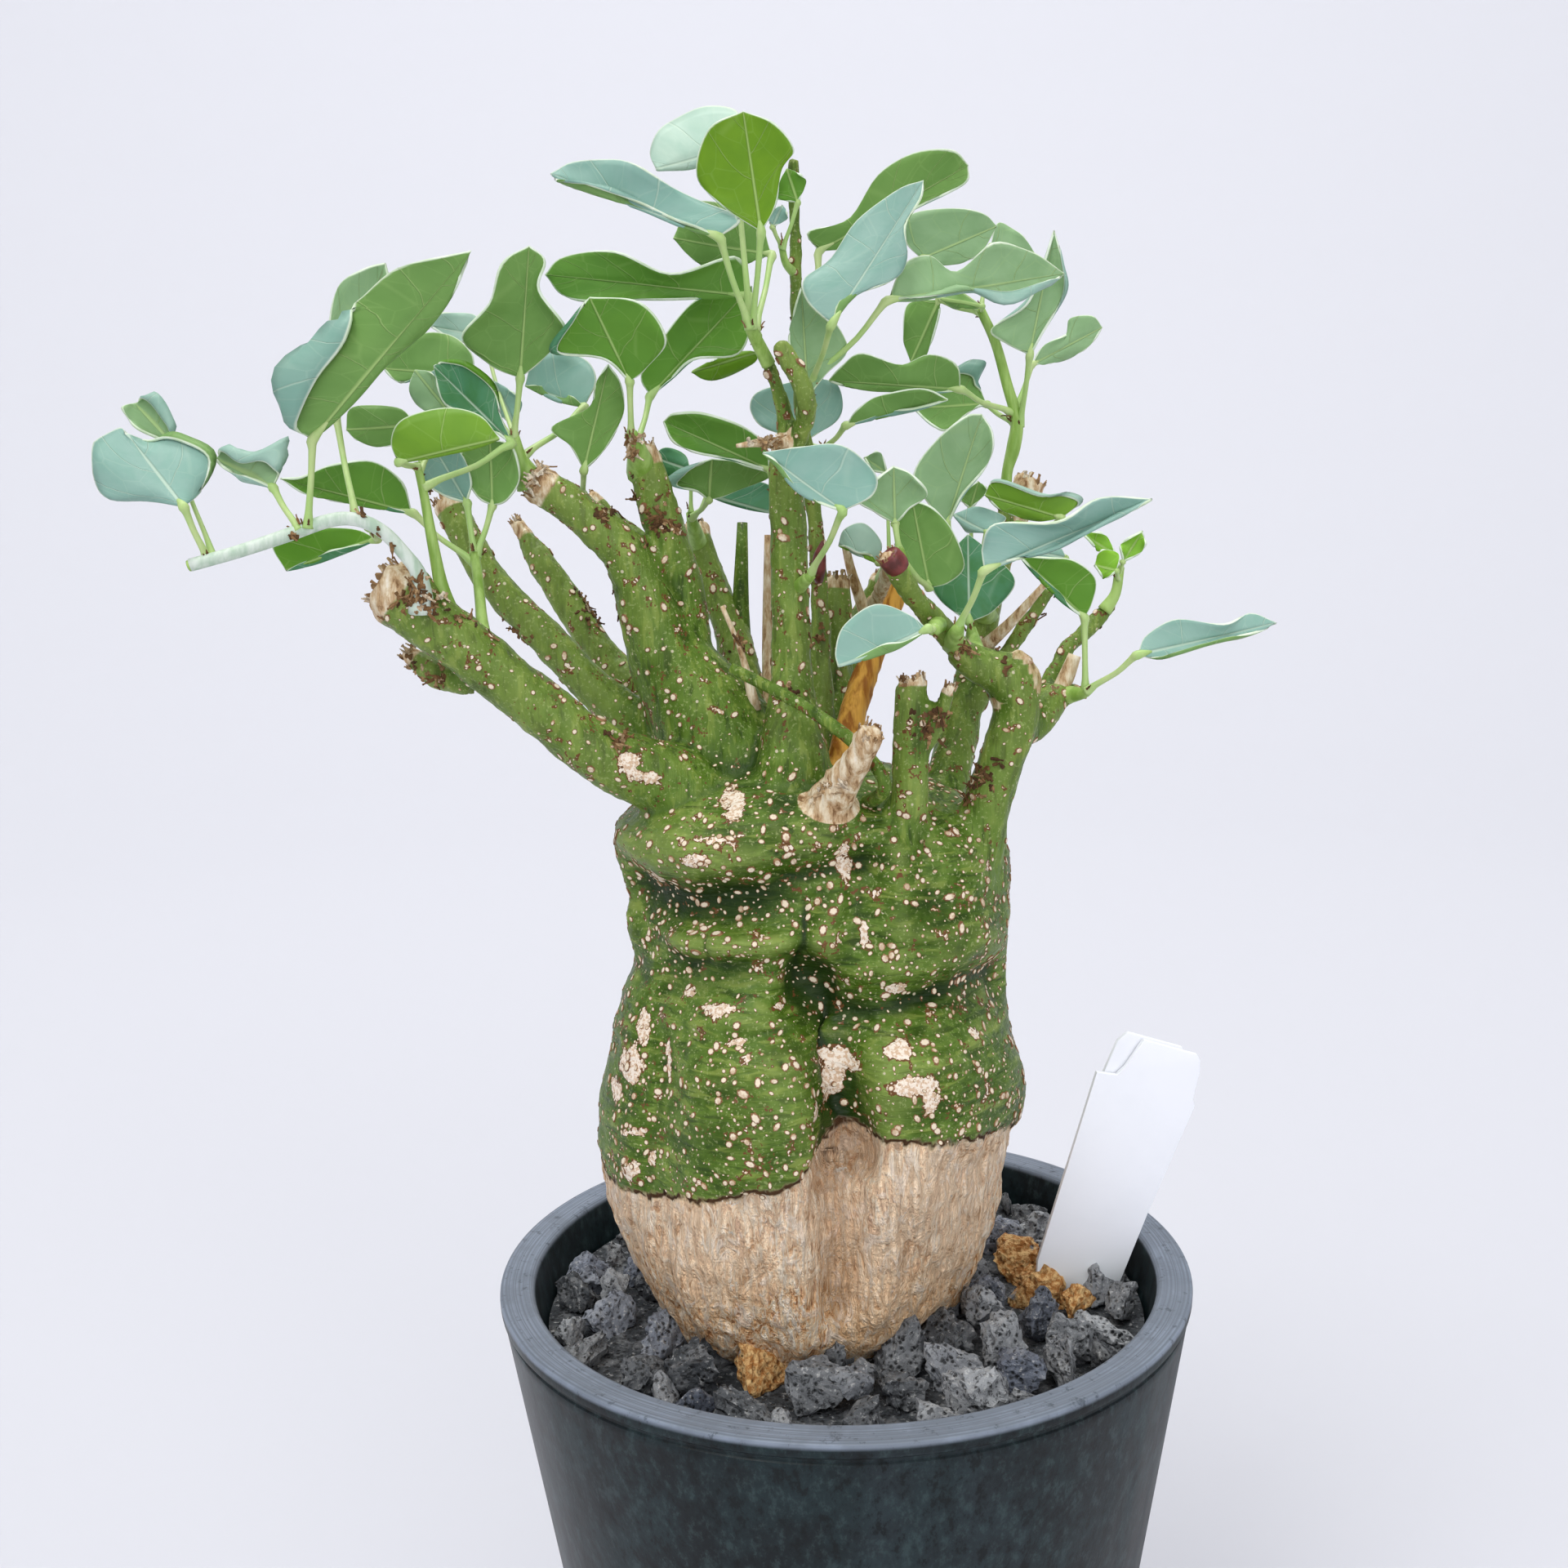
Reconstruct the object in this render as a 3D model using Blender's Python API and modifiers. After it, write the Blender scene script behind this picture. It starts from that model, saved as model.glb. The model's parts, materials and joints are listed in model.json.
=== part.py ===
"""Potted adenia: a caudex plant with cut branches and leafy shoots in a black nursery pot.

The frame stands on the centre of the pot's underside, +Z up, with the photographed side towards -Y.
All named sizes are millimetres. Places that were read from the 1920 pixel photograph are written as
(pixel x, pixel y, depth), where depth is the distance behind the pot's axis, and photo_point turns them
into places in the frame.
"""
import math
import random

import bmesh
import bpy
import numpy as np
from mathutils import Euler, Vector

MM = 0.001
CLEARANCE = 0.3
MERGE = 0.00005

# Pot
RIM_RADIUS = 52.5
RIM_WIDTH = 5.1
POT_HEIGHT = 95.0
FOOT_RADIUS = 36.5
WALL = 2.4
FLOOR = 3.0
BEAD_DROP = 2.6
BEAD_DEPTH = 0.5
DRAIN_RADIUS = 3.5
DRAIN_RING = 21.0
DRAIN_COUNT = 5
POT_STEPS = 30

# Mix and grit
MIX_DROP = 5.4
STONE_COUNT = 56
STONE_SMALL = 3.2
STONE_LARGE = 4.5
STONE_SPACING = 7.0
STONE_SEED = 11
# Hand-placed stones heaped against the caudex: (x, y, z, radius)
PILE_STONES = ((4.5, -25.5, 90.5, 4.4), (10.0, -21.0, 92.3, 5.4), (16.0, -16.0, 92.0, 5.0),
               (21.0, -10.0, 91.2, 4.2), (-10.0, -30.0, 90.2, 4.0))

# Camera of the photograph, measured from the pot's rim
LENS_PIXELS = 1920.0
FRAME_MIDDLE = 960.0
CAMERA_DISTANCE = 229.4
CAMERA_ABOVE_RIM = 106.1
CAMERA_SIDE = -7.25
CAMERA_PITCH = math.radians(8.0)
CAMERA_ROLL = math.radians(1.49)

# Trunk
TRUNK_SEGMENTS = 32
TRUNK_DEPTH = -2.0
ROOT_BOTTOM = -34.0
# (pixel y, left silhouette x, right silhouette x, half depth in mm)
TRUNK_ROWS = (
    (1622, 838, 1122, 20.0),
    (1580, 806, 1172, 23.0),
    (1530, 779, 1200, 25.8),
    (1470, 752, 1220, 27.4),
    (1410, 738, 1228, 28.2),
    (1372, 735, 1234, 28.2),
    (1335, 737, 1249, 27.8),
    (1295, 745, 1247, 26.8),
    (1250, 753, 1235, 25.2),
    (1205, 766, 1230, 23.6),
    (1165, 778, 1230, 22.0),
    (1125, 768, 1234, 22.6),
    (1085, 769, 1235, 21.4),
    (1045, 756, 1235, 22.0),
    (1005, 756, 1216, 21.4),
    (970, 800, 1175, 18.0),
    (935, 880, 1085, 11.0),
)
# Swellings and furrows of the trunk: angle from the front, pixel y, angle spread, row spread, height
TRUNK_RELIEF = (
    ("cleft", 8.0, 1330, 5.5, 125, -0.17),
    ("cleft foot", 11.0, 1480, 9.0, 70, -0.05),
    ("left lobe", -17.0, 1330, 17.0, 105, 0.06),
    ("right lobe", 32.0, 1320, 17.0, 75, 0.07),
    ("left edge furrow", -40.0, 1330, 7.0, 120, -0.05),
    ("left foot lobe", -22.0, 1520, 20.0, 60, 0.06),
    ("right foot cut", 46.0, 1640, 24.0, 90, -0.16),
    ("upper crease", -3.0, 1165, 7.0, 40, -0.07),
    ("right shoulder", 40.0, 1150, 18.0, 60, 0.05),
    ("right edge bump", 80.0, 1335, 16.0, 30, 0.015),
    ("back furrow", 176.0, 1330, 9.0, 150, -0.10),
    ("back left lobe", -135.0, 1330, 24.0, 110, 0.05),
    ("back right lobe", 130.0, 1340, 26.0, 100, 0.05),
)

# Leaves: blade grids are faces across and along
BLADE_THICKNESS = 0.7
LARGE_BLADE = (2, 5)
SMALL_BLADE = (2, 3)
PETIOLE_RADIUS = 0.72
PETIOLE_REACH = 0.07

# Plant tags: outlines in mm across and up from where they enter the grit, pointed below it
TAG_THICKNESS = 0.9
TAG_FOOT = (1327, 1573)
TAG_DEPTH = -3.0
TAG_LEAN = math.radians(18.3)
TAG_TURN = math.radians(5.0)
TAG_OUTLINES = {
    "tag_front": ((-3.4, 39.2), (5.2, 39.2), (6.0, 38.5), (6.5, 36.8), (6.9, 32.4), (7.5, 31.5), (5.9, 13.6),
                  (5.2, 2.0), (3.6, -9.0), (-1.5, -18.0), (-5.4, -9.0), (-8.3, 2.0), (-8.8, 32.6), (-5.7, 33.0),
                  (-4.8, 34.6)),
    "tag_rear": ((-6.2, 39.9), (2.6, 39.9), (3.8, 38.6), (4.6, 31.0), (4.2, 2.0), (2.5, -9.0), (-1.5, -17.0),
                 (-4.8, -9.0), (-7.2, 2.0), (-7.8, 33.0), (-7.3, 38.2)),
}

# Colours
POT_COLOUR = (0.028, 0.032, 0.036)
GRIT_COLOUR = (0.06, 0.065, 0.07)
BARK_COLOUR = (0.13, 0.26, 0.055)
LEAF_COLOUR = (0.19, 0.36, 0.20)
TAG_COLOUR = (0.85, 0.86, 0.88)


def photo_point(x, y, depth):
    """The place in mm that the photograph shows at pixel (x, y), at the given depth behind the pot's axis."""
    dx, dy = x - FRAME_MIDDLE, y - FRAME_MIDDLE
    across = (dx * math.cos(CAMERA_ROLL) - dy * math.sin(CAMERA_ROLL)) / LENS_PIXELS
    down = (dx * math.sin(CAMERA_ROLL) + dy * math.cos(CAMERA_ROLL)) / LENS_PIXELS
    forward = math.cos(CAMERA_PITCH) - down * math.sin(CAMERA_PITCH)
    rise = -down * math.cos(CAMERA_PITCH) - math.sin(CAMERA_PITCH)
    reach = (depth + CAMERA_DISTANCE) / forward
    return Vector((CAMERA_SIDE + reach * across, depth, POT_HEIGHT + CAMERA_ABOVE_RIM + reach * rise))


def pixel_size(depth):
    """Millimetres that one pixel covers at a depth."""
    return (depth + CAMERA_DISTANCE) / LENS_PIXELS


# Scene, collections and materials
def empty_scene():
    for thing in list(bpy.data.objects):
        bpy.data.objects.remove(thing)


def new_collection(name):
    collection = bpy.data.collections.new(name)
    bpy.context.scene.collection.children.link(collection)
    return collection


def material(name, colour, roughness, metallic=0.0):
    made = bpy.data.materials.new(name)
    made.use_nodes = True
    shader = made.node_tree.nodes["Principled BSDF"]
    shader.inputs["Base Color"].default_value = (*colour, 1.0)
    shader.inputs["Roughness"].default_value = roughness
    shader.inputs["Metallic"].default_value = metallic
    return made


def new_object(name, mesh, collection):
    made = bpy.data.objects.new(name, mesh)
    collection.objects.link(made)
    return made


def bmesh_object(name, shape, collection):
    mesh = bpy.data.meshes.new(name)
    shape.to_mesh(mesh)
    shape.free()
    return new_object(name, mesh, collection)


def apply_modifiers(thing):
    """Replace an object's mesh by its evaluated one and drop the modifiers."""
    graph = bpy.context.evaluated_depsgraph_get()
    mesh = bpy.data.meshes.new_from_object(thing.evaluated_get(graph))
    thing.modifiers.clear()
    thing.data = mesh


def weld_mesh(mesh):
    shape = bmesh.new()
    shape.from_mesh(mesh)
    bmesh.ops.remove_doubles(shape, verts=shape.verts, dist=MERGE * 0.2)
    shape.to_mesh(mesh)
    shape.free()


def boolean(thing, operation, operand, solver="MANIFOLD"):
    """Join or cut with an object or a whole collection, and apply it."""
    step = thing.modifiers.new(operation.lower(), "BOOLEAN")
    step.operation = operation
    step.solver = solver
    if isinstance(operand, bpy.types.Collection):
        step.operand_type = "COLLECTION"
        step.collection = operand
    else:
        step.object = operand
    apply_modifiers(thing)


def drop_scraps(thing):
    """Keep the largest connected body of a mesh and drop the chips that a cut left beside it."""
    shape = bmesh.new()
    shape.from_mesh(thing.data)
    waiting = set(shape.verts)
    bodies = []
    while waiting:
        front = [waiting.pop()]
        body = set(front)
        while front:
            for edge in front.pop().link_edges:
                for vert in edge.verts:
                    if vert in waiting:
                        waiting.discard(vert)
                        body.add(vert)
                        front.append(vert)
        bodies.append(body)
    bodies.sort(key=len)
    for body in bodies[:-1]:
        bmesh.ops.delete(shape, geom=list(body), context="VERTS")
    shape.to_mesh(thing.data)
    shape.free()


def union(name, pieces, collection):
    """One closed solid from overlapping pieces."""
    body = pieces[0]
    if len(pieces) > 1:
        others = new_collection(name + "_pieces")
        for piece in pieces[1:]:
            for home in list(piece.users_collection):
                home.objects.unlink(piece)
            others.objects.link(piece)
        boolean(body, "UNION", others)
        for piece in pieces[1:]:
            bpy.data.objects.remove(piece)
        bpy.data.collections.remove(others)
    body.name = name
    body.data.name = name
    for home in list(body.users_collection):
        home.objects.unlink(body)
    collection.objects.link(body)
    return body


def finish(thing, made_of, angle=40.0):
    thing.data.materials.clear()
    thing.data.materials.append(made_of)
    thing.data.shade_smooth()
    thing.data.set_sharp_from_angle(angle=math.radians(angle))


def grown_by(thing, distance, collection):
    """A cutter: the same shape, larger by a clearance all over."""
    cutter = new_object(thing.name + "_clearance", thing.data.copy(), collection)
    step = cutter.modifiers.new("grow", "DISPLACE")
    step.mid_level = 0.0
    step.strength = distance * MM
    apply_modifiers(cutter)
    cutter.hide_render = True
    cutter.display_type = "WIRE"
    return cutter


# Tubes for branches, stems and petioles
def smooth_route(points, steps):
    """Catmull-Rom points through hand-chosen ones; each is (x, y, z, radius)."""
    rows = [np.array(p, float) for p in points]
    rows = [2 * rows[0] - rows[1]] + rows + [2 * rows[-1] - rows[-2]]
    route = []
    for a, b, c, d in zip(rows, rows[1:], rows[2:], rows[3:]):
        for step in range(steps):
            t = step / steps
            route.append(0.5 * (2 * b + (c - a) * t + (2 * a - 5 * b + 4 * c - d) * t * t
                                + (3 * b - a - 3 * c + d) * t ** 3))
    return route + [rows[-2]]


def tube(name, points, collection, sides=2, steps=2):
    """A round tube through points of (x, y, z, radius), closed at both ends. sides is the bevel resolution."""
    route = smooth_route(points, steps)
    curve = bpy.data.curves.new(name, "CURVE")
    curve.dimensions = "3D"
    curve.bevel_depth = MM
    curve.bevel_resolution = sides
    curve.use_fill_caps = True
    spline = curve.splines.new("POLY")
    spline.points.add(len(route) - 1)
    for point, (x, y, z, radius) in zip(spline.points, route):
        point.co = (x * MM, y * MM, z * MM, 1.0)
        point.radius = max(radius, 0.15)
    carrier = new_object(name + "_curve", curve, collection)
    graph = bpy.context.evaluated_depsgraph_get()
    mesh = bpy.data.meshes.new_from_object(carrier.evaluated_get(graph))
    weld_mesh(mesh)
    made = new_object(name, mesh, collection)
    made.matrix_world = carrier.matrix_world
    bpy.data.objects.remove(carrier)
    return made


def photo_tube(name, route, collection, sides=2, steps=2):
    """A tube along (pixel x, pixel y, depth, width in pixels)."""
    points = []
    for x, y, depth, width in route:
        place = photo_point(x, y, depth)
        points.append((*place, width * pixel_size(depth) / 2))
    return tube(name, points, collection, sides, steps)


# Pot
def wall_radius(height):
    """Outer radius of the tapered wall at a height above the base."""
    return FOOT_RADIUS + (RIM_RADIUS - FOOT_RADIUS) * height / POT_HEIGHT


def inner_radius(height):
    """Inner radius: a thick lip at the top that thins to the wall."""
    lip = RIM_RADIUS - RIM_WIDTH - 0.17 * (POT_HEIGHT - height)
    return min(lip, wall_radius(height) - WALL)


def make_pot(parts, cutters):
    bead = POT_HEIGHT - BEAD_DROP
    profile = [
        (RIM_RADIUS - RIM_WIDTH + 0.5, POT_HEIGHT), (RIM_RADIUS - 0.7, POT_HEIGHT),
        (RIM_RADIUS, POT_HEIGHT - 0.7), (RIM_RADIUS - 0.1, bead + 0.8),
        (RIM_RADIUS - BEAD_DEPTH - 0.3, bead + 0.3), (RIM_RADIUS - BEAD_DEPTH - 0.3, bead - 0.3),
        (wall_radius(bead - 0.9), bead - 0.9), (wall_radius(1.5), 1.5), (FOOT_RADIUS - 1.2, 0.0), (0.0, 0.0),
    ]
    inside = [
        (0.0, FLOOR), (inner_radius(FLOOR) - 2.0, FLOOR), (inner_radius(FLOOR + 2.0), FLOOR + 2.0),
        (inner_radius(POT_HEIGHT - 22.0), POT_HEIGHT - 22.0),
        (inner_radius(POT_HEIGHT - 0.5), POT_HEIGHT - 0.5),
    ]
    shape = bmesh.new()
    ring = [shape.verts.new((r * MM, 0, z * MM)) for r, z in profile + inside]
    for a, b in zip(ring, ring[1:] + ring[:1]):
        if a.co.x > 0 or b.co.x > 0:
            shape.edges.new((a, b))
    pot = bmesh_object("pot", shape, parts)
    screw = pot.modifiers.new("turn", "SCREW")
    screw.steps = POT_STEPS
    screw.render_steps = POT_STEPS
    screw.use_merge_vertices = True
    screw.merge_threshold = MERGE
    screw.use_normal_calculate = True
    apply_modifiers(pot)
    for index in range(DRAIN_COUNT):
        angle = math.tau * (index + 0.5) / DRAIN_COUNT
        shape = bmesh.new()
        bmesh.ops.create_cone(shape, cap_ends=True, segments=12, radius1=DRAIN_RADIUS * MM,
                              radius2=DRAIN_RADIUS * MM, depth=4 * FLOOR * MM)
        drill = bmesh_object("drain_drill", shape, cutters)
        drill.location = (DRAIN_RING * MM * math.cos(angle), DRAIN_RING * MM * math.sin(angle), FLOOR * MM / 2)
        bpy.context.view_layer.update()
        boolean(pot, "DIFFERENCE", drill)
        bpy.data.objects.remove(drill)
    finish(pot, material("black_pot_plastic", POT_COLOUR, 0.42), 30.0)
    return pot


# Caudex: trunk and branches
def trunk_relief(turn, row):
    """Relative swelling of the trunk at an angle from the front in degrees and a pixel row."""
    swell = 1.0
    for _, angle, middle, spread, rows, height in TRUNK_RELIEF:
        away = (turn - angle + 180.0) % 360.0 - 180.0
        swell += height * math.exp(-(away / spread) ** 2 - ((row - middle) / rows) ** 2)
    return swell


def trunk_rings(segments):
    """Rings of places in mm from the buried root to the crown."""
    levels = []
    for row, left, right, half_depth in TRUNK_ROWS:
        low, high = photo_point(left, row, TRUNK_DEPTH), photo_point(right, row, TRUNK_DEPTH)
        levels.append((row, (low.x + high.x) / 2, (high.x - low.x) / 2, half_depth, (low.z + high.z) / 2,
                       (high.z - low.z) / 2))
    row, middle, half_width, half_depth, height, _ = levels[0]
    root = POT_HEIGHT + ROOT_BOTTOM
    buried = []
    for share, size in ((0.0, 0.30), (0.25, 0.62), (0.6, 0.88)):
        buried.append((row, middle, half_width * size, half_depth * size, root + (height - root) * share, 0.0))
    rings = []
    for row, middle, half_width, half_depth, height, slope in buried + levels:
        ring = []
        for index in range(segments):
            turn = 360.0 * index / segments
            swell = trunk_relief(turn, row)
            across, towards = math.sin(math.radians(turn)), math.cos(math.radians(turn))
            ring.append(Vector((middle + half_width * across * swell,
                                TRUNK_DEPTH - half_depth * towards * swell, height + slope * across)))
        rings.append(ring)
    return rings


def make_trunk(collection):
    """A loft through the rings."""
    shape = bmesh.new()
    rings = [[shape.verts.new(place * MM) for place in ring] for ring in trunk_rings(TRUNK_SEGMENTS)]
    for lower, upper in zip(rings, rings[1:]):
        for index in range(len(lower)):
            after = (index + 1) % len(lower)
            shape.faces.new((lower[index], lower[after], upper[after], upper[index]))
    shape.faces.new(rings[0])
    shape.faces.new(rings[-1])
    bmesh.ops.recalc_face_normals(shape, faces=shape.faces)
    return bmesh_object("trunk", shape, collection)


# Branches: (pixel x, pixel y, depth, width in pixels), from the trunk outwards
BRANCHES = {
    "left_limb": ((940, 1030, -4, 110), (830, 962, -9, 96), (740, 925, -13, 78), (665, 868, -15, 70),
                  (590, 808, -17, 70), (530, 762, -18, 74), (490, 728, -18, 84), (468, 712, -18, 66)),
    "left_limb_spur": ((580, 838, -14, 34), (530, 822, -12, 36), (497, 796, -11, 24)),
    "second_limb": ((900, 980, 2, 80), (783, 887, 4, 58), (725, 840, 5, 48), (668, 780, 6, 46),
                    (622, 735, 7, 42), (588, 690, 8, 42), (545, 611, 10, 36)),
    "third_limb": ((880, 930, 10, 60), (756, 822, 18, 44), (706, 753, 21, 40), (668, 696, 23, 36),
                   (630, 636, 25, 16)),
    "fourth_limb": ((930, 990, -2, 150), (866, 880, 0, 142), (815, 800, 0, 96), (792, 742, -1, 76),
                    (772, 688, -2, 62), (742, 655, -3, 54), (698, 618, -4, 48), (652, 588, -5, 46)),
    "fourth_limb_fork": ((840, 800, 1, 66), (838, 725, 2, 54), (824, 680, 1, 52), (799, 598, 0, 48),
                         (785, 545, 0, 38)),
    "spur_between": ((830, 700, 4, 40), (760, 655, 8, 40), (716, 612, 9, 34)),
    "rear_limb": ((920, 900, 10, 64), (898, 780, 18, 44), (870, 710, 21, 40), (850, 640, 22, 26)),
    "slim_stub": ((925, 900, 12, 30), (908, 780, 18, 24), (909, 640, 20, 13)),
    "dead_pin": ((945, 900, 8, 20), (941, 800, 13, 16), (940, 655, 14, 8)),
    "centre_limb": ((975, 1030, -10, 120), (972, 930, -10, 92), (970, 850, -8, 58), (969, 760, -7, 48),
                    (963, 600, -7, 44), (962, 545, -7, 38)),
    "centre_twig": ((963, 570, -7, 30), (962, 515, -7, 22), (950, 470, -8, 20), (937, 436, -9, 18)),
    "centre_loop": ((978, 545, -8, 20), (988, 510, -10, 24), (984, 478, -12, 28), (970, 448, -12, 27),
                    (953, 420, -12, 22)),
    "hooked_pin": ((968, 545, -7, 20), (935, 542, -12, 12), (902, 546, -14, 5)),
    "flower_stem": ((1006, 990, 3, 60), (1006, 880, 7, 34), (1004, 760, 9, 26), (1001, 680, 9, 22), (992, 580, 9, 20),
                    (978, 470, 9, 18), (974, 330, 9, 17), (972, 192, 9, 14)),
    "rear_right_limb": ((1010, 980, 6, 80), (1020, 860, 14, 56), (1022, 780, 16, 44), (1024, 705, 17, 36)),
    "third_right_limb": ((1000, 950, 12, 64), (1032, 820, 22, 46), (1062, 755, 25, 40), (1086, 704, 26, 32)),
    "forked_twig": ((1066, 770, 24, 18), (1044, 705, 20, 12), (1034, 662, 18, 9)),
    "curled_cap": ((1064, 764, 22, 24), (1090, 700, 10, 22), (1118, 668, 3, 34), (1126, 645, 1, 30)),
    "stump": ((1000, 1020, -14, 84), (1028, 972, -20, 58), (1050, 935, -25, 46), (1068, 895, -28, 38)),
    "front_stub": ((1094, 1120, -6, 60), (1102, 1060, -15, 60), (1112, 985, -18, 50), (1117, 850, -19, 42),
                   (1117, 830, -19, 36)),
    "front_stub_side": ((1108, 940, -18, 30), (1140, 900, -20, 26), (1165, 838, -21, 16)),
    "elbow_limb": ((1140, 1150, -4, 80), (1186, 1080, -9, 72), (1205, 1000, -11, 62), (1228, 925, -12, 58),
                   (1244, 870, -12, 58), (1232, 830, -12, 58), (1196, 812, -12, 46), (1168, 796, -13, 34)),
    "elbow_shoot": ((1185, 807, -13, 34), (1157, 773, -15, 29), (1120, 732, -19, 28), (1087, 680, -23, 28)),
    "elbow_peel": ((1236, 860, -12, 50), (1262, 832, -12, 34), (1243, 797, -13, 18)),
    "outer_node": ((1236, 900, -11, 46), (1268, 880, -8, 50), (1296, 852, -6, 38), (1326, 848, -6, 16)),
    "outer_node_pin": ((1292, 858, -6, 22), (1306, 828, -6, 20), (1316, 802, -6, 16)),
    "outer_twig": ((1264, 884, -6, 26), (1300, 805, 0, 22), (1335, 768, 2, 20), (1362, 738, 3, 18)),
    "back_limb": ((1110, 1080, 0, 100), (1152, 980, 10, 62), (1178, 880, 16, 48), (1204, 770, 20, 38),
                  (1222, 690, 22, 30), (1230, 620, 22, 18), (1232, 588, 22, 14)),
    "inner_twig": ((1176, 890, 15, 30), (1240, 790, 15, 20), (1285, 722, 16, 18)),
    "tan_strip": ((1196, 800, 18, 20), (1235, 765, 13, 14), (1278, 717, 11, 8)),
    "back_knob": ((1218, 710, 22, 30), (1240, 640, 25, 34), (1262, 588, 27, 40)),
    "amber_stem": ((1030, 950, -4, 44), (1046, 868, 0, 36), (1072, 795, 2, 30), (1095, 734, 3, 26),
                   (1108, 692, 3, 20)),
    "crossing_stem": ((1050, 990, -14, 20), (1084, 963, -23, 17), (1049, 912, -21, 17), (976, 860, -18, 16),
                      (895, 818, -16, 15)),
    "thin_twig": ((925, 870, -4, 16), (908, 800, -4, 8), (884, 742, -4, 6)),
}
THICK_BRANCHES = ("left_limb", "second_limb", "fourth_limb", "fourth_limb_fork", "centre_limb", "elbow_limb",
                  "front_stub", "stump", "back_limb")


def make_caudex(parts, scratch):
    pieces = [make_trunk(scratch)]
    for name, route in BRANCHES.items():
        thick = name in THICK_BRANCHES
        pieces.append(photo_tube(name, route, scratch, sides=2 if thick else 1, steps=1))
    caudex = union("caudex", pieces, parts)
    finish(caudex, material("green_bark", BARK_COLOUR, 0.55), 50.0)
    return caudex


# Leaves

class Leaf:
    """One leaf, read from the photograph.

    stem is where its petiole starts, base and tip are the ends of the midrib, and left and right list the
    margins from base to tip. depth is the depth of the base in mm. lean and turn tilt the blade: mm of depth
    for each mm up and to the right. cup lifts the margins and bow lifts the middle of the midrib, in mm. wave
    is the height in mm, the count and the phase of the waves along the margins.
    """

    def __init__(self, stem, base, tip, left, right, depth, lean=0.0, turn=0.0, cup=0.0, bow=0.0,
                 wave=(0.5, 1.5, 0.0), small=False):
        self.stem, self.base, self.tip, self.left, self.right = stem, base, tip, left, right
        self.depth, self.lean, self.turn, self.cup, self.bow = depth, lean, turn, cup, bow
        self.wave, self.small = wave, small
        base, tip = self.place(base), self.place(tip)
        self.start, self.reach = base, tip - base
        self.margins = [[base] + [self.place(p) for p in side] + [tip] for side in (left, right)]
        middle = [side[len(side) // 2] for side in self.margins]
        normal = np.cross(middle[1] - middle[0], self.reach)
        self.normal = normal / np.linalg.norm(normal)

    def place(self, pixel):
        """The place of a pixel on the leaf's own tilted plane."""
        size = pixel_size(self.depth)
        depth = self.depth + self.lean * (self.base[1] - pixel[1]) * size
        depth += self.turn * (pixel[0] - self.base[0]) * size
        return np.array(photo_point(pixel[0], pixel[1], depth))

    def midrib(self, along):
        return self.start + self.reach * along + self.normal * self.bow * 4 * along * (1 - along)

    def surface(self, across, along):
        """A place on the blade: across and along are coordinates in a disc of radius 1."""
        share = (1 + along) / 2
        edge = min(max(across / math.sqrt(max(1 - along * along, 1e-9)), -1.0), 1.0)
        middle = self.midrib(share)
        left, right = (on_route(side, share) + self.normal * self.cup * 4 * share * (1 - share)
                       for side in self.margins)
        height, count, phase = self.wave
        ripple = height * edge ** 2 * math.sin(math.pi * share)
        ripple *= math.sin(math.tau * (count * share + phase + (0.17 if edge > 0 else 0.0)))
        spread, lift = (right - left) / 2, (right + left) / 2 - middle
        return middle + spread * edge + lift * edge * edge + self.normal * ripple


def on_route(places, share):
    """A place along a Catmull-Rom curve through places, share from 0 to 1."""
    span = min(int(share * (len(places) - 1)), len(places) - 2)
    t = share * (len(places) - 1) - span
    b, c = places[span], places[span + 1]
    a = places[span - 1] if span else 2 * b - c
    d = places[span + 2] if span + 2 < len(places) else 2 * c - b
    return 0.5 * (2 * b + (c - a) * t + (2 * a - 5 * b + 4 * c - d) * t * t + (3 * b - a - 3 * c + d) * t ** 3)


def make_blade(name, leaf, collection):
    """A flat grid bent into the blade, split into triangles and thickened."""
    across, along = SMALL_BLADE if leaf.small else LARGE_BLADE
    shape = bmesh.new()
    bmesh.ops.create_grid(shape, x_segments=across, y_segments=along, size=1.0)
    for vert in shape.verts:
        x, y = vert.co.x, vert.co.y
        disc_x, disc_y = x * math.sqrt(1 - y * y / 2), y * math.sqrt(1 - x * x / 2)
        vert.co = Vector(leaf.surface(disc_x, disc_y)) * MM
    blade = bmesh_object(name, shape, collection)
    split = blade.modifiers.new("split", "TRIANGULATE")
    split.quad_method = "FIXED"
    thick = blade.modifiers.new("thick", "SOLIDIFY")
    thick.thickness = BLADE_THICKNESS * MM
    thick.offset = 0.0
    apply_modifiers(blade)
    return blade


def make_petiole(name, leaf, collection):
    start = np.array(photo_point(*leaf.stem))
    inside = leaf.midrib(PETIOLE_REACH)
    radius = PETIOLE_RADIUS * (0.75 if leaf.small else 1.0)
    points = [(*start, radius * 1.2), (*inside, radius * 0.8)]
    return tube(name, points, collection, sides=0, steps=1)


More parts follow.
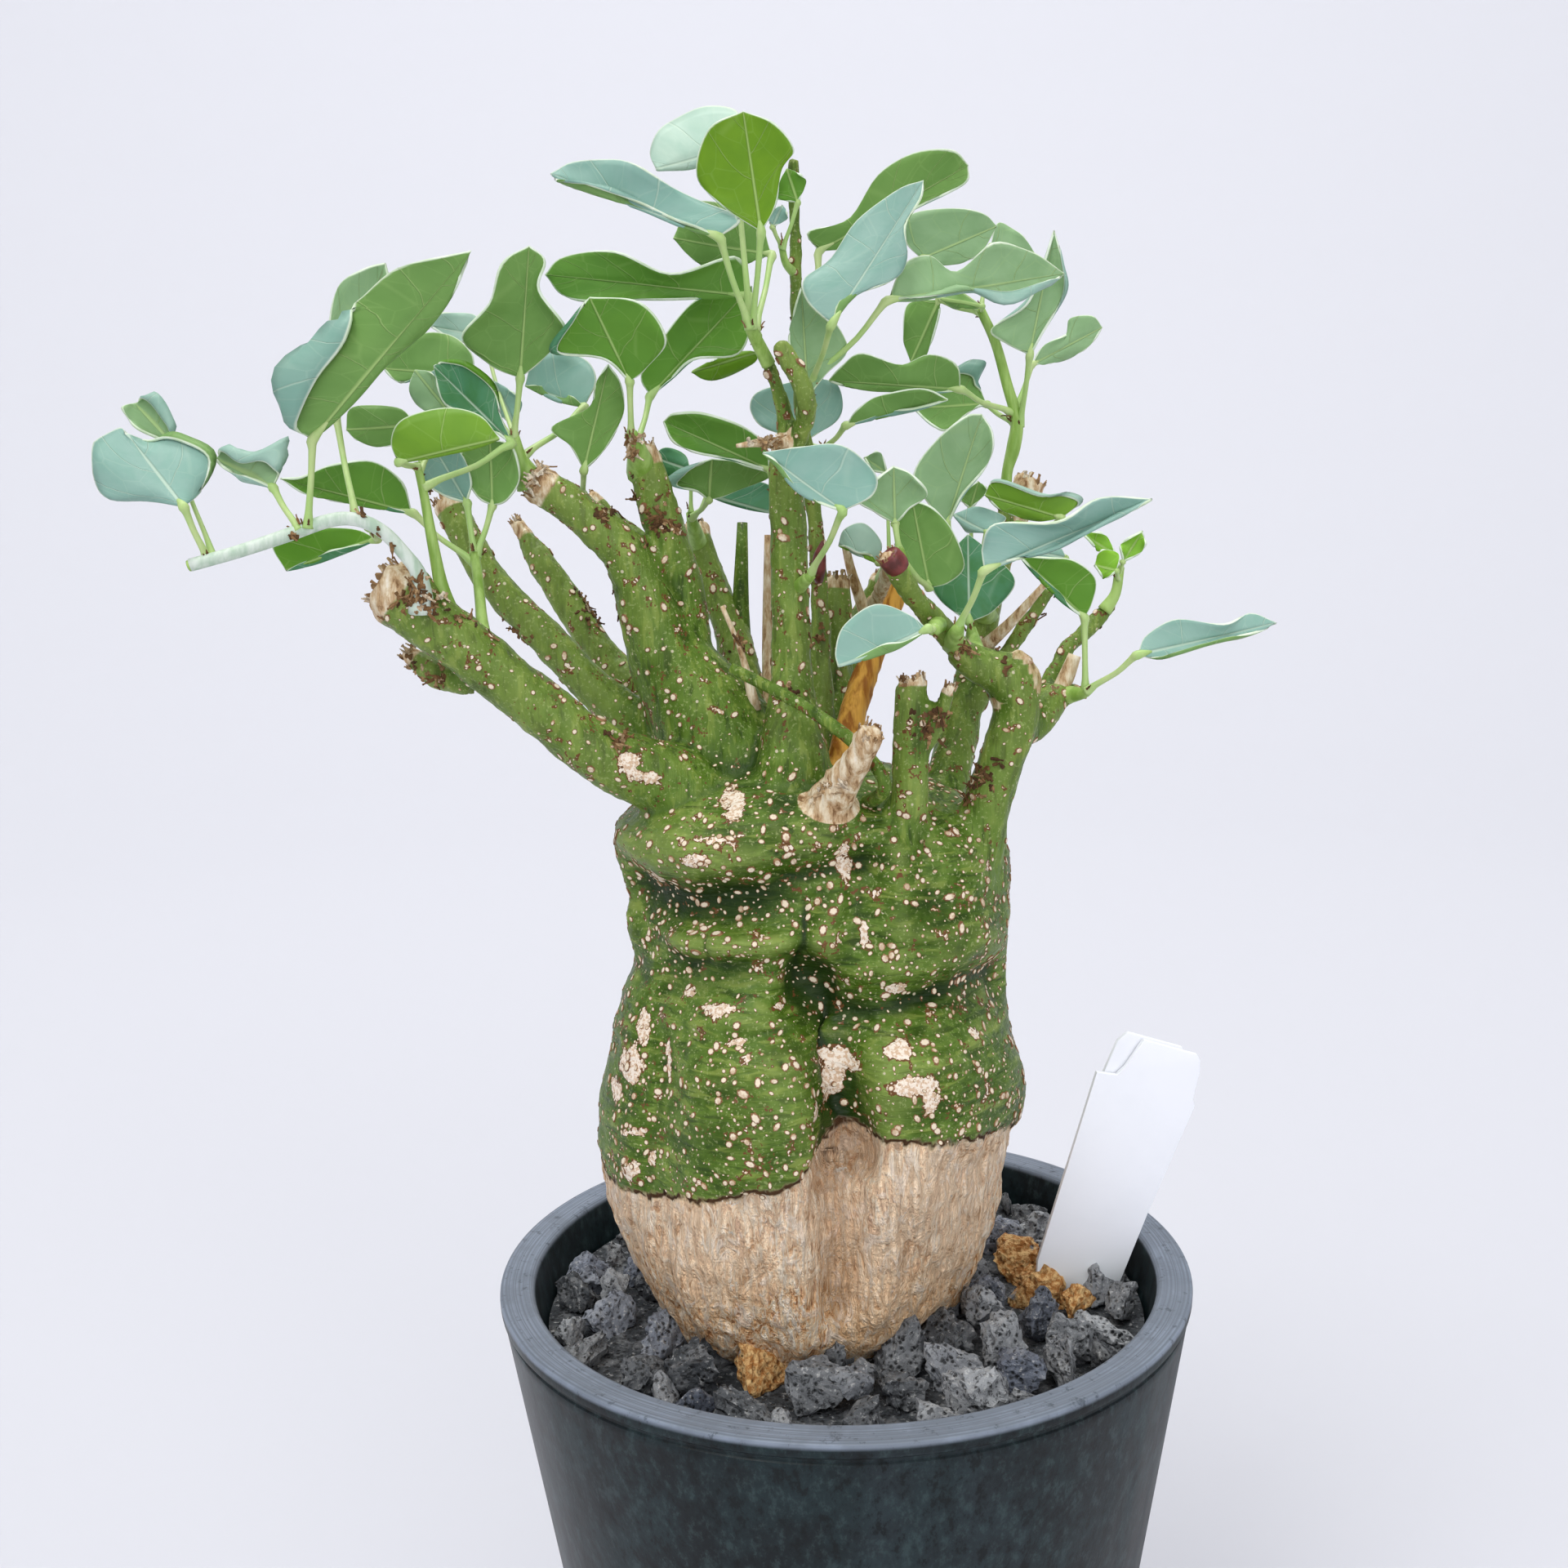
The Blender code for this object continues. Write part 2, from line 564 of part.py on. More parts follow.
SHOOTS = {
    "shoot_left_long": dict(
        stems=[((517, 750, -22, 34), (513, 705, -23, 20), (495, 678, -24, 17), (470, 652, -25, 17),
                (440, 637, -26, 17), (405, 637, -27, 17), (350, 656, -28, 17), (290, 676, -30, 16),
                (233, 692, -31, 16))],
        leaves=[
            Leaf((255, 686, -30), (225, 621), (152, 530), [(150, 598), (112, 570), (118, 532)],
                 [(262, 562), (245, 531), (200, 524)], -32, lean=0.6, turn=0.1, cup=-2.0, wave=(1.0, 1.0, 0.6)),
            Leaf((262, 684, -30), (212, 545), (165, 494), [(175, 531), (157, 508)], [(219, 522), (203, 489)],
                 -22, lean=0.3, cup=1.5, small=True),
            Leaf((367, 650, -28), (334, 597), (264, 562), [(306, 586), (281, 577)],
                 [(352, 567), (356, 537), (314, 558), (284, 547)], -26, lean=0.2, cup=1.5),
            Leaf((377, 647, -28), (383, 538), (577, 307), [(340, 510), (331, 453), (378, 415), (430, 380), (490, 329)],
                 [(400, 520), (425, 482), (500, 428), (548, 370)], -29, lean=-0.45, cup=-2.0, wave=(1.8, 1.1, 0.1)),
            Leaf((437, 640, -26), (411, 508), (472, 322), [(405, 455), (413, 360), (447, 333)],
                 [(450, 470), (490, 400)], -17, lean=-0.05, cup=1.0),
            Leaf((452, 645, -25), (462, 660), (350, 699), [(430, 648), (375, 652), (335, 667)],
                 [(425, 673), (387, 683)], -18, lean=0.3),
        ]),
    "shoot_left_upright": dict(
        stems=[((548, 752, -17, 30), (539, 712, -18, 17), (527, 650, -18, 13), (519, 605, -18, 11),
                (510, 566, -18, 9))],
        leaves=[
            Leaf((511, 572, -18), (488, 566), (612, 537), [(480, 540), (495, 513), (545, 500), (586, 509)],
                 [(508, 557), (550, 543), (590, 541)], -20.6, lean=-0.1, bow=1.6, wave=(0.6, 1.0, 0.0)),
            Leaf((520, 610, -18), (510, 520), (424, 527), [(480, 545), (441, 541)], [(490, 500), (452, 496), (428, 503)],
                 -14, lean=0.1, small=True),
            Leaf((517, 598, -18), (627, 543), (531, 448), [(610, 530), (585, 511), (550, 500), (537, 475)],
                 [(613, 508), (606, 472), (572, 446), (545, 442)], -12, lean=0.15, cup=1.0, wave=(0.8, 1.4, 0.3)),
            Leaf((513, 580, -18), (550, 505), (508, 453), [(520, 503), (501, 480)], [(545, 485), (530, 458)],
                 -7, lean=0.1, small=True),
        ]),
    "shoot_left_pair": dict(
        stems=[((594, 803, -18, 30), (590, 760, -15, 15), (586, 715, -12, 13), (581, 678, -10, 12))],
        leaves=[
            Leaf((583, 682, -10), (603, 619), (600, 538), [(586, 606), (568, 572), (572, 545)],
                 [(622, 612), (638, 585), (630, 547)], -7, lean=-0.1, cup=1.0),
            Leaf((581, 680, -10), (572, 616), (530, 545), [(545, 608), (519, 588), (518, 560)],
                 [(578, 590), (563, 552)], -9, lean=0.15, cup=0.5),
            Leaf((581, 690, -10), (505, 628), (343, 586), [(485, 622), (440, 618), (385, 607)],
                 [(492, 590), (455, 567), (410, 567), (370, 583)], -11, lean=-0.3, wave=(0.8, 1.2, 0.2)),
        ]),
    "shoot_fourth_limb": dict(
        stems=[((652, 594, -5, 40), (638, 562, -6, 17), (629, 535, -7, 14))],
        leaves=[
            Leaf((629, 537, -7), (637, 463), (648, 301), [(598, 444), (567, 410), (602, 366), (616, 320)],
                 [(668, 436), (695, 398), (662, 350), (668, 318)], -8, lean=-0.4, cup=1.5, wave=(0.7, 1.3, 0.4)),
            Leaf((640, 560, -6), (716, 498), (643, 472), [(698, 485), (672, 475)],
                 [(730, 465), (716, 438), (683, 431), (655, 443)], 4, lean=0.25, wave=(0.8, 1.0, 0.2)),
            Leaf((636, 556, -6), (582, 459), (470, 452), [(551, 452), (515, 459), (489, 469)],
                 [(577, 432), (548, 409), (505, 417)], -1, lean=0.2, wave=(0.7, 1.2, 0.1)),
            Leaf((634, 552, -6), (592, 412), (528, 400), [(560, 419)], [(582, 386), (543, 386)], 8, lean=0.1,
                 small=True),
            Leaf((636, 558, -6), (630, 520), (605, 466), [(602, 500)], [(637, 490)], 1, lean=0.1, small=True),
        ]),
    "shoot_fork_tip": dict(
        stems=[((787, 578, 0, 40), (779, 548, -5, 22), (772, 530, -6, 16))],
        leaves=[
            Leaf((773, 534, -6), (771, 467), (722, 364), [(742, 438), (676, 427), (702, 385)],
                 [(791, 450), (817, 410), (785, 368)], -9, lean=-0.4, cup=1.5, wave=(0.6, 1.4, 0.3)),
            Leaf((780, 545, -5), (796, 485), (921, 350), [(785, 458), (815, 410), (852, 369), (895, 355)],
                 [(820, 465), (850, 440), (905, 433), (922, 385)], 2, lean=-0.1, cup=1.0, wave=(0.7, 1.2, 0.5)),
        ]),
    "leaf_between": dict(
        stems=[((718, 625, 9, 26), (713, 604, 5, 12))],
        leaves=[
            Leaf((713, 606, 5), (715, 576), (745, 446), [(700, 546), (676, 522), (722, 500), (730, 468)],
                 [(742, 548), (763, 506), (761, 470)], -2, lean=-0.25, cup=1.0, wave=(0.6, 1.2, 0.0)),
        ]),
    "shoot_centre_twig": dict(
        stems=[((941, 446, -9, 18), (933, 430, -10, 17), (921, 406, -12, 15), (917, 395, -13, 13))],
        leaves=[
            Leaf((921, 402, -13), (932, 284), (910, 136), [(885, 252), (853, 215), (868, 158)],
                 [(950, 250), (957, 206), (972, 183), (948, 151)], -18, lean=-0.25, cup=1.5, wave=(0.5, 1.2, 0.2)),
            Leaf((919, 402, -13), (900, 180), (803, 208), [(865, 184), (830, 200)],
                 [(902, 131), (858, 121), (814, 146), (796, 180)], -8, lean=0.3, cup=-1.0),
            Leaf((918, 402, -14), (881, 291), (674, 213), [(852, 279), (800, 248), (740, 235), (692, 228)],
                 [(906, 266), (862, 244), (800, 224), (752, 202), (700, 199)], -20, lean=0.3, wave=(1.5, 1.4, 0.25)),
            Leaf((925, 404, -12), (945, 312), (824, 292), [(905, 323), (858, 323)], [(922, 258), (850, 247)],
                 -2, lean=0.1),
            Leaf((927, 412, -11), (916, 362), (667, 336), [(857, 365), (765, 365), (695, 364)],
                 [(902, 314), (822, 333), (753, 307), (688, 316)], -7, lean=-0.3, wave=(0.9, 1.2, 0.6)),
            Leaf((926, 414, -11), (932, 430), (846, 456), [(920, 446), (872, 466)], [(890, 434)], 10, lean=-0.1,
                 small=True),
        ]),
    "leaf_flower_stem_top": dict(
        stems=[((973, 335, 9, 12), (962, 322, 6, 9), (957, 300, 5, 8))],
        leaves=[
            Leaf((958, 306, 5), (977, 248), (963, 206), [(948, 240)], [(986, 220)], 4, lean=-0.2, small=True),
            Leaf((957, 302, 5), (946, 278), (958, 251), [(939, 262)], [(964, 266)], 3, lean=-0.2, small=True),
        ]),
    "shoot_flower_stem": dict(
        stems=[((981, 505, 9, 16), (990, 485, 4, 12), (994, 468, 2, 10))],
        leaves=[
            Leaf((991, 484, 4), (989, 486), (981, 352), [(967, 425), (972, 385)], [(1012, 458), (1038, 425), (1004, 372)],
                 1, lean=0.0, cup=1.0),
            Leaf((993, 472, 2), (1018, 398), (1131, 221), [(989, 372), (984, 344), (1018, 312), (1050, 268), (1098, 235)],
                 [(1032, 366), (1092, 342), (1111, 312), (1108, 278), (1127, 245)], -7, lean=0.35, cup=0.8,
                 wave=(0.8, 1.2, 0.1)),
            Leaf((994, 468, 2), (1087, 368), (1304, 335), [(1107, 322), (1138, 311), (1172, 332), (1215, 303), (1262, 311)],
                 [(1120, 361), (1178, 354), (1230, 379), (1282, 352)], -1, lean=0.1, wave=(1.6, 0.9, 0.55)),
            Leaf((994, 470, 2), (1003, 308), (1186, 202), [(989, 284), (1040, 268), (1075, 214), (1120, 187), (1166, 184)],
                 [(1050, 300), (1122, 254), (1180, 225)], 16, lean=-0.2, cup=1.0, wave=(0.7, 1.0, 0.3)),
        ]),
    "leaf_loop_rear": dict(
        stems=[((995, 590, 9, 16), (1006, 560, 13, 12), (1008, 548, 14, 10))],
        leaves=[
            Leaf((1007, 552, 14), (1036, 521), (1161, 489), [(1049, 501), (1080, 484), (1130, 475)],
                 [(1080, 506), (1125, 497)], 9, lean=-0.3, wave=(0.6, 1.2, 0.2)),
            Leaf((1007, 550, 14), (987, 540), (997, 462), [(930, 520), (924, 482)], [(1028, 510), (1026, 472)],
                 19, lean=0.1),
        ]),
    "shoot_right_tall": dict(
        stems=[((1232, 620, 22, 18), (1233, 580, 22, 13), (1241, 548, 22, 17), (1245, 514, 22, 15),
                (1234, 474, 22, 13), (1219, 420, 22, 12), (1200, 378, 22, 11))],
        leaves=[
            Leaf((1249, 522, 22), (1261, 435), (1291, 282), [(1230, 420), (1213, 403), (1255, 374), (1274, 330)],
                 [(1273, 412), (1303, 360), (1300, 325)], 17, lean=-0.15, cup=1.0, wave=(0.6, 1.2, 0.2)),
            Leaf((1245, 500, 22), (1263, 447), (1350, 401), [(1278, 423), (1308, 408), (1312, 389), (1337, 387)],
                 [(1294, 443), (1330, 427)], 24, lean=0.0, wave=(0.8, 1.2, 0.1)),
            Leaf((1202, 382, 22), (1203, 375), (1151, 366), [(1176, 359)], [(1178, 376)], 19, lean=0.2, small=True),
            Leaf((1203, 384, 22), (1150, 367), (1115, 444), [(1112, 372), (1106, 412)], [(1149, 388), (1134, 434)],
                 26, lean=0.1, cup=0.8),
            Leaf((1240, 506, 22), (1176, 477), (1014, 466), [(1146, 479), (1090, 481), (1045, 474)],
                 [(1172, 447), (1140, 435), (1105, 448), (1055, 431), (1030, 448)], 15, lean=-0.3, wave=(0.9, 1.3, 0.1)),
            Leaf((1243, 520, 22), (1208, 495), (1118, 500), [(1188, 505), (1152, 532)],
                 [(1198, 470), (1204, 449), (1172, 455)], 25, lean=0.3, cup=1.0, wave=(0.8, 1.0, 0.4)),
            Leaf((1201, 380, 22), (1128, 317), (1221, 277), [(1109, 296), (1113, 264), (1160, 255), (1202, 261)],
                 [(1160, 325), (1198, 312)], 24, lean=-0.1),
            Leaf((1201, 379, 22), (1213, 301), (1268, 311), [(1222, 273), (1248, 285)], [(1240, 312)], 30, lean=0.0,
                 small=True),
        ]),
    "leaf_centre_front": dict(
        stems=[((975, 722, -7, 20), (993, 704, -14, 13))],
        leaves=[
            Leaf((991, 706, -13), (1032, 626), (934, 554), [(1003, 616), (978, 598), (955, 571)],
                 [(1069, 606), (1071, 577), (1030, 548), (975, 550)], -23, lean=0.25, wave=(0.7, 1.2, 0.2)),
        ]),
    "leaf_rear_right": dict(
        stems=[((1083, 716, 26, 30), (1090, 686, 16, 14))],
        leaves=[
            Leaf((1089, 690, 17), (1086, 580), (1058, 560), [(1068, 576)], [(1078, 555)], 24, lean=0.1, small=True),
            Leaf((1089, 690, 17), (1075, 690), (1027, 668), [(1062, 677), (1040, 671)],
                 [(1079, 665), (1058, 642), (1034, 650)], 9, lean=0.2, bow=1.0, small=True),
        ]),
    "shoot_elbow_tip": dict(
        stems=[((1104, 708, -21, 26), (1104, 686, -17, 15), (1101, 672, -16, 11))],
        leaves=[
            Leaf((1101, 674, -16), (1096, 641), (1094, 571), [(1070, 624), (1048, 608), (1074, 583)],
                 [(1112, 622), (1135, 604), (1118, 580)], -14, lean=-0.3, cup=1.0),
            Leaf((1103, 684, -17), (1138, 720), (1117, 613), [(1110, 702), (1096, 650)],
                 [(1162, 713), (1181, 692), (1166, 650), (1142, 622)], -12, lean=-0.1, cup=0.8, wave=(0.6, 1.0, 0.2)),
        ]),
    "shoot_back_limb": dict(
        stems=[((1208, 756, 20, 30), (1198, 730, 10, 15), (1190, 712, 8, 12))],
        leaves=[
            Leaf((1192, 716, 8), (1159, 644), (1202, 507), [(1138, 618), (1118, 580), (1150, 534), (1181, 509)],
                 [(1176, 606), (1209, 566), (1214, 530)], 2, lean=-0.2, cup=1.2),
            Leaf((1191, 714, 8), (1208, 652), (1167, 630), [(1186, 647)], [(1233, 632), (1200, 620)], 8, lean=0.3,
                 small=True),
            Leaf((1192, 716, 8), (1188, 623), (1198, 589), [(1175, 608)], [(1208, 602)], 14, lean=0.0, small=True),
        ]),
    "leaf_elbow_rear": dict(
        stems=[((1196, 808, -11, 28), (1193, 784, -6, 16), (1189, 770, -5, 13))],
        leaves=[
            Leaf((1190, 776, -5), (1187, 762), (1185, 654), [(1165, 746), (1141, 718), (1158, 684)],
                 [(1216, 748), (1242, 714), (1215, 679)], -5, lean=0.2, cup=0.8, wave=(0.6, 1.2, 0.4)),
        ]),
    "leaf_elbow_right": dict(
        stems=[((1166, 788, -14, 28), (1174, 768, -22, 14))],
        leaves=[
            Leaf((1173, 770, -21), (1205, 699), (1411, 611), [(1204, 672), (1218, 642), (1291, 638), (1345, 609)],
                 [(1232, 687), (1292, 667), (1372, 626)], -27, lean=-0.1, cup=0.5, wave=(1.4, 0.9, 0.6)),
        ]),
    "leaf_elbow_left": dict(
        stems=[((1148, 764, -16, 26), (1143, 772, -23, 13))],
        leaves=[
            Leaf((1144, 770, -22), (1136, 770), (1026, 816), [(1112, 750), (1072, 740), (1034, 765), (1023, 796)],
                 [(1107, 785), (1076, 791), (1045, 806)], -27, lean=0.35, bow=1.0, wave=(0.5, 1.0, 0.2)),
        ]),
    "shoot_back_knob": dict(
        stems=[((1246, 650, 20, 26), (1262, 655, 13, 13), (1276, 655, 9, 11))],
        leaves=[
            Leaf((1270, 655, 12), (1300, 634), (1205, 606), [(1266, 638), (1229, 626)],
                 [(1326, 613), (1308, 603), (1278, 604), (1222, 587)], 6, lean=-0.2, turn=-0.1, wave=(0.6, 1.2, 0.3)),
            Leaf((1274, 655, 10), (1306, 684), (1264, 675), [(1283, 688)], [(1296, 667), (1278, 666)], 6, lean=0.2,
                 small=True),
        ]),
    "shoot_outer_node": dict(
        stems=[((1303, 851, -6, 26), (1326, 849, -9, 14), (1332, 846, -10, 11))],
        leaves=[
            Leaf((1329, 848, -9), (1328, 756), (1249, 681), [(1310, 742), (1296, 724), (1266, 698)],
                 [(1338, 735), (1341, 708), (1315, 686), (1283, 682)], -10, lean=-0.15, cup=0.8, wave=(0.6, 1.0, 0.2)),
            Leaf((1330, 847, -10), (1393, 802), (1563, 763), [(1404, 778), (1440, 760), (1496, 768), (1530, 751)],
                 [(1425, 807), (1480, 791), (1532, 777)], -14, lean=0.4, cup=0.5, wave=(0.7, 1.2, 0.6)),
        ]),
    "shoot_outer_twig": dict(
        stems=[((1352, 748, 2, 18), (1366, 726, 2, 13), (1371, 694, 2, 12))],
        leaves=[
            Leaf((1371, 702, 2), (1366, 681), (1324, 652), [(1345, 674)], [(1354, 656)], 1, lean=0.1, small=True),
            Leaf((1370, 706, 2), (1375, 688), (1399, 650), [(1372, 667)], [(1399, 674)], 0, lean=0.1, small=True),
            Leaf((1370, 711, 2), (1367, 699), (1340, 692), [(1352, 708)], [(1370, 678), (1348, 674)], -3, lean=0.1,
                 small=True),
        ]),
    "shoot_rear_limb": dict(
        stems=[((856, 672, 22, 28), (848, 640, 16, 14), (846, 628, 15, 12))],
        leaves=[
            Leaf((847, 634, 15), (868, 612), (872, 562), [(850, 598), (816, 592), (830, 575)],
                 [(900, 602), (945, 581), (906, 565)], 9, lean=-0.4, cup=1.0),
            Leaf((846, 628, 15), (846, 576), (800, 560), [(822, 584)], [(838, 556), (815, 548)], 16, lean=0.1,
                 small=True),
            Leaf((848, 640, 16), (866, 606), (945, 628), [(905, 614)], [(915, 590), (944, 596)], 17, lean=0.0,
                 small=True),
        ]),
    "leaf_centre_rear": dict(
        stems=[((966, 618, -7, 20), (948, 600, 1, 12))],
        leaves=[
            Leaf((949, 602, 0), (942, 575), (812, 516), [(906, 563), (850, 550), (824, 535)],
                 [(937, 543), (902, 515), (858, 501), (826, 504)], 4, lean=-0.3, cup=1.0, wave=(0.7, 1.1, 0.4)),
        ]),
}


def make_shoot(name, stems, leaves, clearance, parts, scratch, leaf_green):
    """Stems cut clear of the branch that they grow from, with petioles and blades fused to them."""
    pieces = []
    for index, route in enumerate(stems):
        stem = photo_tube(f"{name}_stem{index}", route, scratch, sides=1, steps=1)
        boolean(stem, "DIFFERENCE", clearance)
        drop_scraps(stem)
        pieces.append(stem)
    for index, leaf in enumerate(leaves):
        petiole = make_petiole(f"{name}_petiole{index}", leaf, scratch)
        boolean(petiole, "DIFFERENCE", clearance)
        pieces.append(petiole)
        pieces.append(make_blade(f"{name}_blade{index}", leaf, scratch))
    shoot = union(name, pieces, parts)
    drop_scraps(shoot)
    finish(shoot, leaf_green, 50.0)
    return shoot


# Plant tags
def tag_sheet(name, behind, grow, collection):
    """A flat outline of plastic sheet stood in its place, larger all over by grow."""
    curve = bpy.data.curves.new(name, "CURVE")
    curve.dimensions = "2D"
    curve.fill_mode = "BOTH"
    curve.extrude = TAG_THICKNESS / 2 * MM
    curve.bevel_depth = grow * MM
    curve.bevel_resolution = 0
    spline = curve.splines.new("POLY")
    spline.points.add(len(TAG_OUTLINES[name]) - 1)
    spline.use_cyclic_u = True
    for point, (across, up) in zip(spline.points, TAG_OUTLINES[name]):
        point.co = (across * MM, up * MM, 0.0, 1.0)
    carrier = new_object(name + "_curve", curve, collection)
    carrier.location = photo_point(*TAG_FOOT, TAG_DEPTH + behind) * MM
    upright = Euler((math.pi / 2, 0, 0)).to_matrix()
    carrier.rotation_euler = (Euler((0, TAG_LEAN, TAG_TURN)).to_matrix() @ upright).to_euler()
    bpy.context.view_layer.update()
    graph = bpy.context.evaluated_depsgraph_get()
    mesh = bpy.data.meshes.new_from_object(carrier.evaluated_get(graph))
    mesh.transform(carrier.matrix_world)
    weld_mesh(mesh)
    bpy.data.objects.remove(carrier)
    return new_object(name, mesh, collection)


def make_tag(name, behind, parts, cutters):
    """The tag and the cutter for its slot in the grit."""
    tag = tag_sheet(name, behind, 0.0, parts)
    finish(tag, material(name + "_plastic", TAG_COLOUR, 0.35), 30.0)
    cutter = tag_sheet(name, behind, CLEARANCE, cutters)
    cutter.hide_render = True
    cutter.display_type = "WIRE"
    return cutter


# Mix and lava grit
def stone_places(rng):
    """Centres and sizes of the grit stones, spread over the ring between caudex and pot."""
    top = POT_HEIGHT - MIX_DROP
    room = inner_radius(top) - CLEARANCE
    foot = trunk_rings(TRUNK_SEGMENTS)[3]
    middle = sum(foot, Vector()) / len(foot)
    places = [(Vector(pile[:3]), pile[3]) for pile in PILE_STONES]
    tries = 0
    while len(places) < STONE_COUNT and tries < 20000:
        tries += 1
        size = rng.uniform(STONE_SMALL, STONE_LARGE)
        reach, angle = (room - size) * math.sqrt(rng.random()), rng.uniform(0, math.tau)
        spot = Vector((reach * math.cos(angle), reach * math.sin(angle), 0))
        away = spot - Vector((middle.x, middle.y, 0))
        if (away.x / 23.5) ** 2 + (away.y / 23.0) ** 2 < 1:
            continue
        if any((spot - other).xy.length < STONE_SPACING for other, _ in places):
            continue
        places.append((spot, size))
    for spot, size in places[len(PILE_STONES):]:
        spot.z = top + rng.uniform(-0.9, 0.9)
    return places


def make_stone(name, spot, size, rng, collection):
    shape = bmesh.new()
    bmesh.ops.create_icosphere(shape, subdivisions=1, radius=size)
    turn = Euler([rng.uniform(0, math.tau) for _ in range(3)]).to_matrix()
    stretch = [rng.uniform(0.82, 1.0) for _ in range(3)]
    for vert in shape.verts:
        rough = rng.uniform(0.82, 1.0)
        place = Vector(a * b for a, b in zip(vert.co, stretch)) * rough
        vert.co = (turn @ place + spot) * MM
    return bmesh_object(name, shape, collection)


def make_grit(parts, scratch, cutters):
    """The mix that fills the pot with the stones of the top dressing sunk into it."""
    top = POT_HEIGHT - MIX_DROP
    low = FLOOR + CLEARANCE
    profile = [
        (0.0, low), (inner_radius(low + 3.0) - 3.0, low),
        (inner_radius(low + 3.0) - 2 * CLEARANCE, low + 3.0),
        (inner_radius(POT_HEIGHT - 22.0) - 2 * CLEARANCE, POT_HEIGHT - 22.0),
        (inner_radius(top) - 2 * CLEARANCE, top), (0.0, top),
    ]
    shape = bmesh.new()
    row = [shape.verts.new((r * MM, 0, z * MM)) for r, z in profile]
    for a, b in zip(row, row[1:]):
        shape.edges.new((a, b))
    fill = bmesh_object("mix_fill", shape, scratch)
    screw = fill.modifiers.new("turn", "SCREW")
    screw.steps = POT_STEPS
    screw.render_steps = POT_STEPS
    screw.use_merge_vertices = True
    screw.merge_threshold = MERGE
    screw.use_normal_calculate = True
    screw.use_normal_flip = True
    apply_modifiers(fill)
    rng = random.Random(STONE_SEED)
    pieces = [fill]
    for index, (spot, size) in enumerate(stone_places(rng)):
        pieces.append(make_stone(f"stone{index}", spot, size, rng, scratch))
    grit = union("lava_grit", pieces, parts)
    for cutter in cutters:
        boolean(grit, "DIFFERENCE", cutter)
    drop_scraps(grit)
    finish(grit, material("lava_grit", GRIT_COLOUR, 0.9), 20.0)
    return grit


def main():
    empty_scene()
    parts = new_collection("potted_adenia")
    cutters = new_collection("cutters")
    scratch = new_collection("working_pieces")
    make_pot(parts, cutters)
    caudex = make_caudex(parts, scratch)
    clearance = grown_by(caudex, CLEARANCE, cutters)
    slots = [make_tag("tag_front", 0.0, parts, cutters),
             make_tag("tag_rear", TAG_THICKNESS + CLEARANCE, parts, cutters)]
    make_grit(parts, scratch, [clearance] + slots)
    leaf_green = material("leaf_green", LEAF_COLOUR, 0.5)
    for name, shoot in SHOOTS.items():
        make_shoot(name, shoot["stems"], shoot["leaves"], clearance, parts, scratch, leaf_green)
    bpy.data.collections.remove(scratch)


main()
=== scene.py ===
"""Looks of a potted adenia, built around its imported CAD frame.

All named sizes are millimetres. Places read from the 1920 pixel photograph are (pixel x, pixel y, depth), where
depth is the distance behind the pot's axis; photo_point turns them into places in the frame.
"""
import json
import math
import random

import bmesh
import bpy
import numpy as np
from bpy.props import FloatProperty, FloatVectorProperty, IntProperty, PointerProperty
from mathutils import Euler, Matrix, Vector, noise

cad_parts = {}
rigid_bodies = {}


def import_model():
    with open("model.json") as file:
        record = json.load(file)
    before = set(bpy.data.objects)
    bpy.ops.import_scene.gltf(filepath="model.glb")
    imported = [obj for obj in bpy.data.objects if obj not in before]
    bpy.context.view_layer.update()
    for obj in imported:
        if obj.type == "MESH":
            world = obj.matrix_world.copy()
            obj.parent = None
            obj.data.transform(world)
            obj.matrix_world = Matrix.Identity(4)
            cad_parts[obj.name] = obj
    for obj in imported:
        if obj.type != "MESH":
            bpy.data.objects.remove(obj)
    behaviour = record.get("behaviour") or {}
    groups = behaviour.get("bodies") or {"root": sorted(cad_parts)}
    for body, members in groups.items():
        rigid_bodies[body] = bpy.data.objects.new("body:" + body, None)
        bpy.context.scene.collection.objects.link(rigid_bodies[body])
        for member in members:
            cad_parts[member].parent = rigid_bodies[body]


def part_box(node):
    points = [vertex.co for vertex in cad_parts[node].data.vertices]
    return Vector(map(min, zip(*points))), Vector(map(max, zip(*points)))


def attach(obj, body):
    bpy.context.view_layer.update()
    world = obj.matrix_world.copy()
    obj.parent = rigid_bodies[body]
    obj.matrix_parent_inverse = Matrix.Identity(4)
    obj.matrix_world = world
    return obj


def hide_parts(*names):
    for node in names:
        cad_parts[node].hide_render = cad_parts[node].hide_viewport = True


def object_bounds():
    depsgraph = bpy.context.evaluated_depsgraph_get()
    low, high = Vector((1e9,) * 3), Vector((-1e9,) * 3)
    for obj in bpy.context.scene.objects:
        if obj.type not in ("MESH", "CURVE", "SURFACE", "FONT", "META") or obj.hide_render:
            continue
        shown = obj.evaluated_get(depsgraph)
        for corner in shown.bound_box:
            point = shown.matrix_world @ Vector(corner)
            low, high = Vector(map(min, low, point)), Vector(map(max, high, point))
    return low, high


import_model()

CAD_BOX = [list(corner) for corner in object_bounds()]

bl_info = {
    "name": "Potted adenia",
    "version": (1, 0, 0),
    "blender": (4, 5, 0),
    "location": "View3D > Sidebar > Adenia",
    "description": "Builds a caudex plant with cut limbs and leafy shoots in a black nursery pot",
    "category": "Object",
}

MM = 0.001
POT_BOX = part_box("pot")
GRIT_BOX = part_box("lava_grit")

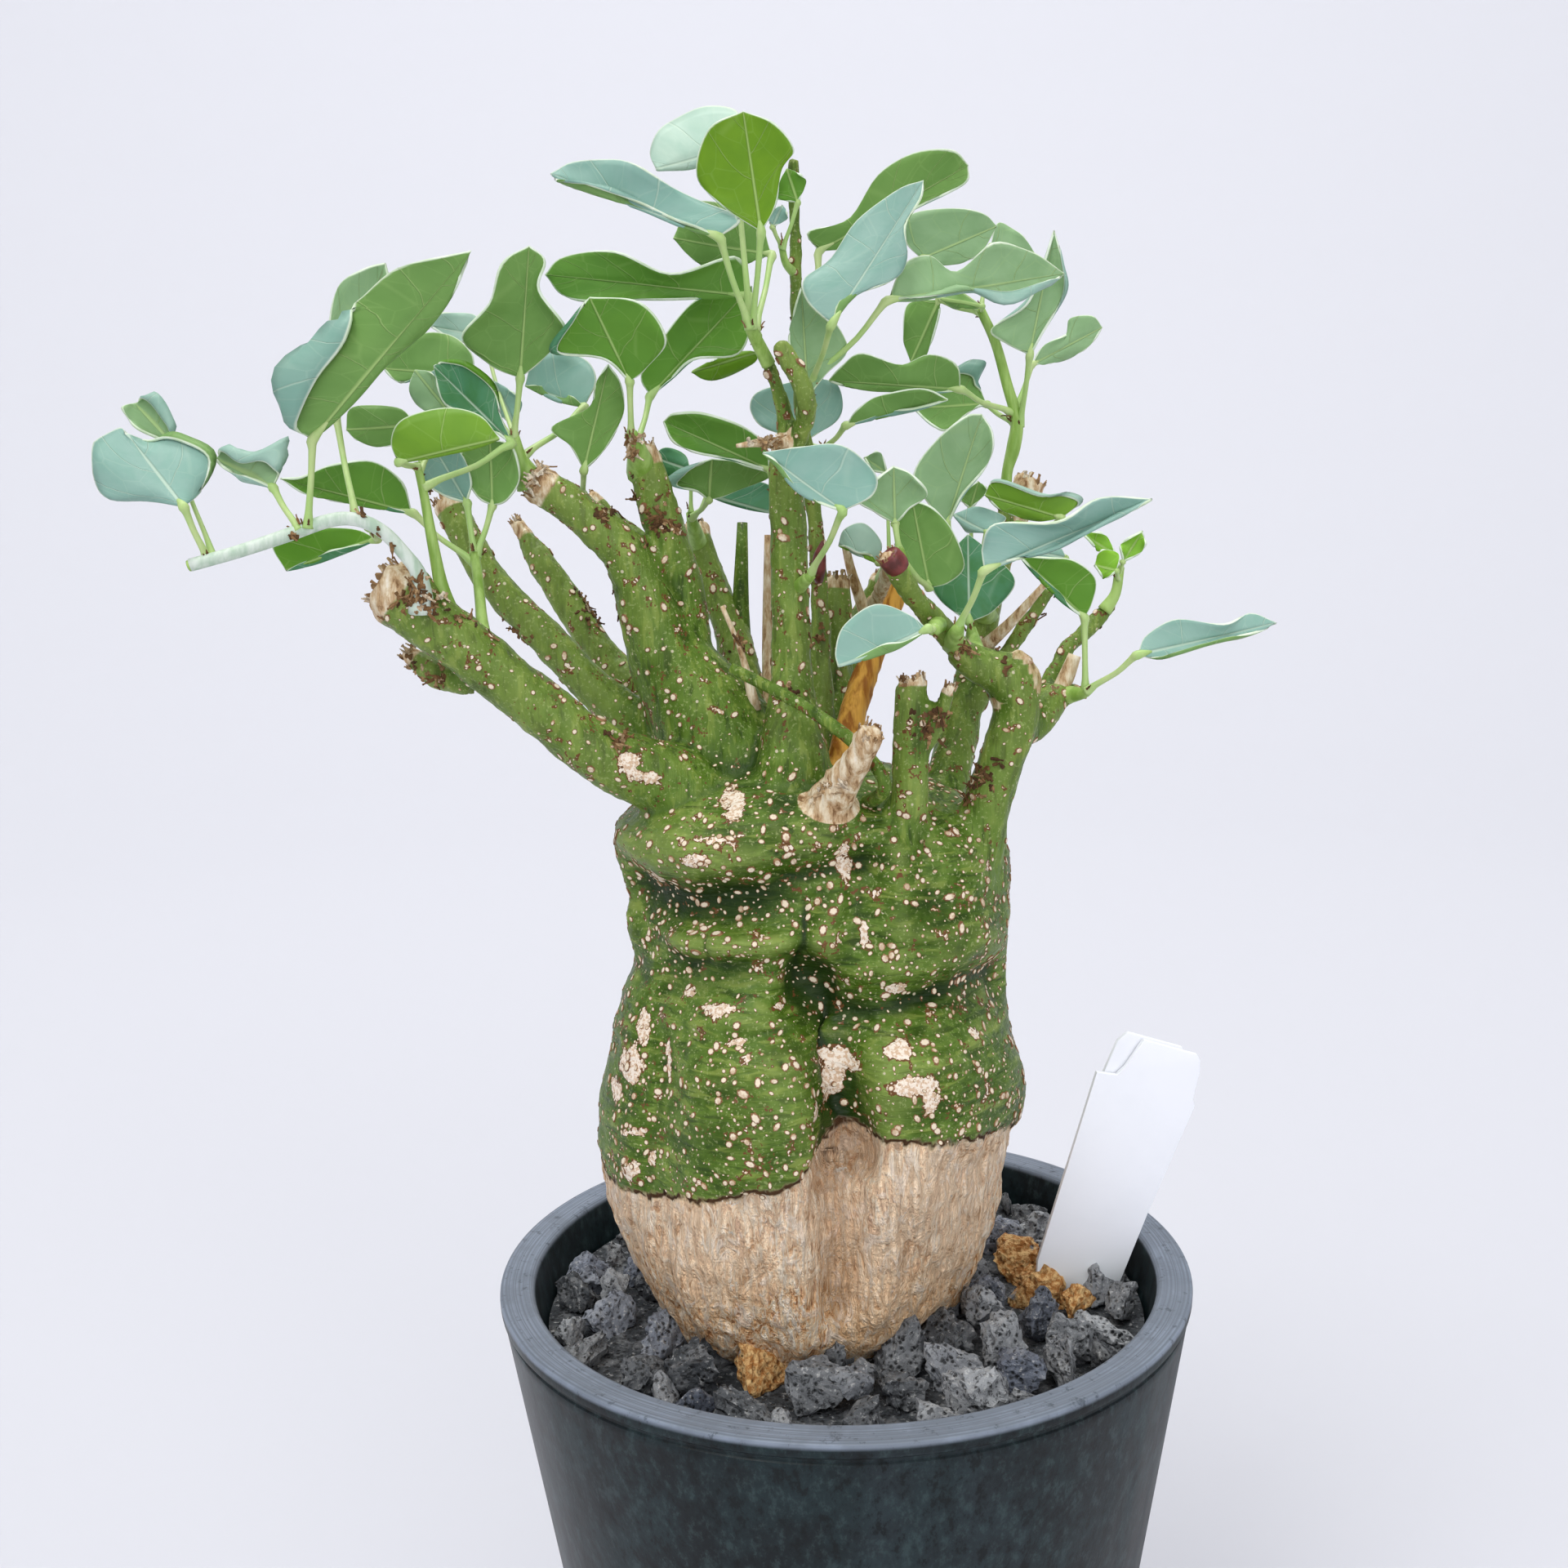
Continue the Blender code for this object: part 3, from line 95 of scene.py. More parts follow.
# Camera of the photograph
LENS_PIXELS = 1920.0
FRAME_MIDDLE = 960.0
CAMERA_PLACE = (-7.25, -229.4, 201.1)
CAMERA_PITCH = math.radians(8.0)
CAMERA_ROLL = math.radians(1.49)

# Pot
POT_HEIGHT = 95.0
RIM_RADIUS = (POT_BOX[1].y - POT_BOX[0].y) / 2 / MM
RIM_WIDTH = 5.1
FOOT_RADIUS = 36.5
WALL = 2.4
FLOOR = 3.0
DRAIN_RADIUS = 3.5
DRAIN_RING = 21.0
DRAIN_COUNT = 5

# Trunk
TRUNK_DEPTH = -2.0
ROOT_BOTTOM = -34.0
# (pixel y, left silhouette x, right silhouette x, half depth in mm)
TRUNK_ROWS = (
    (1622, 838, 1122, 20.0),
    (1580, 806, 1172, 23.0),
    (1530, 779, 1200, 25.8),
    (1470, 752, 1220, 27.4),
    (1410, 738, 1228, 28.2),
    (1372, 735, 1234, 28.2),
    (1335, 737, 1249, 27.8),
    (1295, 745, 1247, 26.8),
    (1250, 753, 1235, 25.2),
    (1205, 766, 1230, 23.6),
    (1165, 778, 1230, 22.0),
    (1125, 768, 1234, 22.6),
    (1085, 769, 1235, 21.4),
    (1045, 756, 1235, 22.0),
    (1005, 756, 1216, 21.4),
    (970, 800, 1175, 18.0),
    (935, 880, 1085, 11.0),
)
# Swellings and furrows of the trunk: angle from the front, pixel y, angle spread, row spread, height
TRUNK_RELIEF = (
    ("cleft", 8.0, 1330, 5.5, 125, -0.17),
    ("cleft foot", 11.0, 1480, 9.0, 70, -0.05),
    ("left lobe", -17.0, 1330, 17.0, 105, 0.06),
    ("right lobe", 32.0, 1320, 17.0, 75, 0.07),
    ("left edge furrow", -40.0, 1330, 7.0, 120, -0.05),
    ("left foot lobe", -22.0, 1520, 20.0, 60, 0.06),
    ("right foot cut", 46.0, 1640, 24.0, 90, -0.16),
    ("upper crease", -3.0, 1165, 7.0, 40, -0.07),
    ("right shoulder", 40.0, 1150, 18.0, 60, 0.05),
    ("right edge bump", 80.0, 1335, 16.0, 30, 0.015),
    ("back furrow", 176.0, 1330, 9.0, 150, -0.10),
    ("back left lobe", -135.0, 1330, 24.0, 110, 0.05),
    ("back right lobe", 130.0, 1340, 26.0, 100, 0.05),
)

# Branches: (pixel x, pixel y, depth, width in pixels), from the trunk outwards
BRANCHES = {
    "left_limb": ((940, 1030, -4, 110), (830, 962, -9, 96), (740, 925, -13, 78), (665, 868, -15, 70),
                  (590, 808, -17, 70), (530, 762, -18, 74), (490, 728, -18, 84), (468, 712, -18, 66)),
    "left_limb_spur": ((580, 838, -14, 34), (530, 822, -12, 36), (497, 796, -11, 24)),
    "second_limb": ((900, 980, 2, 80), (783, 887, 4, 58), (725, 840, 5, 48), (668, 780, 6, 46),
                    (622, 735, 7, 42), (588, 690, 8, 42), (545, 611, 10, 36)),
    "third_limb": ((880, 930, 10, 60), (756, 822, 18, 44), (706, 753, 21, 40), (668, 696, 23, 36),
                   (630, 636, 25, 16)),
    "fourth_limb": ((930, 990, -2, 150), (866, 880, 0, 142), (815, 800, 0, 96), (792, 742, -1, 76),
                    (772, 688, -2, 62), (742, 655, -3, 54), (698, 618, -4, 48), (652, 588, -5, 46)),
    "fourth_limb_fork": ((840, 800, 1, 66), (838, 725, 2, 54), (824, 680, 1, 52), (799, 598, 0, 48),
                         (785, 545, 0, 38)),
    "spur_between": ((830, 700, 4, 40), (760, 655, 8, 40), (716, 612, 9, 34)),
    "rear_limb": ((920, 900, 10, 64), (898, 780, 18, 44), (870, 710, 21, 40), (850, 640, 22, 26)),
    "slim_stub": ((925, 900, 12, 30), (908, 780, 18, 24), (909, 640, 20, 13)),
    "dead_pin": ((945, 900, 8, 20), (941, 800, 13, 16), (940, 655, 14, 8)),
    "centre_limb": ((975, 1030, -10, 120), (972, 930, -10, 92), (970, 850, -8, 58), (969, 760, -7, 48),
                    (963, 600, -7, 44), (962, 545, -7, 38)),
    "centre_twig": ((963, 570, -7, 30), (962, 515, -7, 22), (950, 470, -8, 20), (937, 436, -9, 18)),
    "centre_loop": ((978, 545, -8, 20), (988, 510, -10, 24), (984, 478, -12, 28), (970, 448, -12, 27),
                    (953, 420, -12, 22)),
    "hooked_pin": ((968, 545, -7, 20), (935, 542, -12, 12), (902, 546, -14, 5)),
    "flower_stem": ((1006, 990, 3, 60), (1006, 880, 7, 34), (1004, 760, 9, 26), (1001, 680, 9, 22), (992, 580, 9, 20),
                    (978, 470, 9, 18), (974, 330, 9, 17), (972, 192, 9, 14)),
    "rear_right_limb": ((1010, 980, 6, 80), (1020, 860, 14, 56), (1022, 780, 16, 44), (1024, 705, 17, 36)),
    "third_right_limb": ((1000, 950, 12, 64), (1032, 820, 22, 46), (1062, 755, 25, 40), (1086, 704, 26, 32)),
    "forked_twig": ((1066, 770, 24, 18), (1044, 705, 20, 12), (1034, 662, 18, 9)),
    "curled_cap": ((1064, 764, 22, 24), (1090, 700, 10, 22), (1118, 668, 3, 34), (1126, 645, 1, 30)),
    "stump": ((1000, 1014, -15, 66), (1024, 970, -20.5, 52), (1049, 932, -25, 38), (1068, 895, -28, 36)),
    "front_stub": ((1094, 1120, -6, 60), (1102, 1060, -15, 60), (1112, 985, -18, 50), (1117, 850, -19, 42),
                   (1117, 830, -19, 36)),
    "front_stub_side": ((1108, 940, -18, 30), (1140, 900, -20, 26), (1165, 838, -21, 16)),
    "elbow_limb": ((1140, 1150, -4, 80), (1186, 1080, -9, 72), (1205, 1000, -11, 62), (1228, 925, -12, 58),
                   (1244, 870, -12, 58), (1232, 830, -12, 58), (1196, 812, -12, 46), (1168, 796, -13, 34)),
    "elbow_shoot": ((1185, 807, -13, 34), (1157, 773, -15, 29), (1120, 732, -19, 28), (1087, 680, -23, 28)),
    "elbow_peel": ((1236, 860, -12, 50), (1262, 832, -12, 34), (1243, 797, -13, 18)),
    "outer_node": ((1236, 900, -11, 46), (1268, 880, -8, 50), (1296, 852, -6, 38), (1326, 848, -6, 16)),
    "outer_node_pin": ((1292, 858, -6, 22), (1306, 828, -6, 20), (1316, 802, -6, 16)),
    "outer_twig": ((1264, 884, -6, 26), (1300, 805, 0, 22), (1335, 768, 2, 20), (1362, 738, 3, 18)),
    "back_limb": ((1110, 1080, 0, 100), (1152, 980, 10, 62), (1178, 880, 16, 48), (1204, 770, 20, 38),
                  (1222, 690, 22, 30), (1230, 620, 22, 18), (1232, 588, 22, 14)),
    "inner_twig": ((1176, 890, 15, 30), (1240, 790, 15, 20), (1285, 722, 16, 18)),
    "tan_strip": ((1196, 800, 18, 20), (1235, 765, 13, 14), (1278, 717, 11, 8)),
    "back_knob": ((1218, 710, 22, 30), (1240, 640, 25, 34), (1262, 588, 27, 40)),
    "amber_stem": ((1030, 950, -4, 44), (1046, 868, 0, 36), (1072, 795, 2, 30), (1095, 734, 3, 26),
                   (1108, 692, 3, 20)),
    "crossing_stem": ((1050, 990, -14, 20), (1084, 963, -23, 17), (1049, 912, -21, 17), (976, 860, -18, 16),
                      (895, 818, -16, 15)),
    "thin_twig": ((925, 870, -4, 16), (908, 800, -4, 8), (884, 742, -4, 6)),
}
# Branches too thin to be part of the remeshed body
FINE_BRANCHES = ("dead_pin", "hooked_pin", "thin_twig", "slim_stub", "forked_twig", "tan_strip", "crossing_stem",
                 "outer_node_pin")
# A dark red node and a purple bud: the same four figures
RED_PARTS = {
    "red_node": ((1100, 696, -22, 29), (1096, 690, -22.4, 32), (1090, 683, -22.8, 31), (1087, 680, -23, 27)),
    "purple_bud": ((1003, 712, 6, 10), (1002, 698, 5, 18), (1004, 680, 5, 15), (1006, 668, 5, 7), (1007, 662, 5, 2)),
}
# How dry each dead branch is: 1 is bleached tan wood
DRY_BRANCHES = {"dead_pin": 1.0, "hooked_pin": 1.0, "thin_twig": 1.0, "slim_stub": 0.25, "forked_twig": 1.0,
                "tan_strip": 1.0, "curled_cap": 0.8, "stump": 1.0, "elbow_peel": 0.55, "outer_node_pin": 1.0,
                "centre_loop": 0.1, "back_knob": 0.6, "left_limb_spur": 0.3}
# Ends that were cut: how far the dry wood reaches down, in mm
CUT_ENDS = {"left_limb": 5.5, "second_limb": 3.0, "third_limb": 5.0, "fourth_limb": 4.0, "fourth_limb_fork": 4.5,
            "spur_between": 3.0, "rear_limb": 3.5, "centre_limb": 1.5, "rear_right_limb": 3.0,
            "third_right_limb": 3.0, "front_stub": 1.2, "front_stub_side": 2.0, "left_limb_spur": 3.0,
            "elbow_shoot": 1.6, "back_knob": 4.0, "outer_node": 2.0, "curled_cap": 3.0, "stump": 2.0}

# Grooves pressed into the trunk: width and depth in mm, how dark the painted shade along each groove is, then pixels
# along the groove
GROOVES = (
    (4.0, 3.4, 0.2, (1006, 1225), (1017, 1262), (1025, 1313), (1033, 1367), (1038, 1420)),
    (1.1, 4.4, 1.0, (1006, 1225), (1017, 1262), (1025, 1313), (1033, 1367), (1038, 1420)),
    (2.6, 1.5, 0.0, (1038, 1420), (1044, 1470), (1046, 1530), (1030, 1610)),
    (0.9, 1.1, 1.0, (987, 1116), (984, 1150), (980, 1190), (984, 1222)),
    (0.8, 0.5, 0.8, (835, 1188), (855, 1186), (863, 1170), (863, 1146)),
    (0.9, 0.5, 0.8, (1068, 1194), (1092, 1204), (1118, 1222), (1160, 1214)),
    (0.6, 0.5, 0.8, (960, 1012), (990, 1040), (1015, 1046), (1040, 1034)),
    (0.6, 0.5, 0.8, (940, 1037), (965, 1055), (1006, 1060), (1036, 1046)),
    (0.6, 0.4, 0.7, (985, 1000), (1004, 1022), (1024, 1026), (1044, 1016)),
    (0.7, 0.4, 0.6, (900, 1060), (950, 1074), (1000, 1074), (1036, 1064)),
    (2.4, 1.0, 0.3, (812, 1210), (800, 1245), (795, 1290), (782, 1340)),
    (2.0, 1.2, 0.6, (813, 1273), (812, 1327), (803, 1370), (793, 1420), (790, 1450)),
    (2.4, 1.2, 0.5, (1060, 1060), (1056, 1110), (1046, 1150), (1030, 1190), (1000, 1222)),
    (1.6, 0.9, 0.4, (1128, 1020), (1136, 1080), (1138, 1110)),
    (3.2, 1.2, 0.0, (905, 1495), (912, 1560), (925, 1620)),
    (2.4, 0.8, 0.0, (1180, 1420), (1176, 1500), (1160, 1560)),
)
# Shelves of the trunk, below which the skin steps back: depth and tail in mm, how dark the painted shade just under the
# edge is, then pixels left to right
SHELVES = (
    (3.6, 5.5, 0.7, (752, 1068), (800, 1094), (833, 1102), (900, 1096), (967, 1078), (1020, 1058), (1056, 1042)),
    (1.7, 3.6, 0.6, (790, 1146), (826, 1172), (862, 1182), (920, 1180), (973, 1170)),
    (3.0, 4.6, 0.7, (984, 1198), (1031, 1224), (1065, 1230), (1106, 1226), (1167, 1206), (1240, 1178)),
    (1.2, 3.4, 0.4, (862, 1012), (900, 1024), (960, 1032)),
    (1.0, 3.0, 0.4, (1062, 1150), (1110, 1160), (1170, 1150)),
    (0.9, 2.6, 0.4, (850, 1262), (905, 1270), (960, 1262)),
)
# Swellings of the trunk: pixel, half width, half height in pixels, height in mm
SWELLINGS = (
    (905, 1320, 85, 100, 2.8), (1120, 1312, 80, 56, 2.8), (1228, 1320, 24, 34, 0.9), (870, 1040, 90, 34, 2.3),
    (880, 1150, 90, 18, 1.3), (1150, 1150, 70, 46, 2.0), (1000, 1010, 50, 34, 1.0), (957, 1304, 17, 9, 0.5),
    (885, 1330, 25, 7, 0.5), (1180, 1275, 60, 8, 0.6), (1190, 1302, 60, 8, 0.5), (900, 1540, 70, 60, 1.2),
    (1120, 1480, 60, 60, 1.0), (1010, 1120, 30, 22, 0.8), (1022, 1210, 22, 18, 0.6), (1080, 1350, 30, 40, 0.6),
    (830, 1160, 26, 20, 0.5), (905, 1163, 30, 16, 0.5), (772, 1310, 16, 60, 0.8), (948, 1165, 16, 30, 0.4),
    (1098, 1110, 16, 80, 0.7), (1185, 1080, 22, 70, 0.7), (845, 1000, 30, 40, 0.6),
)
# Patches of deep green on the bark, painted shade under the collar and the lobes and partly the bark's own deeper
# green: pixel, half width, half height in pixels, how dark
SHADE_AND_DEEP_GREEN = (
    (890, 1096, 120, 28, 0.75), (1140, 1120, 64, 60, 0.55), (880, 1395, 110, 40, 0.5), (1130, 1352, 90, 26, 0.5),
    (1010, 1180, 46, 54, 0.5), (900, 1035, 70, 22, 0.5), (1010, 1095, 26, 60, 0.45),
)
# Flaky cream patches of the bark: pixel, half width and half height in pixels
PATCHES = (
    (768, 935, 14, 12), (790, 952, 22, 8), (884, 1238, 20, 7), (908, 1277, 13, 5), (1096, 1285, 15, 14),
    (1108, 1332, 24, 12), (1132, 1346, 12, 20), (1006, 1362, 7, 14), (920, 1297, 6, 6), (1034, 1302, 14, 16),
    (1028, 1330, 6, 22), (775, 1305, 12, 20), (788, 1258, 6, 24), (776, 1386, 12, 6), (796, 1416, 6, 12),
    (897, 985, 14, 24), (858, 1053, 14, 7), (796, 1080, 10, 8), (1100, 1212, 16, 5), (1254, 1290, 8, 22),
    (770, 1432, 10, 10), (882, 1031, 22, 4), (1190, 1265, 6, 6), (818, 1296, 4, 22), (1165, 1020, 5, 5),
    (1037, 1060, 12, 30), (955, 1232, 5, 7), (842, 1214, 9, 5), (1058, 1140, 5, 22), (757, 1330, 6, 16),
)
# Dry scales at nodes: pixel, spread in pixels, how many, and tint from 0, dark brown, to 1, bleached
SCALE_SPOTS = (
    (505, 735, 16, 26, 0.45), (530, 760, 18, 14, 0.3), (560, 742, 8, 5, 0.7), (500, 810, 14, 10, 0.35),
    (518, 832, 12, 8, 0.3), (615, 770, 10, 10, 0.2), (590, 765, 8, 6, 0.25), (455, 628, 3, 2, 0.25),
    (368, 652, 3, 3, 0.2), (470, 660, 3, 1, 0.25), (489, 672, 3, 1, 0.2), (640, 575, 12, 14, 0.8),
    (665, 560, 10, 8, 0.7), (775, 555, 10, 16, 0.65), (765, 612, 12, 14, 0.25), (755, 645, 8, 8, 0.2),
    (735, 735, 14, 18, 0.2), (715, 725, 10, 10, 0.25), (810, 665, 14, 16, 0.2), (830, 670, 8, 8, 0.3),
    (780, 905, 10, 8, 0.3), (788, 920, 8, 6, 0.5), (940, 535, 12, 14, 0.75), (955, 548, 8, 8, 0.5),
    (965, 820, 8, 6, 0.2), (903, 780, 10, 8, 0.35), (1188, 975, 16, 20, 0.22), (1170, 968, 8, 8, 0.3),
    (1126, 905, 10, 14, 0.18), (1145, 890, 8, 8, 0.25), (1135, 1050, 5, 10, 0.35), (1137, 1068, 4, 6, 0.3),
    (1110, 800, 10, 10, 0.3), (1190, 800, 10, 12, 0.3), (1290, 760, 12, 14, 0.35), (1310, 735, 10, 8, 0.3),
    (1000, 770, 8, 6, 0.3), (872, 560, 6, 4, 0.25), (918, 470, 5, 4, 0.3), (1000, 430, 4, 4, 0.3),
    (1036, 1010, 10, 8, 0.7), (1005, 975, 12, 12, 0.8), (768, 1290, 10, 14, 0.7), (762, 1340, 8, 10, 0.6),
    (778, 1400, 12, 10, 0.55),
)
# Where the green bark ends and the bare cork begins, in pixels
CORK_LINE = ((738, 1428), (752, 1440), (800, 1464), (860, 1462), (905, 1460), (960, 1446), (1028, 1422),
             (1042, 1394), (1100, 1394), (1150, 1390), (1200, 1382), (1238, 1372))

# Plant tags: outlines in mm across and up from where they enter the grit, pointed below it
TAG_THICKNESS = 0.9
TAG_FOOT = (1327, 1573)
TAG_DEPTH = -3.0
TAG_LEAN = math.radians(18.3)
TAG_TURN = math.radians(5.0)
TAG_OUTLINES = {
    "tag_front": ((-3.4, 39.2), (5.2, 39.2), (6.0, 38.5), (6.5, 36.8), (6.9, 32.4), (7.5, 31.5), (5.9, 13.6),
                  (5.2, 2.0), (3.6, -9.0), (-1.5, -18.0), (-5.4, -9.0), (-8.3, 2.0), (-8.8, 32.6), (-5.7, 33.0),
                  (-4.8, 34.6)),
    "tag_rear": ((-6.2, 39.9), (2.6, 39.9), (3.8, 38.6), (4.6, 31.0), (4.2, 2.0), (2.5, -9.0), (-1.5, -17.0),
                 (-4.8, -9.0), (-7.2, 2.0), (-7.8, 33.0), (-7.3, 38.2)),
}

# Stones of the heap against the caudex, and stones of other colours by pixel
WARM_STONES = ((1250, 1578), (1308, 1592), (940, 1682), (1290, 1560), (962, 1650), (1232, 1452))


def photo_point(x, y, depth):
    """The place in mm that the photograph shows at pixel (x, y), at the given depth behind the pot's axis."""
    dx, dy = x - FRAME_MIDDLE, y - FRAME_MIDDLE
    across = (dx * math.cos(CAMERA_ROLL) - dy * math.sin(CAMERA_ROLL)) / LENS_PIXELS
    down = (dx * math.sin(CAMERA_ROLL) + dy * math.cos(CAMERA_ROLL)) / LENS_PIXELS
    forward = math.cos(CAMERA_PITCH) - down * math.sin(CAMERA_PITCH)
    rise = -down * math.cos(CAMERA_PITCH) - math.sin(CAMERA_PITCH)
    reach = (depth - CAMERA_PLACE[1]) / forward
    return Vector((CAMERA_PLACE[0] + reach * across, depth, CAMERA_PLACE[2] + reach * rise))


def pixel_size(depth):
    """Millimetres that one pixel covers at a depth."""
    return (depth - CAMERA_PLACE[1]) / LENS_PIXELS


def photo_pixels(places):
    """Pixels of the photograph where an array of places in mm shows."""
    away = np.asarray(places, float) - np.array(CAMERA_PLACE)
    cos, sin = math.cos(CAMERA_PITCH), math.sin(CAMERA_PITCH)
    reach = away[:, 1] * cos - away[:, 2] * sin
    rise = away[:, 2] * cos + away[:, 1] * sin
    x, y = LENS_PIXELS * away[:, 0] / reach, -LENS_PIXELS * rise / reach
    cos, sin = math.cos(CAMERA_ROLL), math.sin(CAMERA_ROLL)
    return np.stack([FRAME_MIDDLE + x * cos + y * sin, FRAME_MIDDLE - x * sin + y * cos], 1)


def smooth_route(points, steps):
    """Catmull-Rom rows through given ones."""
    rows = [np.array(p, float) for p in points]
    rows = [2 * rows[0] - rows[1]] + rows + [2 * rows[-1] - rows[-2]]
    route = []
    for a, b, c, d in zip(rows, rows[1:], rows[2:], rows[3:]):
        for step in range(steps):
            t = step / steps
            route.append(0.5 * (2 * b + (c - a) * t + (2 * a - 5 * b + 4 * c - d) * t * t
                                + (3 * b - a - 3 * c + d) * t ** 3))
    return route + [rows[-2]]


def smooth_step(low, high, value):
    share = np.clip((np.asarray(value, float) - low) / (high - low), 0.0, 1.0)
    return share * share * (3 - 2 * share)


def segment_distance(points, start, end):
    """Distance of each point from a segment, and the share along it of the nearest place."""
    line = end - start
    share = np.clip(((points - start) @ line) / max(line @ line, 1e-9), 0.0, 1.0)
    return np.linalg.norm(points - start - share[:, None] * line, axis=1), share


# Objects and meshes
def new_object(name, mesh):
    made = bpy.data.objects.new(name, mesh)
    bpy.context.scene.collection.objects.link(made)
    return made


def bmesh_object(name, shape):
    mesh = bpy.data.meshes.new(name)
    shape.to_mesh(mesh)
    shape.free()
    return new_object(name, mesh)


def apply_modifiers(thing):
    graph = bpy.context.evaluated_depsgraph_get()
    mesh = bpy.data.meshes.new_from_object(thing.evaluated_get(graph))
    thing.modifiers.clear()
    thing.data = mesh


def remove(things):
    for thing in things:
        bpy.data.objects.remove(thing)


def join(name, things, materials=()):
    """One mesh object from several. Each piece keeps its own material numbers."""
    shape = bmesh.new()
    for thing in things:
        shape.from_mesh(thing.data)
    remove(things)
    made = bmesh_object(name, shape)
    for look in materials:
        made.data.materials.append(look)
    return made


def vertex_places(mesh):
    places = np.empty(len(mesh.vertices) * 3, np.float32)
    mesh.vertices.foreach_get("co", places)
    return places.reshape(-1, 3).astype(float)


def vertex_normals(mesh):
    normals = np.empty(len(mesh.vertices) * 3, np.float32)
    mesh.vertex_normals.foreach_get("vector", normals)
    return normals.reshape(-1, 3).astype(float)


def move_vertices(mesh, places):
    mesh.vertices.foreach_set("co", places.astype(np.float32).ravel())
    mesh.update()


def set_attribute(mesh, name, values):
    layer = mesh.attributes.get(name) or mesh.attributes.new(name, "FLOAT", "POINT")
    layer.data.foreach_set("value", np.asarray(values, np.float32))


def noise_field(places, scale, seed=0.0):
    """Smooth noise from about -1 to 1 at places in mm; scale is lumps for each mm, along each axis."""
    shift = Vector((seed, seed * 1.7, seed * 0.6))
    return np.array([noise.noise(Vector((x * scale[0], y * scale[1], z * scale[2])) + shift)
                     for x, y, z in places])


def tube(name, points, sides=4, steps=4):
    """A round tube through points of (x, y, z, radius) in mm, closed at both ends."""
    route = smooth_route(points, steps)
    curve = bpy.data.curves.new(name, "CURVE")
    curve.dimensions = "3D"
    curve.bevel_depth = MM
    curve.bevel_resolution = sides
    curve.use_fill_caps = True
    spline = curve.splines.new("POLY")
    spline.points.add(len(route) - 1)
    for point, (x, y, z, radius) in zip(spline.points, route):
        point.co = (x * MM, y * MM, z * MM, 1.0)
        point.radius = max(radius, 0.1)
    carrier = new_object(name + "_curve", curve)
    graph = bpy.context.evaluated_depsgraph_get()
    mesh = bpy.data.meshes.new_from_object(carrier.evaluated_get(graph))
    bpy.data.objects.remove(carrier)
    shape = bmesh.new()
    shape.from_mesh(mesh)
    bmesh.ops.remove_doubles(shape, verts=shape.verts, dist=0.000005)
    bmesh.ops.recalc_face_normals(shape, faces=shape.faces)
    return bmesh_object(name, shape)


def photo_tube(name, route, sides=4, steps=4):
    """A tube along (pixel x, pixel y, depth, width in pixels)."""
    return tube(name, [(*photo_point(x, y, depth), width * pixel_size(depth) / 2)
                       for x, y, depth, width in route], sides, steps)


def turned(name, profile, steps):
    """A closed or axis-to-axis outline of (radius, height) in mm, turned about the pot's axis."""
    shape = bmesh.new()
    verts = [shape.verts.new((r * MM, 0, z * MM)) for r, z in profile]
    for a, b in zip(verts, verts[1:]):
        shape.edges.new((a, b))
    if profile[0][0] > 0 and profile[-1][0] > 0:
        shape.edges.new((verts[-1], verts[0]))
    made = bmesh_object(name, shape)
    screw = made.modifiers.new("turn", "SCREW")
    screw.steps = steps
    screw.render_steps = steps
    screw.use_merge_vertices = True
    screw.merge_threshold = 0.00001
    apply_modifiers(made)
    shape = bmesh.new()
    shape.from_mesh(made.data)
    bmesh.ops.remove_doubles(shape, verts=shape.verts, dist=0.00001)
    bmesh.ops.recalc_face_normals(shape, faces=shape.faces)
    shape.to_mesh(made.data)
    shape.free()
    return made


def dress(thing, slot, *nodes):
    """The piece stays inside the CAD box, rides on the plant's one body and stands for the named nodes, which it hides;
    slot is not used."""
    places = vertex_places(thing.data)
    inside = np.clip(places, np.array(CAD_BOX[0]) + 0.00001, np.array(CAD_BOX[1]) - 0.00001)
    if not np.array_equal(places, inside):
        move_vertices(thing.data, inside)
    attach(thing, "root")
    if nodes:
        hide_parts(*nodes)
    return thing


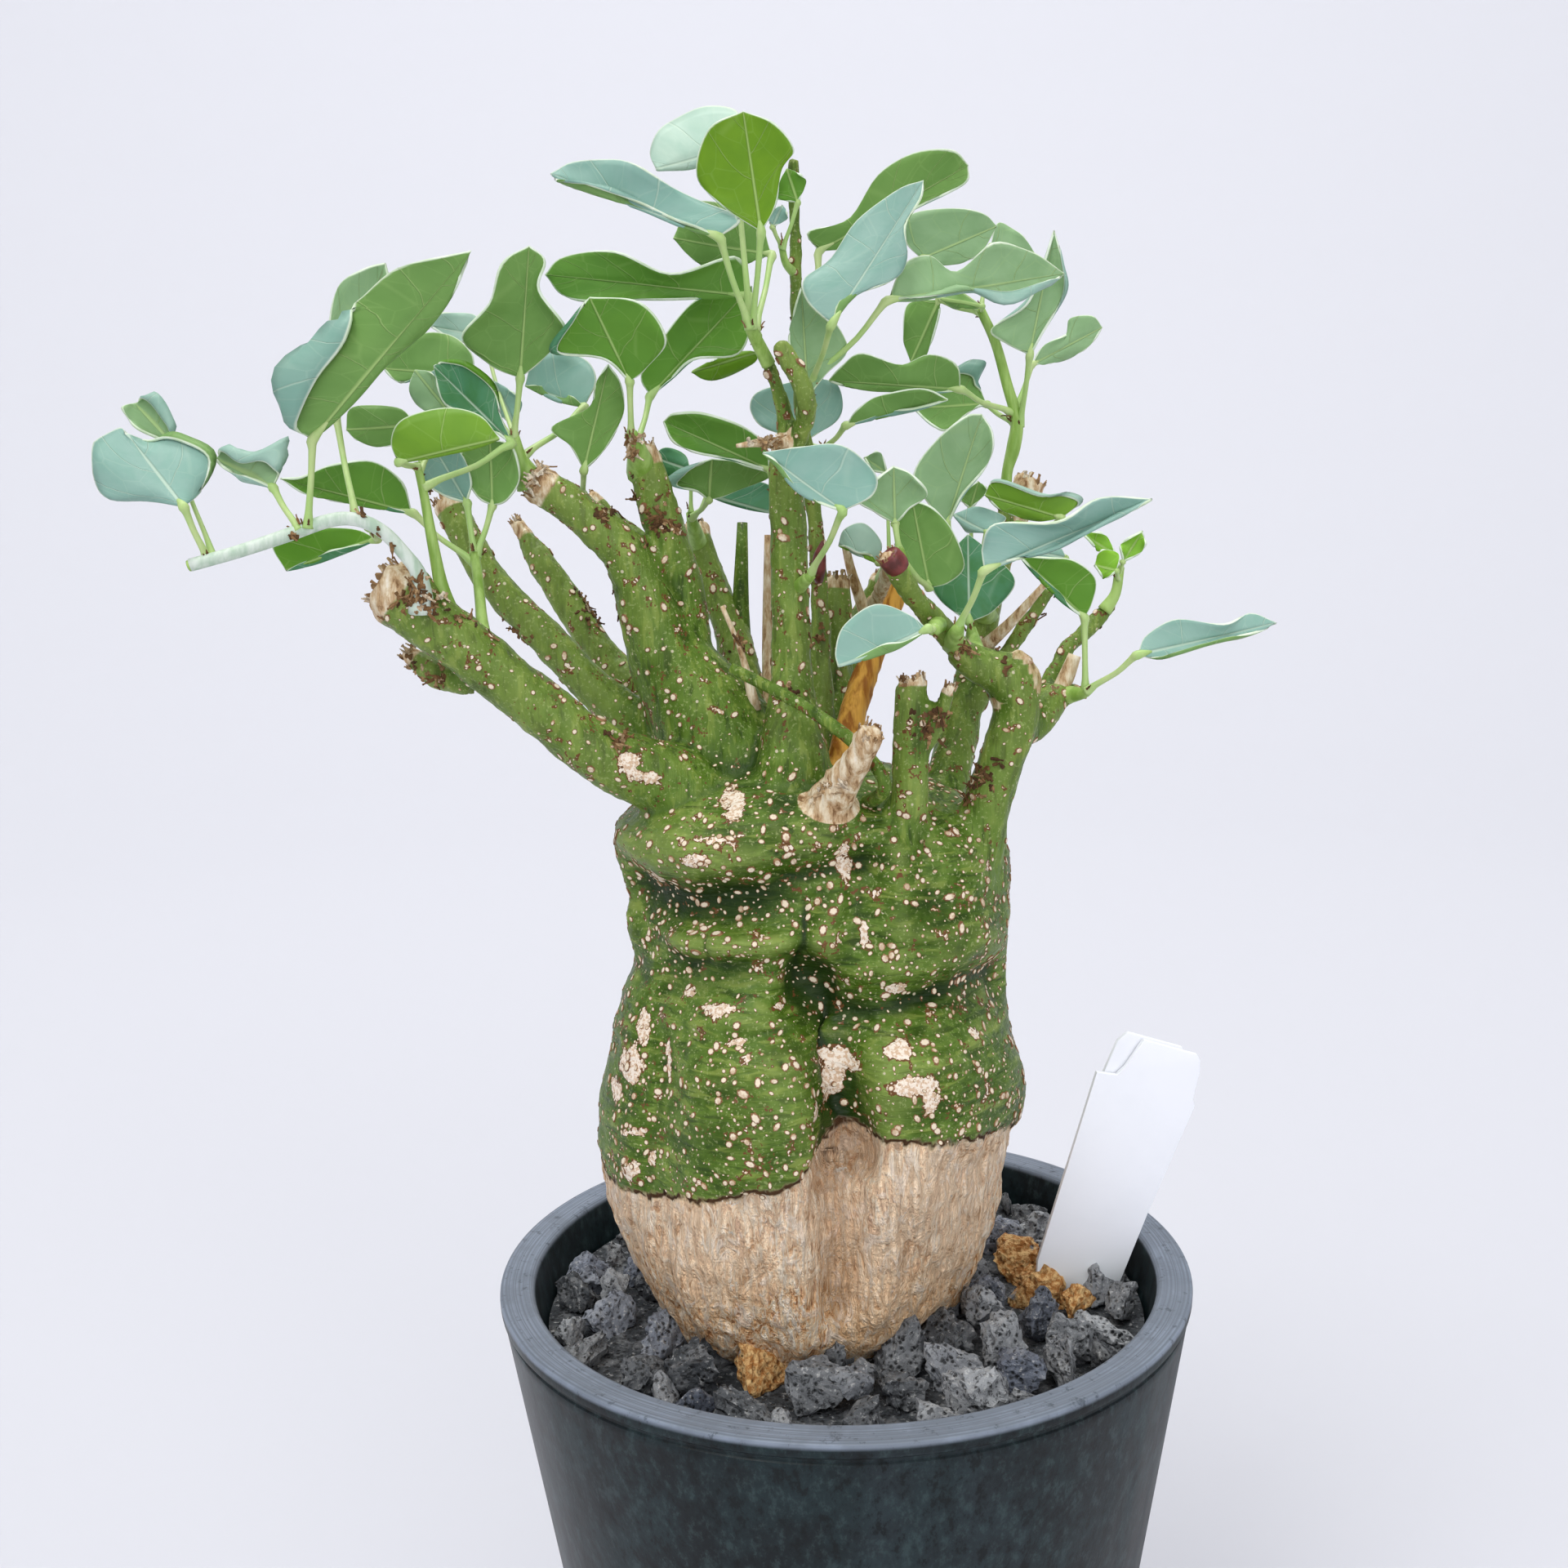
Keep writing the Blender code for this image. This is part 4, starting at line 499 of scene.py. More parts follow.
# Material nodes
class Look:
    """A node material under construction."""

    def __init__(self, name):
        self.made = bpy.data.materials.new(name)
        self.made.use_nodes = True
        self.nodes = self.made.node_tree.nodes
        self.links = self.made.node_tree.links
        self.shader = self.nodes["Principled BSDF"]
        self.coords = self.nodes.new("ShaderNodeTexCoord").outputs["Object"]

    def put(self, socket, value):
        """Link an output to a socket, or set its value."""
        if isinstance(value, bpy.types.NodeSocket):
            self.links.new(value, socket)
        elif isinstance(value, (tuple, list)) and len(value) == 3 and socket.type == "RGBA":
            socket.default_value = (*value, 1.0)
        else:
            socket.default_value = value

    def attribute(self, name):
        node = self.nodes.new("ShaderNodeAttribute")
        node.attribute_name = name
        return node.outputs["Fac"]

    def mapped(self, scale, source=None, turn=(0, 0, 0)):
        node = self.nodes.new("ShaderNodeMapping")
        self.links.new(source or self.coords, node.inputs["Vector"])
        node.inputs["Scale"].default_value = scale
        node.inputs["Rotation"].default_value = turn
        return node.outputs["Vector"]

    def noise(self, scale, detail=4.0, rough=0.55, source=None, warp=0.0):
        node = self.nodes.new("ShaderNodeTexNoise")
        self.links.new(source or self.coords, node.inputs["Vector"])
        node.inputs["Scale"].default_value = scale
        node.inputs["Detail"].default_value = detail
        node.inputs["Roughness"].default_value = rough
        node.inputs["Distortion"].default_value = warp
        return node.outputs["Fac"]

    def cells(self, scale, feature="F1", source=None, spread=1.0):
        node = self.nodes.new("ShaderNodeTexVoronoi")
        node.feature = feature
        self.links.new(source or self.coords, node.inputs["Vector"])
        node.inputs["Scale"].default_value = scale
        node.inputs["Randomness"].default_value = spread
        return node.outputs["Distance"]

    def math(self, kind, a, b=0.0, c=0.0):
        node = self.nodes.new("ShaderNodeMath")
        node.operation = kind
        for socket, value in zip(node.inputs, (a, b, c)):
            self.put(socket, value)
        return node.outputs["Value"]

    def band(self, value, low, high, out_low=0.0, out_high=1.0):
        """Smooth change from out_low to out_high as value goes from low to high."""
        node = self.nodes.new("ShaderNodeMapRange")
        node.interpolation_type = "SMOOTHSTEP"
        for name, number in zip(("Value", "From Min", "From Max", "To Min", "To Max"),
                                (value, low, high, out_low, out_high)):
            self.put(node.inputs[name], number)
        return node.outputs["Result"]

    def mix(self, share, a, b, kind="MIX"):
        node = self.nodes.new("ShaderNodeMix")
        node.data_type = "RGBA"
        node.blend_type = kind
        self.put(node.inputs["Factor"], share)
        self.put(node.inputs[6], a)
        self.put(node.inputs[7], b)
        return node.outputs[2]

    def ramp(self, value, *stops):
        """A colour ramp through (place, colour) stops."""
        node = self.nodes.new("ShaderNodeValToRGB")
        self.links.new(value, node.inputs["Fac"])
        points = node.color_ramp.elements
        points[0].position, points[0].color = stops[0][0], (*stops[0][1], 1)
        points[1].position, points[1].color = stops[-1][0], (*stops[-1][1], 1)
        for place, colour in stops[1:-1]:
            points.new(place).color = (*colour, 1)
        return node.outputs["Color"]

    def bump(self, height, distance, strength=1.0, under=None):
        """Bump of a height from 0 to 1, distance in mm."""
        node = self.nodes.new("ShaderNodeBump")
        node.inputs["Strength"].default_value = strength
        node.inputs["Distance"].default_value = distance * MM
        self.links.new(height, node.inputs["Height"])
        if under:
            self.links.new(under, node.inputs["Normal"])
        return node.outputs["Normal"]

    def finish(self, colour, rough, normal=None, **fixed):
        self.put(self.shader.inputs["Base Color"], colour)
        self.put(self.shader.inputs["Roughness"], rough)
        if normal:
            self.links.new(normal, self.shader.inputs["Normal"])
        for name, value in fixed.items():
            self.shader.inputs[name.replace("_", " ")].default_value = value
        return self.made


def colour(text):
    """Linear colour of an sRGB hex text."""
    parts = [int(text[i:i + 2], 16) / 255 for i in (1, 3, 5)]
    return tuple(p / 12.92 if p < 0.04045 else ((p + 0.055) / 1.055) ** 2.4 for p in parts)


# Geometry node trees
def node_tree(name, inputs):
    """An empty tree with a geometry input, named inputs of (label, kind, value) and a geometry output."""
    made = bpy.data.node_groups.new(name, "GeometryNodeTree")
    made.interface.new_socket("Geometry", in_out="INPUT", socket_type="NodeSocketGeometry")
    for label, kind, value in inputs:
        socket = made.interface.new_socket(label, in_out="INPUT", socket_type="NodeSocket" + kind)
        if value is not None:
            socket.default_value = value
    made.interface.new_socket("Geometry", in_out="OUTPUT", socket_type="NodeSocketGeometry")
    source = made.nodes.new("NodeGroupInput")
    target = made.nodes.new("NodeGroupOutput")
    return made, source.outputs, target.inputs["Geometry"]


def tree_node(tree, kind, inputs=None, **settings):
    """A node with its settings and inputs; an input is a value or another node's output."""
    node = tree.nodes.new(kind)
    for name, value in settings.items():
        setattr(node, name, value)
    for name, value in (inputs or {}).items():
        socket = node.inputs[name]
        if isinstance(value, bpy.types.NodeSocket):
            tree.links.new(value, socket)
        else:
            socket.default_value = value
    return node


def grow_nodes(thing, tree, values):
    """Run a tree on an object with these input values and keep the result as its plain mesh."""
    step = thing.modifiers.new("grow", "NODES")
    step.node_group = tree
    for item in tree.interface.items_tree:
        if item.in_out == "INPUT" and item.name in values:
            step[item.identifier] = values[item.name]
    apply_modifiers(thing)


# Pot
def wall_radius(height):
    return FOOT_RADIUS + (RIM_RADIUS - FOOT_RADIUS) * height / POT_HEIGHT


def inner_radius(height):
    lip = RIM_RADIUS - RIM_WIDTH - 0.17 * (POT_HEIGHT - height)
    return min(lip, wall_radius(height) - WALL)


def pot_look(settings):
    look = Look("black_pot_plastic")
    streaks = look.noise(60, 4, 0.6, look.mapped((1, 1, 0.10)))
    clouds = look.noise(110, 4, 0.7)
    mist = look.noise(520, 4, 0.75, look.mapped((1, 1, 0.6), turn=(0.6, 0.5, 0)))
    base = look.mix(look.band(clouds, 0.38, 0.64), colour("#10171A"), tuple(settings.body))
    base = look.mix(look.band(streaks, 0.52, 0.74, 0, 0.35), base, colour("#38444A"))
    base = look.mix(look.band(mist, 0.50, 0.68, 0, 0.42), base, colour("#3E4F50"))
    base = look.mix(look.band(mist, 0.48, 0.36, 0, 0.8), base, colour("#080C0D"))
    height = look.nodes.new("ShaderNodeSeparateXYZ")
    look.links.new(look.coords, height.inputs[0])
    away = look.nodes.new("ShaderNodeVectorMath")
    away.operation = "LENGTH"
    look.links.new(look.mapped((1, 1, 0)), away.inputs[0])
    shake = look.math("MULTIPLY", look.noise(26, 2), 0.0012)
    circle = look.math("ADD", away.outputs["Value"], shake)
    lines = look.nodes.new("ShaderNodeTexNoise")
    lines.noise_dimensions = "1D"
    lines.inputs["Scale"].default_value = 3200
    lines.inputs["Detail"].default_value = 3
    look.links.new(circle, lines.inputs["W"])
    lined = lines.outputs["Fac"]
    top = look.band(height.outputs["Z"], (POT_HEIGHT - 1.0) * MM, (POT_HEIGHT - 0.35) * MM)
    brim = look.mix(look.band(lined, 0.35, 0.65), colour("#69727E"), colour("#808A98"))
    brim = look.mix(look.band(clouds, 0.40, 0.60, 0.55, 0), brim, tuple(settings.rim))
    brim = look.mix(look.band(mist, 0.44, 0.32, 0, 0.6), brim, colour("#30373E"))
    base = look.mix(top, base, brim)
    bumps = look.math("ADD", look.math("MULTIPLY", look.math("MULTIPLY", lined, top), 0.02),
                      look.math("MULTIPLY", mist, 0.05))
    return look.finish(base, look.band(streaks, 0.3, 0.8, 0.34, 0.56), look.bump(bumps, 1.0, 0.8),
                       Specular_IOR_Level=0.22)


def make_pot(settings):
    bead = POT_HEIGHT - 2.6
    brim = [(RIM_RADIUS - RIM_WIDTH + 0.45, POT_HEIGHT - 0.12), (RIM_RADIUS - RIM_WIDTH + 0.75, POT_HEIGHT)]
    for index in range(12):
        radius = RIM_RADIUS - RIM_WIDTH + 1.1 + index * 0.3
        brim.append((radius, POT_HEIGHT - (0.03 if index in (3, 8) else 0.0)))
    outside = [
        (RIM_RADIUS - 0.35, POT_HEIGHT - 0.04), (RIM_RADIUS - 0.14, POT_HEIGHT - 0.16),
        (RIM_RADIUS - 0.03, POT_HEIGHT - 0.4), (RIM_RADIUS, POT_HEIGHT - 0.7), (RIM_RADIUS - 0.06, bead + 1.0),
        (RIM_RADIUS - 0.12, bead + 0.72), (RIM_RADIUS - 0.5, bead + 0.45), (RIM_RADIUS - 0.8, bead + 0.2),
        (RIM_RADIUS - 0.84, bead - 0.3), (wall_radius(bead - 0.6) - 0.1, bead - 0.5),
        (wall_radius(bead - 0.9), bead - 0.9), (wall_radius(bead - 1.6), bead - 1.6),
    ]
    for height in (80, 60, 40, 20, 4):
        outside.append((wall_radius(height), height))
    outside += [(wall_radius(1.8), 1.8), (wall_radius(1.0) - 0.2, 0.7), (FOOT_RADIUS - 0.7, 0.15),
                (FOOT_RADIUS - 1.5, 0.0), (0.0, 0.0)]
    inside = [(0.0, FLOOR), (inner_radius(FLOOR) - 2.0, FLOOR), (inner_radius(FLOOR + 2.0), FLOOR + 2.0),
              (inner_radius(73.0), 73.0), (inner_radius(POT_HEIGHT - 1.2), POT_HEIGHT - 1.2),
              (inner_radius(POT_HEIGHT - 0.4) + 0.1, POT_HEIGHT - 0.45)]
    pot = turned("pot_body", brim + outside + inside, 160)
    for index in range(DRAIN_COUNT):
        angle = math.tau * (index + 0.5) / DRAIN_COUNT
        shape = bmesh.new()
        bmesh.ops.create_cone(shape, cap_ends=True, segments=32, radius1=DRAIN_RADIUS * MM,
                              radius2=DRAIN_RADIUS * MM, depth=4 * FLOOR * MM,
                              matrix=Matrix.Translation((DRAIN_RING * MM * math.cos(angle),
                                                         DRAIN_RING * MM * math.sin(angle), FLOOR * MM / 2)))
        drill = bmesh_object("drain_drill", shape)
        step = pot.modifiers.new("drain", "BOOLEAN")
        step.operation = "DIFFERENCE"
        step.solver = "EXACT"
        step.object = drill
        apply_modifiers(pot)
        bpy.data.objects.remove(drill)
    pot.data.materials.clear()
    pot.data.materials.append(pot_look(settings))
    pot.data.shade_smooth()
    pot.data.set_sharp_from_angle(angle=math.radians(35))
    return dress(pot, "pot_plastic", "pot")


# Lava grit
def grit_level(x, y):
    """Height of the stones' middles at a place: a little lower at the left and behind, heaped at the right foot."""
    heap = 6.2 * math.exp(-((x - 13.0) / 9.5) ** 2 - ((y + 19.0) / 8.0) ** 2)
    heap += 1.4 * math.exp(-((x + 6.0) / 12.0) ** 2 - ((y + 31.0) / 5.0) ** 2)
    return 90.3 + heap - 1.1 * float(smooth_step(-5, 35, y)) - 0.6 * float(smooth_step(15, 40, -x))


def stone_seats(settings, foot):
    """Places, radii and warmth of the stones, dense and seeded."""
    rng = random.Random(settings.seed)
    top = min(GRIT_BOX[1].z / MM - 0.1, 99.0)
    seats = []
    for tries in range(26000):
        radius = settings.large - (settings.large - settings.small) * (tries / 26000) ** 0.35 * rng.uniform(0.5, 1.0)
        room = inner_radius(POT_HEIGHT - 6.0) - radius * 0.95 - 0.3
        reach, angle = room * math.sqrt(rng.random()), rng.uniform(0, math.tau)
        x, y = reach * math.cos(angle), reach * math.sin(angle)
        if ((x - foot[0]) / (foot[2] - 1.0)) ** 2 + ((y - foot[1]) / (foot[3] - 1.0)) ** 2 < 1:
            continue
        if any((x - other[0]) ** 2 + (y - other[1]) ** 2 < (0.84 * (radius + other[3])) ** 2 for other in seats):
            continue
        z = min(grit_level(x, y) + rng.uniform(-0.9, 0.9) - 0.25 * (radius - 3.0), top - radius)
        seats.append((x, y, z, radius, 0.0))
    places = np.array([seat[:3] for seat in seats])
    pixels = photo_pixels(places)
    for x, y in WARM_STONES:
        nearest = int(np.argmin(np.hypot(pixels[:, 0] - x, pixels[:, 1] - y) + 4 * np.maximum(places[:, 1], 0)))
        seats[nearest] = (*seats[nearest][:4], 1.0)
    return seats


def stone_shapes(cuts):
    """A few blocky stones in a collection of their own: hulls of random points, cut finer."""
    holder = bpy.data.collections.new("stone_shapes")
    bpy.context.scene.collection.children.link(holder)
    for index in range(7):
        rng = random.Random(100 + index)
        shape = bmesh.new()
        for _ in range(10):
            shape.verts.new(Vector((rng.gauss(0, 1), rng.gauss(0, 1), rng.gauss(0, 1))).normalized()
                            * rng.uniform(0.9, 1.25))
        hull = bmesh.ops.convex_hull(shape, input=shape.verts)
        bmesh.ops.delete(shape, geom=[v for v in hull["geom_interior"] if isinstance(v, bmesh.types.BMVert)],
                         context="VERTS")
        for _ in range(cuts):
            bmesh.ops.subdivide_edges(shape, edges=shape.edges, cuts=1, smooth=0.05, use_grid_fill=True)
        bmesh.ops.triangulate(shape, faces=shape.faces)
        bmesh.ops.recalc_face_normals(shape, faces=shape.faces)
        made = bmesh_object(f"stone_shape_{index}", shape)
        bpy.context.scene.collection.objects.unlink(made)
        holder.objects.link(made)
    return holder


def stone_tree():
    """Points become blocky, pitted stones, each of its own form."""
    tree, given, out = node_tree("lava_stones", (
        ("Shapes", "Collection", None), ("Roughness", "Float", 0.22), ("Pits", "Float", 0.5), ("Seed", "Int", 3),
        ("Material", "Material", None)))

    def draw(seed, low, high, kind="FLOAT_VECTOR"):
        node = tree_node(tree, "FunctionNodeRandomValue", {"Seed": seed}, data_type=kind)
        slots = [s for s in node.inputs if s.enabled and s.name in ("Min", "Max")]
        slots[0].default_value, slots[1].default_value = low, high
        return next(s for s in node.outputs if s.enabled)

    def maths(kind, a, b):
        return tree_node(tree, "ShaderNodeMath", {0: a, 1: b}, operation=kind).outputs["Value"]

    def scaled(vector, factor):
        node = tree_node(tree, "ShaderNodeVectorMath", {0: vector}, operation="SCALE")
        if isinstance(factor, float):
            node.inputs["Scale"].default_value = factor
        else:
            tree.links.new(factor, node.inputs["Scale"])
        return node.outputs["Vector"]

    size = tree_node(tree, "GeometryNodeInputNamedAttribute", {"Name": "stone_size"}, data_type="FLOAT")
    size = size.outputs["Attribute"]
    points = tree_node(tree, "GeometryNodeMeshToPoints", {"Mesh": given["Geometry"]})
    shapes = tree_node(tree, "GeometryNodeCollectionInfo", {
        "Collection": given["Shapes"], "Separate Children": True, "Reset Children": True})
    place = tree_node(tree, "GeometryNodeInstanceOnPoints", {
        "Points": points.outputs["Points"], "Instance": shapes.outputs["Instances"], "Pick Instance": True,
        "Instance Index": draw(17, 0, 6, "INT"), "Rotation": draw(given["Seed"], (0, 0, 0), (6.28, 6.28, 6.28)),
        "Scale": scaled(draw(5, (0.78, 0.80, 0.72), (1.08, 1.10, 1.0)), size)})
    keep = tree_node(tree, "GeometryNodeStoreNamedAttribute", {
        "Geometry": place.outputs["Instances"], "Name": "own", "Value": draw(9, (0, 0, 0), (1, 1, 1))},
        data_type="FLOAT_VECTOR", domain="INSTANCE")
    real = tree_node(tree, "GeometryNodeRealizeInstances", {"Geometry": keep.outputs["Geometry"]})
    own = tree_node(tree, "GeometryNodeInputNamedAttribute", {"Name": "own"}, data_type="FLOAT_VECTOR")
    where = tree_node(tree, "ShaderNodeVectorMath", {
        0: tree_node(tree, "GeometryNodeInputPosition").outputs["Position"],
        1: scaled(own.outputs["Attribute"], 3.0)}, operation="ADD").outputs["Vector"]
    lumps = tree_node(tree, "ShaderNodeTexVoronoi", {"Vector": where, "Scale": 560.0}, feature="F1")
    grain = tree_node(tree, "ShaderNodeTexNoise", {"Vector": where, "Scale": 1100.0, "Detail": 2.0})
    swell = maths("MULTIPLY", maths("SUBTRACT", lumps.outputs["Distance"], 0.5), given["Roughness"])
    pit = maths("MULTIPLY", maths("SUBTRACT", grain.outputs["Fac"], 0.5), given["Pits"])
    reach = maths("MULTIPLY", maths("ADD", swell, pit), size)
    normal = tree_node(tree, "GeometryNodeInputNormal").outputs["Normal"]
    shaped = tree_node(tree, "GeometryNodeSetPosition", {
        "Geometry": real.outputs["Geometry"], "Offset": scaled(normal, reach)})
    look = tree_node(tree, "GeometryNodeSetMaterial", {
        "Geometry": shaped.outputs["Geometry"], "Material": given["Material"]})
    tree.links.new(look.outputs["Geometry"], out)
    return tree


def grit_look(settings):
    look = Look("lava_stone")
    fine = look.noise(1100, 4, 0.72)
    pits = look.cells(1000, "F1")
    own = look.nodes.new("ShaderNodeAttribute")
    own.attribute_name = "own"
    tint = look.nodes.new("ShaderNodeSeparateXYZ")
    look.links.new(own.outputs["Vector"], tint.inputs[0])
    broad = look.noise(260, 3)
    base = look.mix(tint.outputs["X"], tuple(settings.dark), colour("#A0A3A6"))
    base = look.mix(look.band(tint.outputs["Y"], 0.72, 0.95, 0, 0.45), base, colour("#4C5A78"))
    base = look.mix(look.band(broad, 0.48, 0.64, 0, 0.22), base, colour("#BFC1C2"))
    # Painted shade in the pores: dark specks from the fine noise and dark middles of the pit cells.
    base = look.mix(look.band(fine, 0.36, 0.48, 0.8, 0), base, colour("#121314"))
    base = look.mix(look.band(pits, 0.30, 0.16, 0, 0.85), base, colour("#0B0C0C"))
    # Painted highlights: pale flecks from the fine noise.
    base = look.mix(look.band(fine, 0.57, 0.68, 0, 0.5), base, colour("#DADAD8"))
    warm = look.mix(look.band(fine, 0.4, 0.62), colour("#AC7236"), colour("#E6C084"))
    base = look.mix(look.math("MULTIPLY", look.attribute("warm"), look.band(broad, 0.28, 0.36)), base, warm)
    height = look.math("ADD", look.math("MULTIPLY", look.band(pits, 0.05, 0.45), 0.4), look.math("MULTIPLY", fine, 0.5))
    return look.finish(base, 0.8, look.bump(height, 1.0, 0.95))


def make_grit(settings, foot):
    seats = stone_seats(settings, foot)
    nearest = sorted(seats, key=lambda seat: seat[1] - 4 * seat[3])[:settings.fine]
    material, tree, groups = grit_look(settings), stone_tree(), []
    for name, chosen, cuts in (("fine_stones", nearest, 3), ("plain_stones", [s for s in seats if s not in nearest], 1)):
        mesh = bpy.data.meshes.new(name)
        mesh.from_pydata([(x * MM, y * MM, z * MM) for x, y, z, _, _ in chosen], [], [])
        set_attribute(mesh, "stone_size", [seat[3] * MM for seat in chosen])
        set_attribute(mesh, "warm", [seat[4] for seat in chosen])
        stones, shapes = new_object(name, mesh), stone_shapes(cuts)
        grow_nodes(stones, tree, {"Shapes": shapes, "Material": material, "Seed": settings.seed})
        remove(list(shapes.objects))
        bpy.data.collections.remove(shapes)
        groups.append(stones)
    low = FLOOR + 0.3
    fill = turned("mix", [(0.0, low), (inner_radius(low + 3.0) - 3.0, low), (inner_radius(low + 3.0) - 0.6, low + 3),
                          (inner_radius(73.0) - 0.6, 73.0), (inner_radius(88.0) - 0.6, 88.0), (30.0, 88.4),
                          (0.0, 88.4)], 96)
    for name in ("stone_size", "warm"):
        set_attribute(fill.data, name, np.zeros(len(fill.data.vertices)))
    grit = join("lava_grit_stones", [*groups, fill], [material])
    grit.data.shade_smooth()
    grit.data.set_sharp_from_angle(angle=math.radians(38))
    limit = GRIT_BOX[1].z / MM
    places = vertex_places(grit.data)
    places[:, 2] = np.minimum(places[:, 2], limit * MM)
    reach = np.hypot(places[:, 0], places[:, 1]) / MM
    room = np.array([inner_radius(min(z / MM, POT_HEIGHT)) - 0.3 for z in places[:, 2]])
    squeeze = np.minimum(1.0, room / np.maximum(reach, 1e-6))
    places[:, 0] *= squeeze
    places[:, 1] *= squeeze
    move_vertices(grit.data, places)
    return dress(grit, "lava_grit", "lava_grit")


# Caudex
def trunk_levels(steps):
    """(pixel row, middle, half width, half depth, height, slope) in mm, smoothed between the measured rows."""
    levels = []
    for row, left, right, half_depth in TRUNK_ROWS:
        low, high = photo_point(left, row, TRUNK_DEPTH), photo_point(right, row, TRUNK_DEPTH)
        levels.append((row, (low.x + high.x) / 2, (high.x - low.x) / 2, half_depth, (low.z + high.z) / 2,
                       (high.z - low.z) / 2))
    row, middle, half_width, half_depth, height, _ = levels[0]
    root = POT_HEIGHT + ROOT_BOTTOM
    buried = [(row, middle, half_width * size, half_depth * size, root + (height - root) * share, 0.0)
              for share, size in ((0.0, 0.30), (0.25, 0.62), (0.6, 0.88))]
    return smooth_route(buried + levels, steps)


def trunk_relief(turn, row):
    swell = 1.0
    for _, angle, middle, spread, rows, height in TRUNK_RELIEF:
        away = (turn - angle + 180.0) % 360.0 - 180.0
        swell += height * math.exp(-(away / spread) ** 2 - ((row - middle) / rows) ** 2)
    return swell


def make_trunk(steps, segments):
    shape = bmesh.new()
    rings = []
    for row, middle, half_width, half_depth, height, slope in trunk_levels(steps):
        ring = []
        for index in range(segments):
            turn = 360.0 * index / segments
            swell = trunk_relief(turn, row)
            across, towards = math.sin(math.radians(turn)), math.cos(math.radians(turn))
            ring.append(shape.verts.new((Vector((middle + half_width * across * swell,
                                                 TRUNK_DEPTH - half_depth * towards * swell,
                                                 height + slope * across))) * MM))
        rings.append(ring)
    for lower, upper in zip(rings, rings[1:]):
        for index in range(segments):
            after = (index + 1) % segments
            shape.faces.new((lower[index], lower[after], upper[after], upper[index]))
    shape.faces.new(rings[0])
    shape.faces.new(rings[-1])
    bmesh.ops.recalc_face_normals(shape, faces=shape.faces)
    return bmesh_object("trunk", shape)


def branch_route(name, steps=5):
    return np.array(smooth_route([(*photo_point(x, y, depth), width * pixel_size(depth) / 2)
                                  for x, y, depth, width in BRANCHES[name]], steps))


def carve(places, normals):
    """Displacement of the trunk in mm from grooves, shelves and swellings; how much painted shade darkens each place
    (crease), along the grooves, under the shelves, in the shade patches and in the round scar's middle; and where the
    flaky patches lie.
    """
    pixels = photo_pixels(places)
    view = np.array(CAMERA_PLACE) - places
    view /= np.linalg.norm(view, axis=1)[:, None]
    facing = smooth_step(0.02, 0.3, (normals * view).sum(1)) * smooth_step(14, 4, places[:, 1])
    on_trunk = facing * smooth_step(960, 1000, pixels[:, 1])
    size = np.array([pixel_size(depth) for depth in places[:, 1]])
    lift, crease = np.zeros(len(places)), np.zeros(len(places))
    wobble = noise_field(places, (0.35, 0.35, 0.35), 21.0)
    press = np.zeros(len(places))
    for width, depth, dark, *route in GROOVES:
        line = smooth_route(route, 4)
        away = np.full(len(places), 1e9)
        for a, b in zip(line, line[1:]):
            away = np.minimum(away, segment_distance(pixels, a, b)[0])
        away = np.abs(away * size + 0.5 * min(width, 1.5) * wobble)
        press = np.maximum(press, depth * np.exp(-(away / width) ** 2) * on_trunk)
        # The groove's floor gets painted shade through crease.
        crease = np.maximum(crease, dark * np.exp(-(away / min(0.5 * width, 0.9)) ** 2) * on_trunk)
    lift -= press
    for depth, tail, dark, *route in SHELVES:
        line = smooth_route(route, 4)
        away, below = np.full(len(places), 1e9), np.zeros(len(places))
        for a, b in zip(line, line[1:]):
            distance = segment_distance(pixels, a, b)[0]
            run = (b - a) / np.linalg.norm(b - a)
            side = run[0] * (pixels[:, 1] - a[1]) - run[1] * (pixels[:, 0] - a[0])
            below = np.where(distance < away, side, below)
            away = np.minimum(away, distance)
        past = np.sqrt(np.maximum(away ** 2 - below ** 2, 0)) * size
        below = below * size + 0.5 * wobble
        fade = np.exp(-(past / 2.5) ** 2) * on_trunk
        lift -= depth * fade * smooth_step(-1.3 * depth, 0.5 * depth, below) * np.exp(-(np.maximum(below, 0) / tail) ** 2)
        # Just under the shelf's edge the bark gets painted shade through crease.
        crease = np.maximum(crease, dark * fade * np.exp(-((below - 0.2 * depth) / (0.5 * depth)) ** 2))
    for x, y, half_width, half_height, height in SWELLINGS:
        away = ((pixels[:, 0] - x) / half_width) ** 2 + ((pixels[:, 1] - y) / half_height) ** 2
        lift += height * np.exp(-away) * on_trunk
    # Painted shade patches, partly the bark's own deeper green, also darken the bark through crease.
    for x, y, half_width, half_height, dark in SHADE_AND_DEEP_GREEN:
        away = ((pixels[:, 0] - x) / half_width) ** 2 + ((pixels[:, 1] - y) / half_height) ** 2
        crease = np.maximum(crease, dark * np.exp(-away) * on_trunk)
    patch = np.zeros(len(places))
    for x, y, half_width, half_height in PATCHES:
        away = ((pixels[:, 0] - x) / half_width) ** 2 + ((pixels[:, 1] - y) / half_height) ** 2
        patch = np.maximum(patch, smooth_step(1.9, 0.2, away) * facing)
    ring = np.hypot((pixels[:, 0] - 957) / 17, (pixels[:, 1] - 1304) / 11)
    lift += on_trunk * (0.35 * np.exp(-((ring - 1.0) / 0.3) ** 2) - 0.7 * np.exp(-(ring / 0.45) ** 2))
    # The scar's sunken middle gets painted shade.
    crease = np.maximum(crease, np.exp(-(ring / 0.4) ** 2) * on_trunk)
    return lift, crease, patch


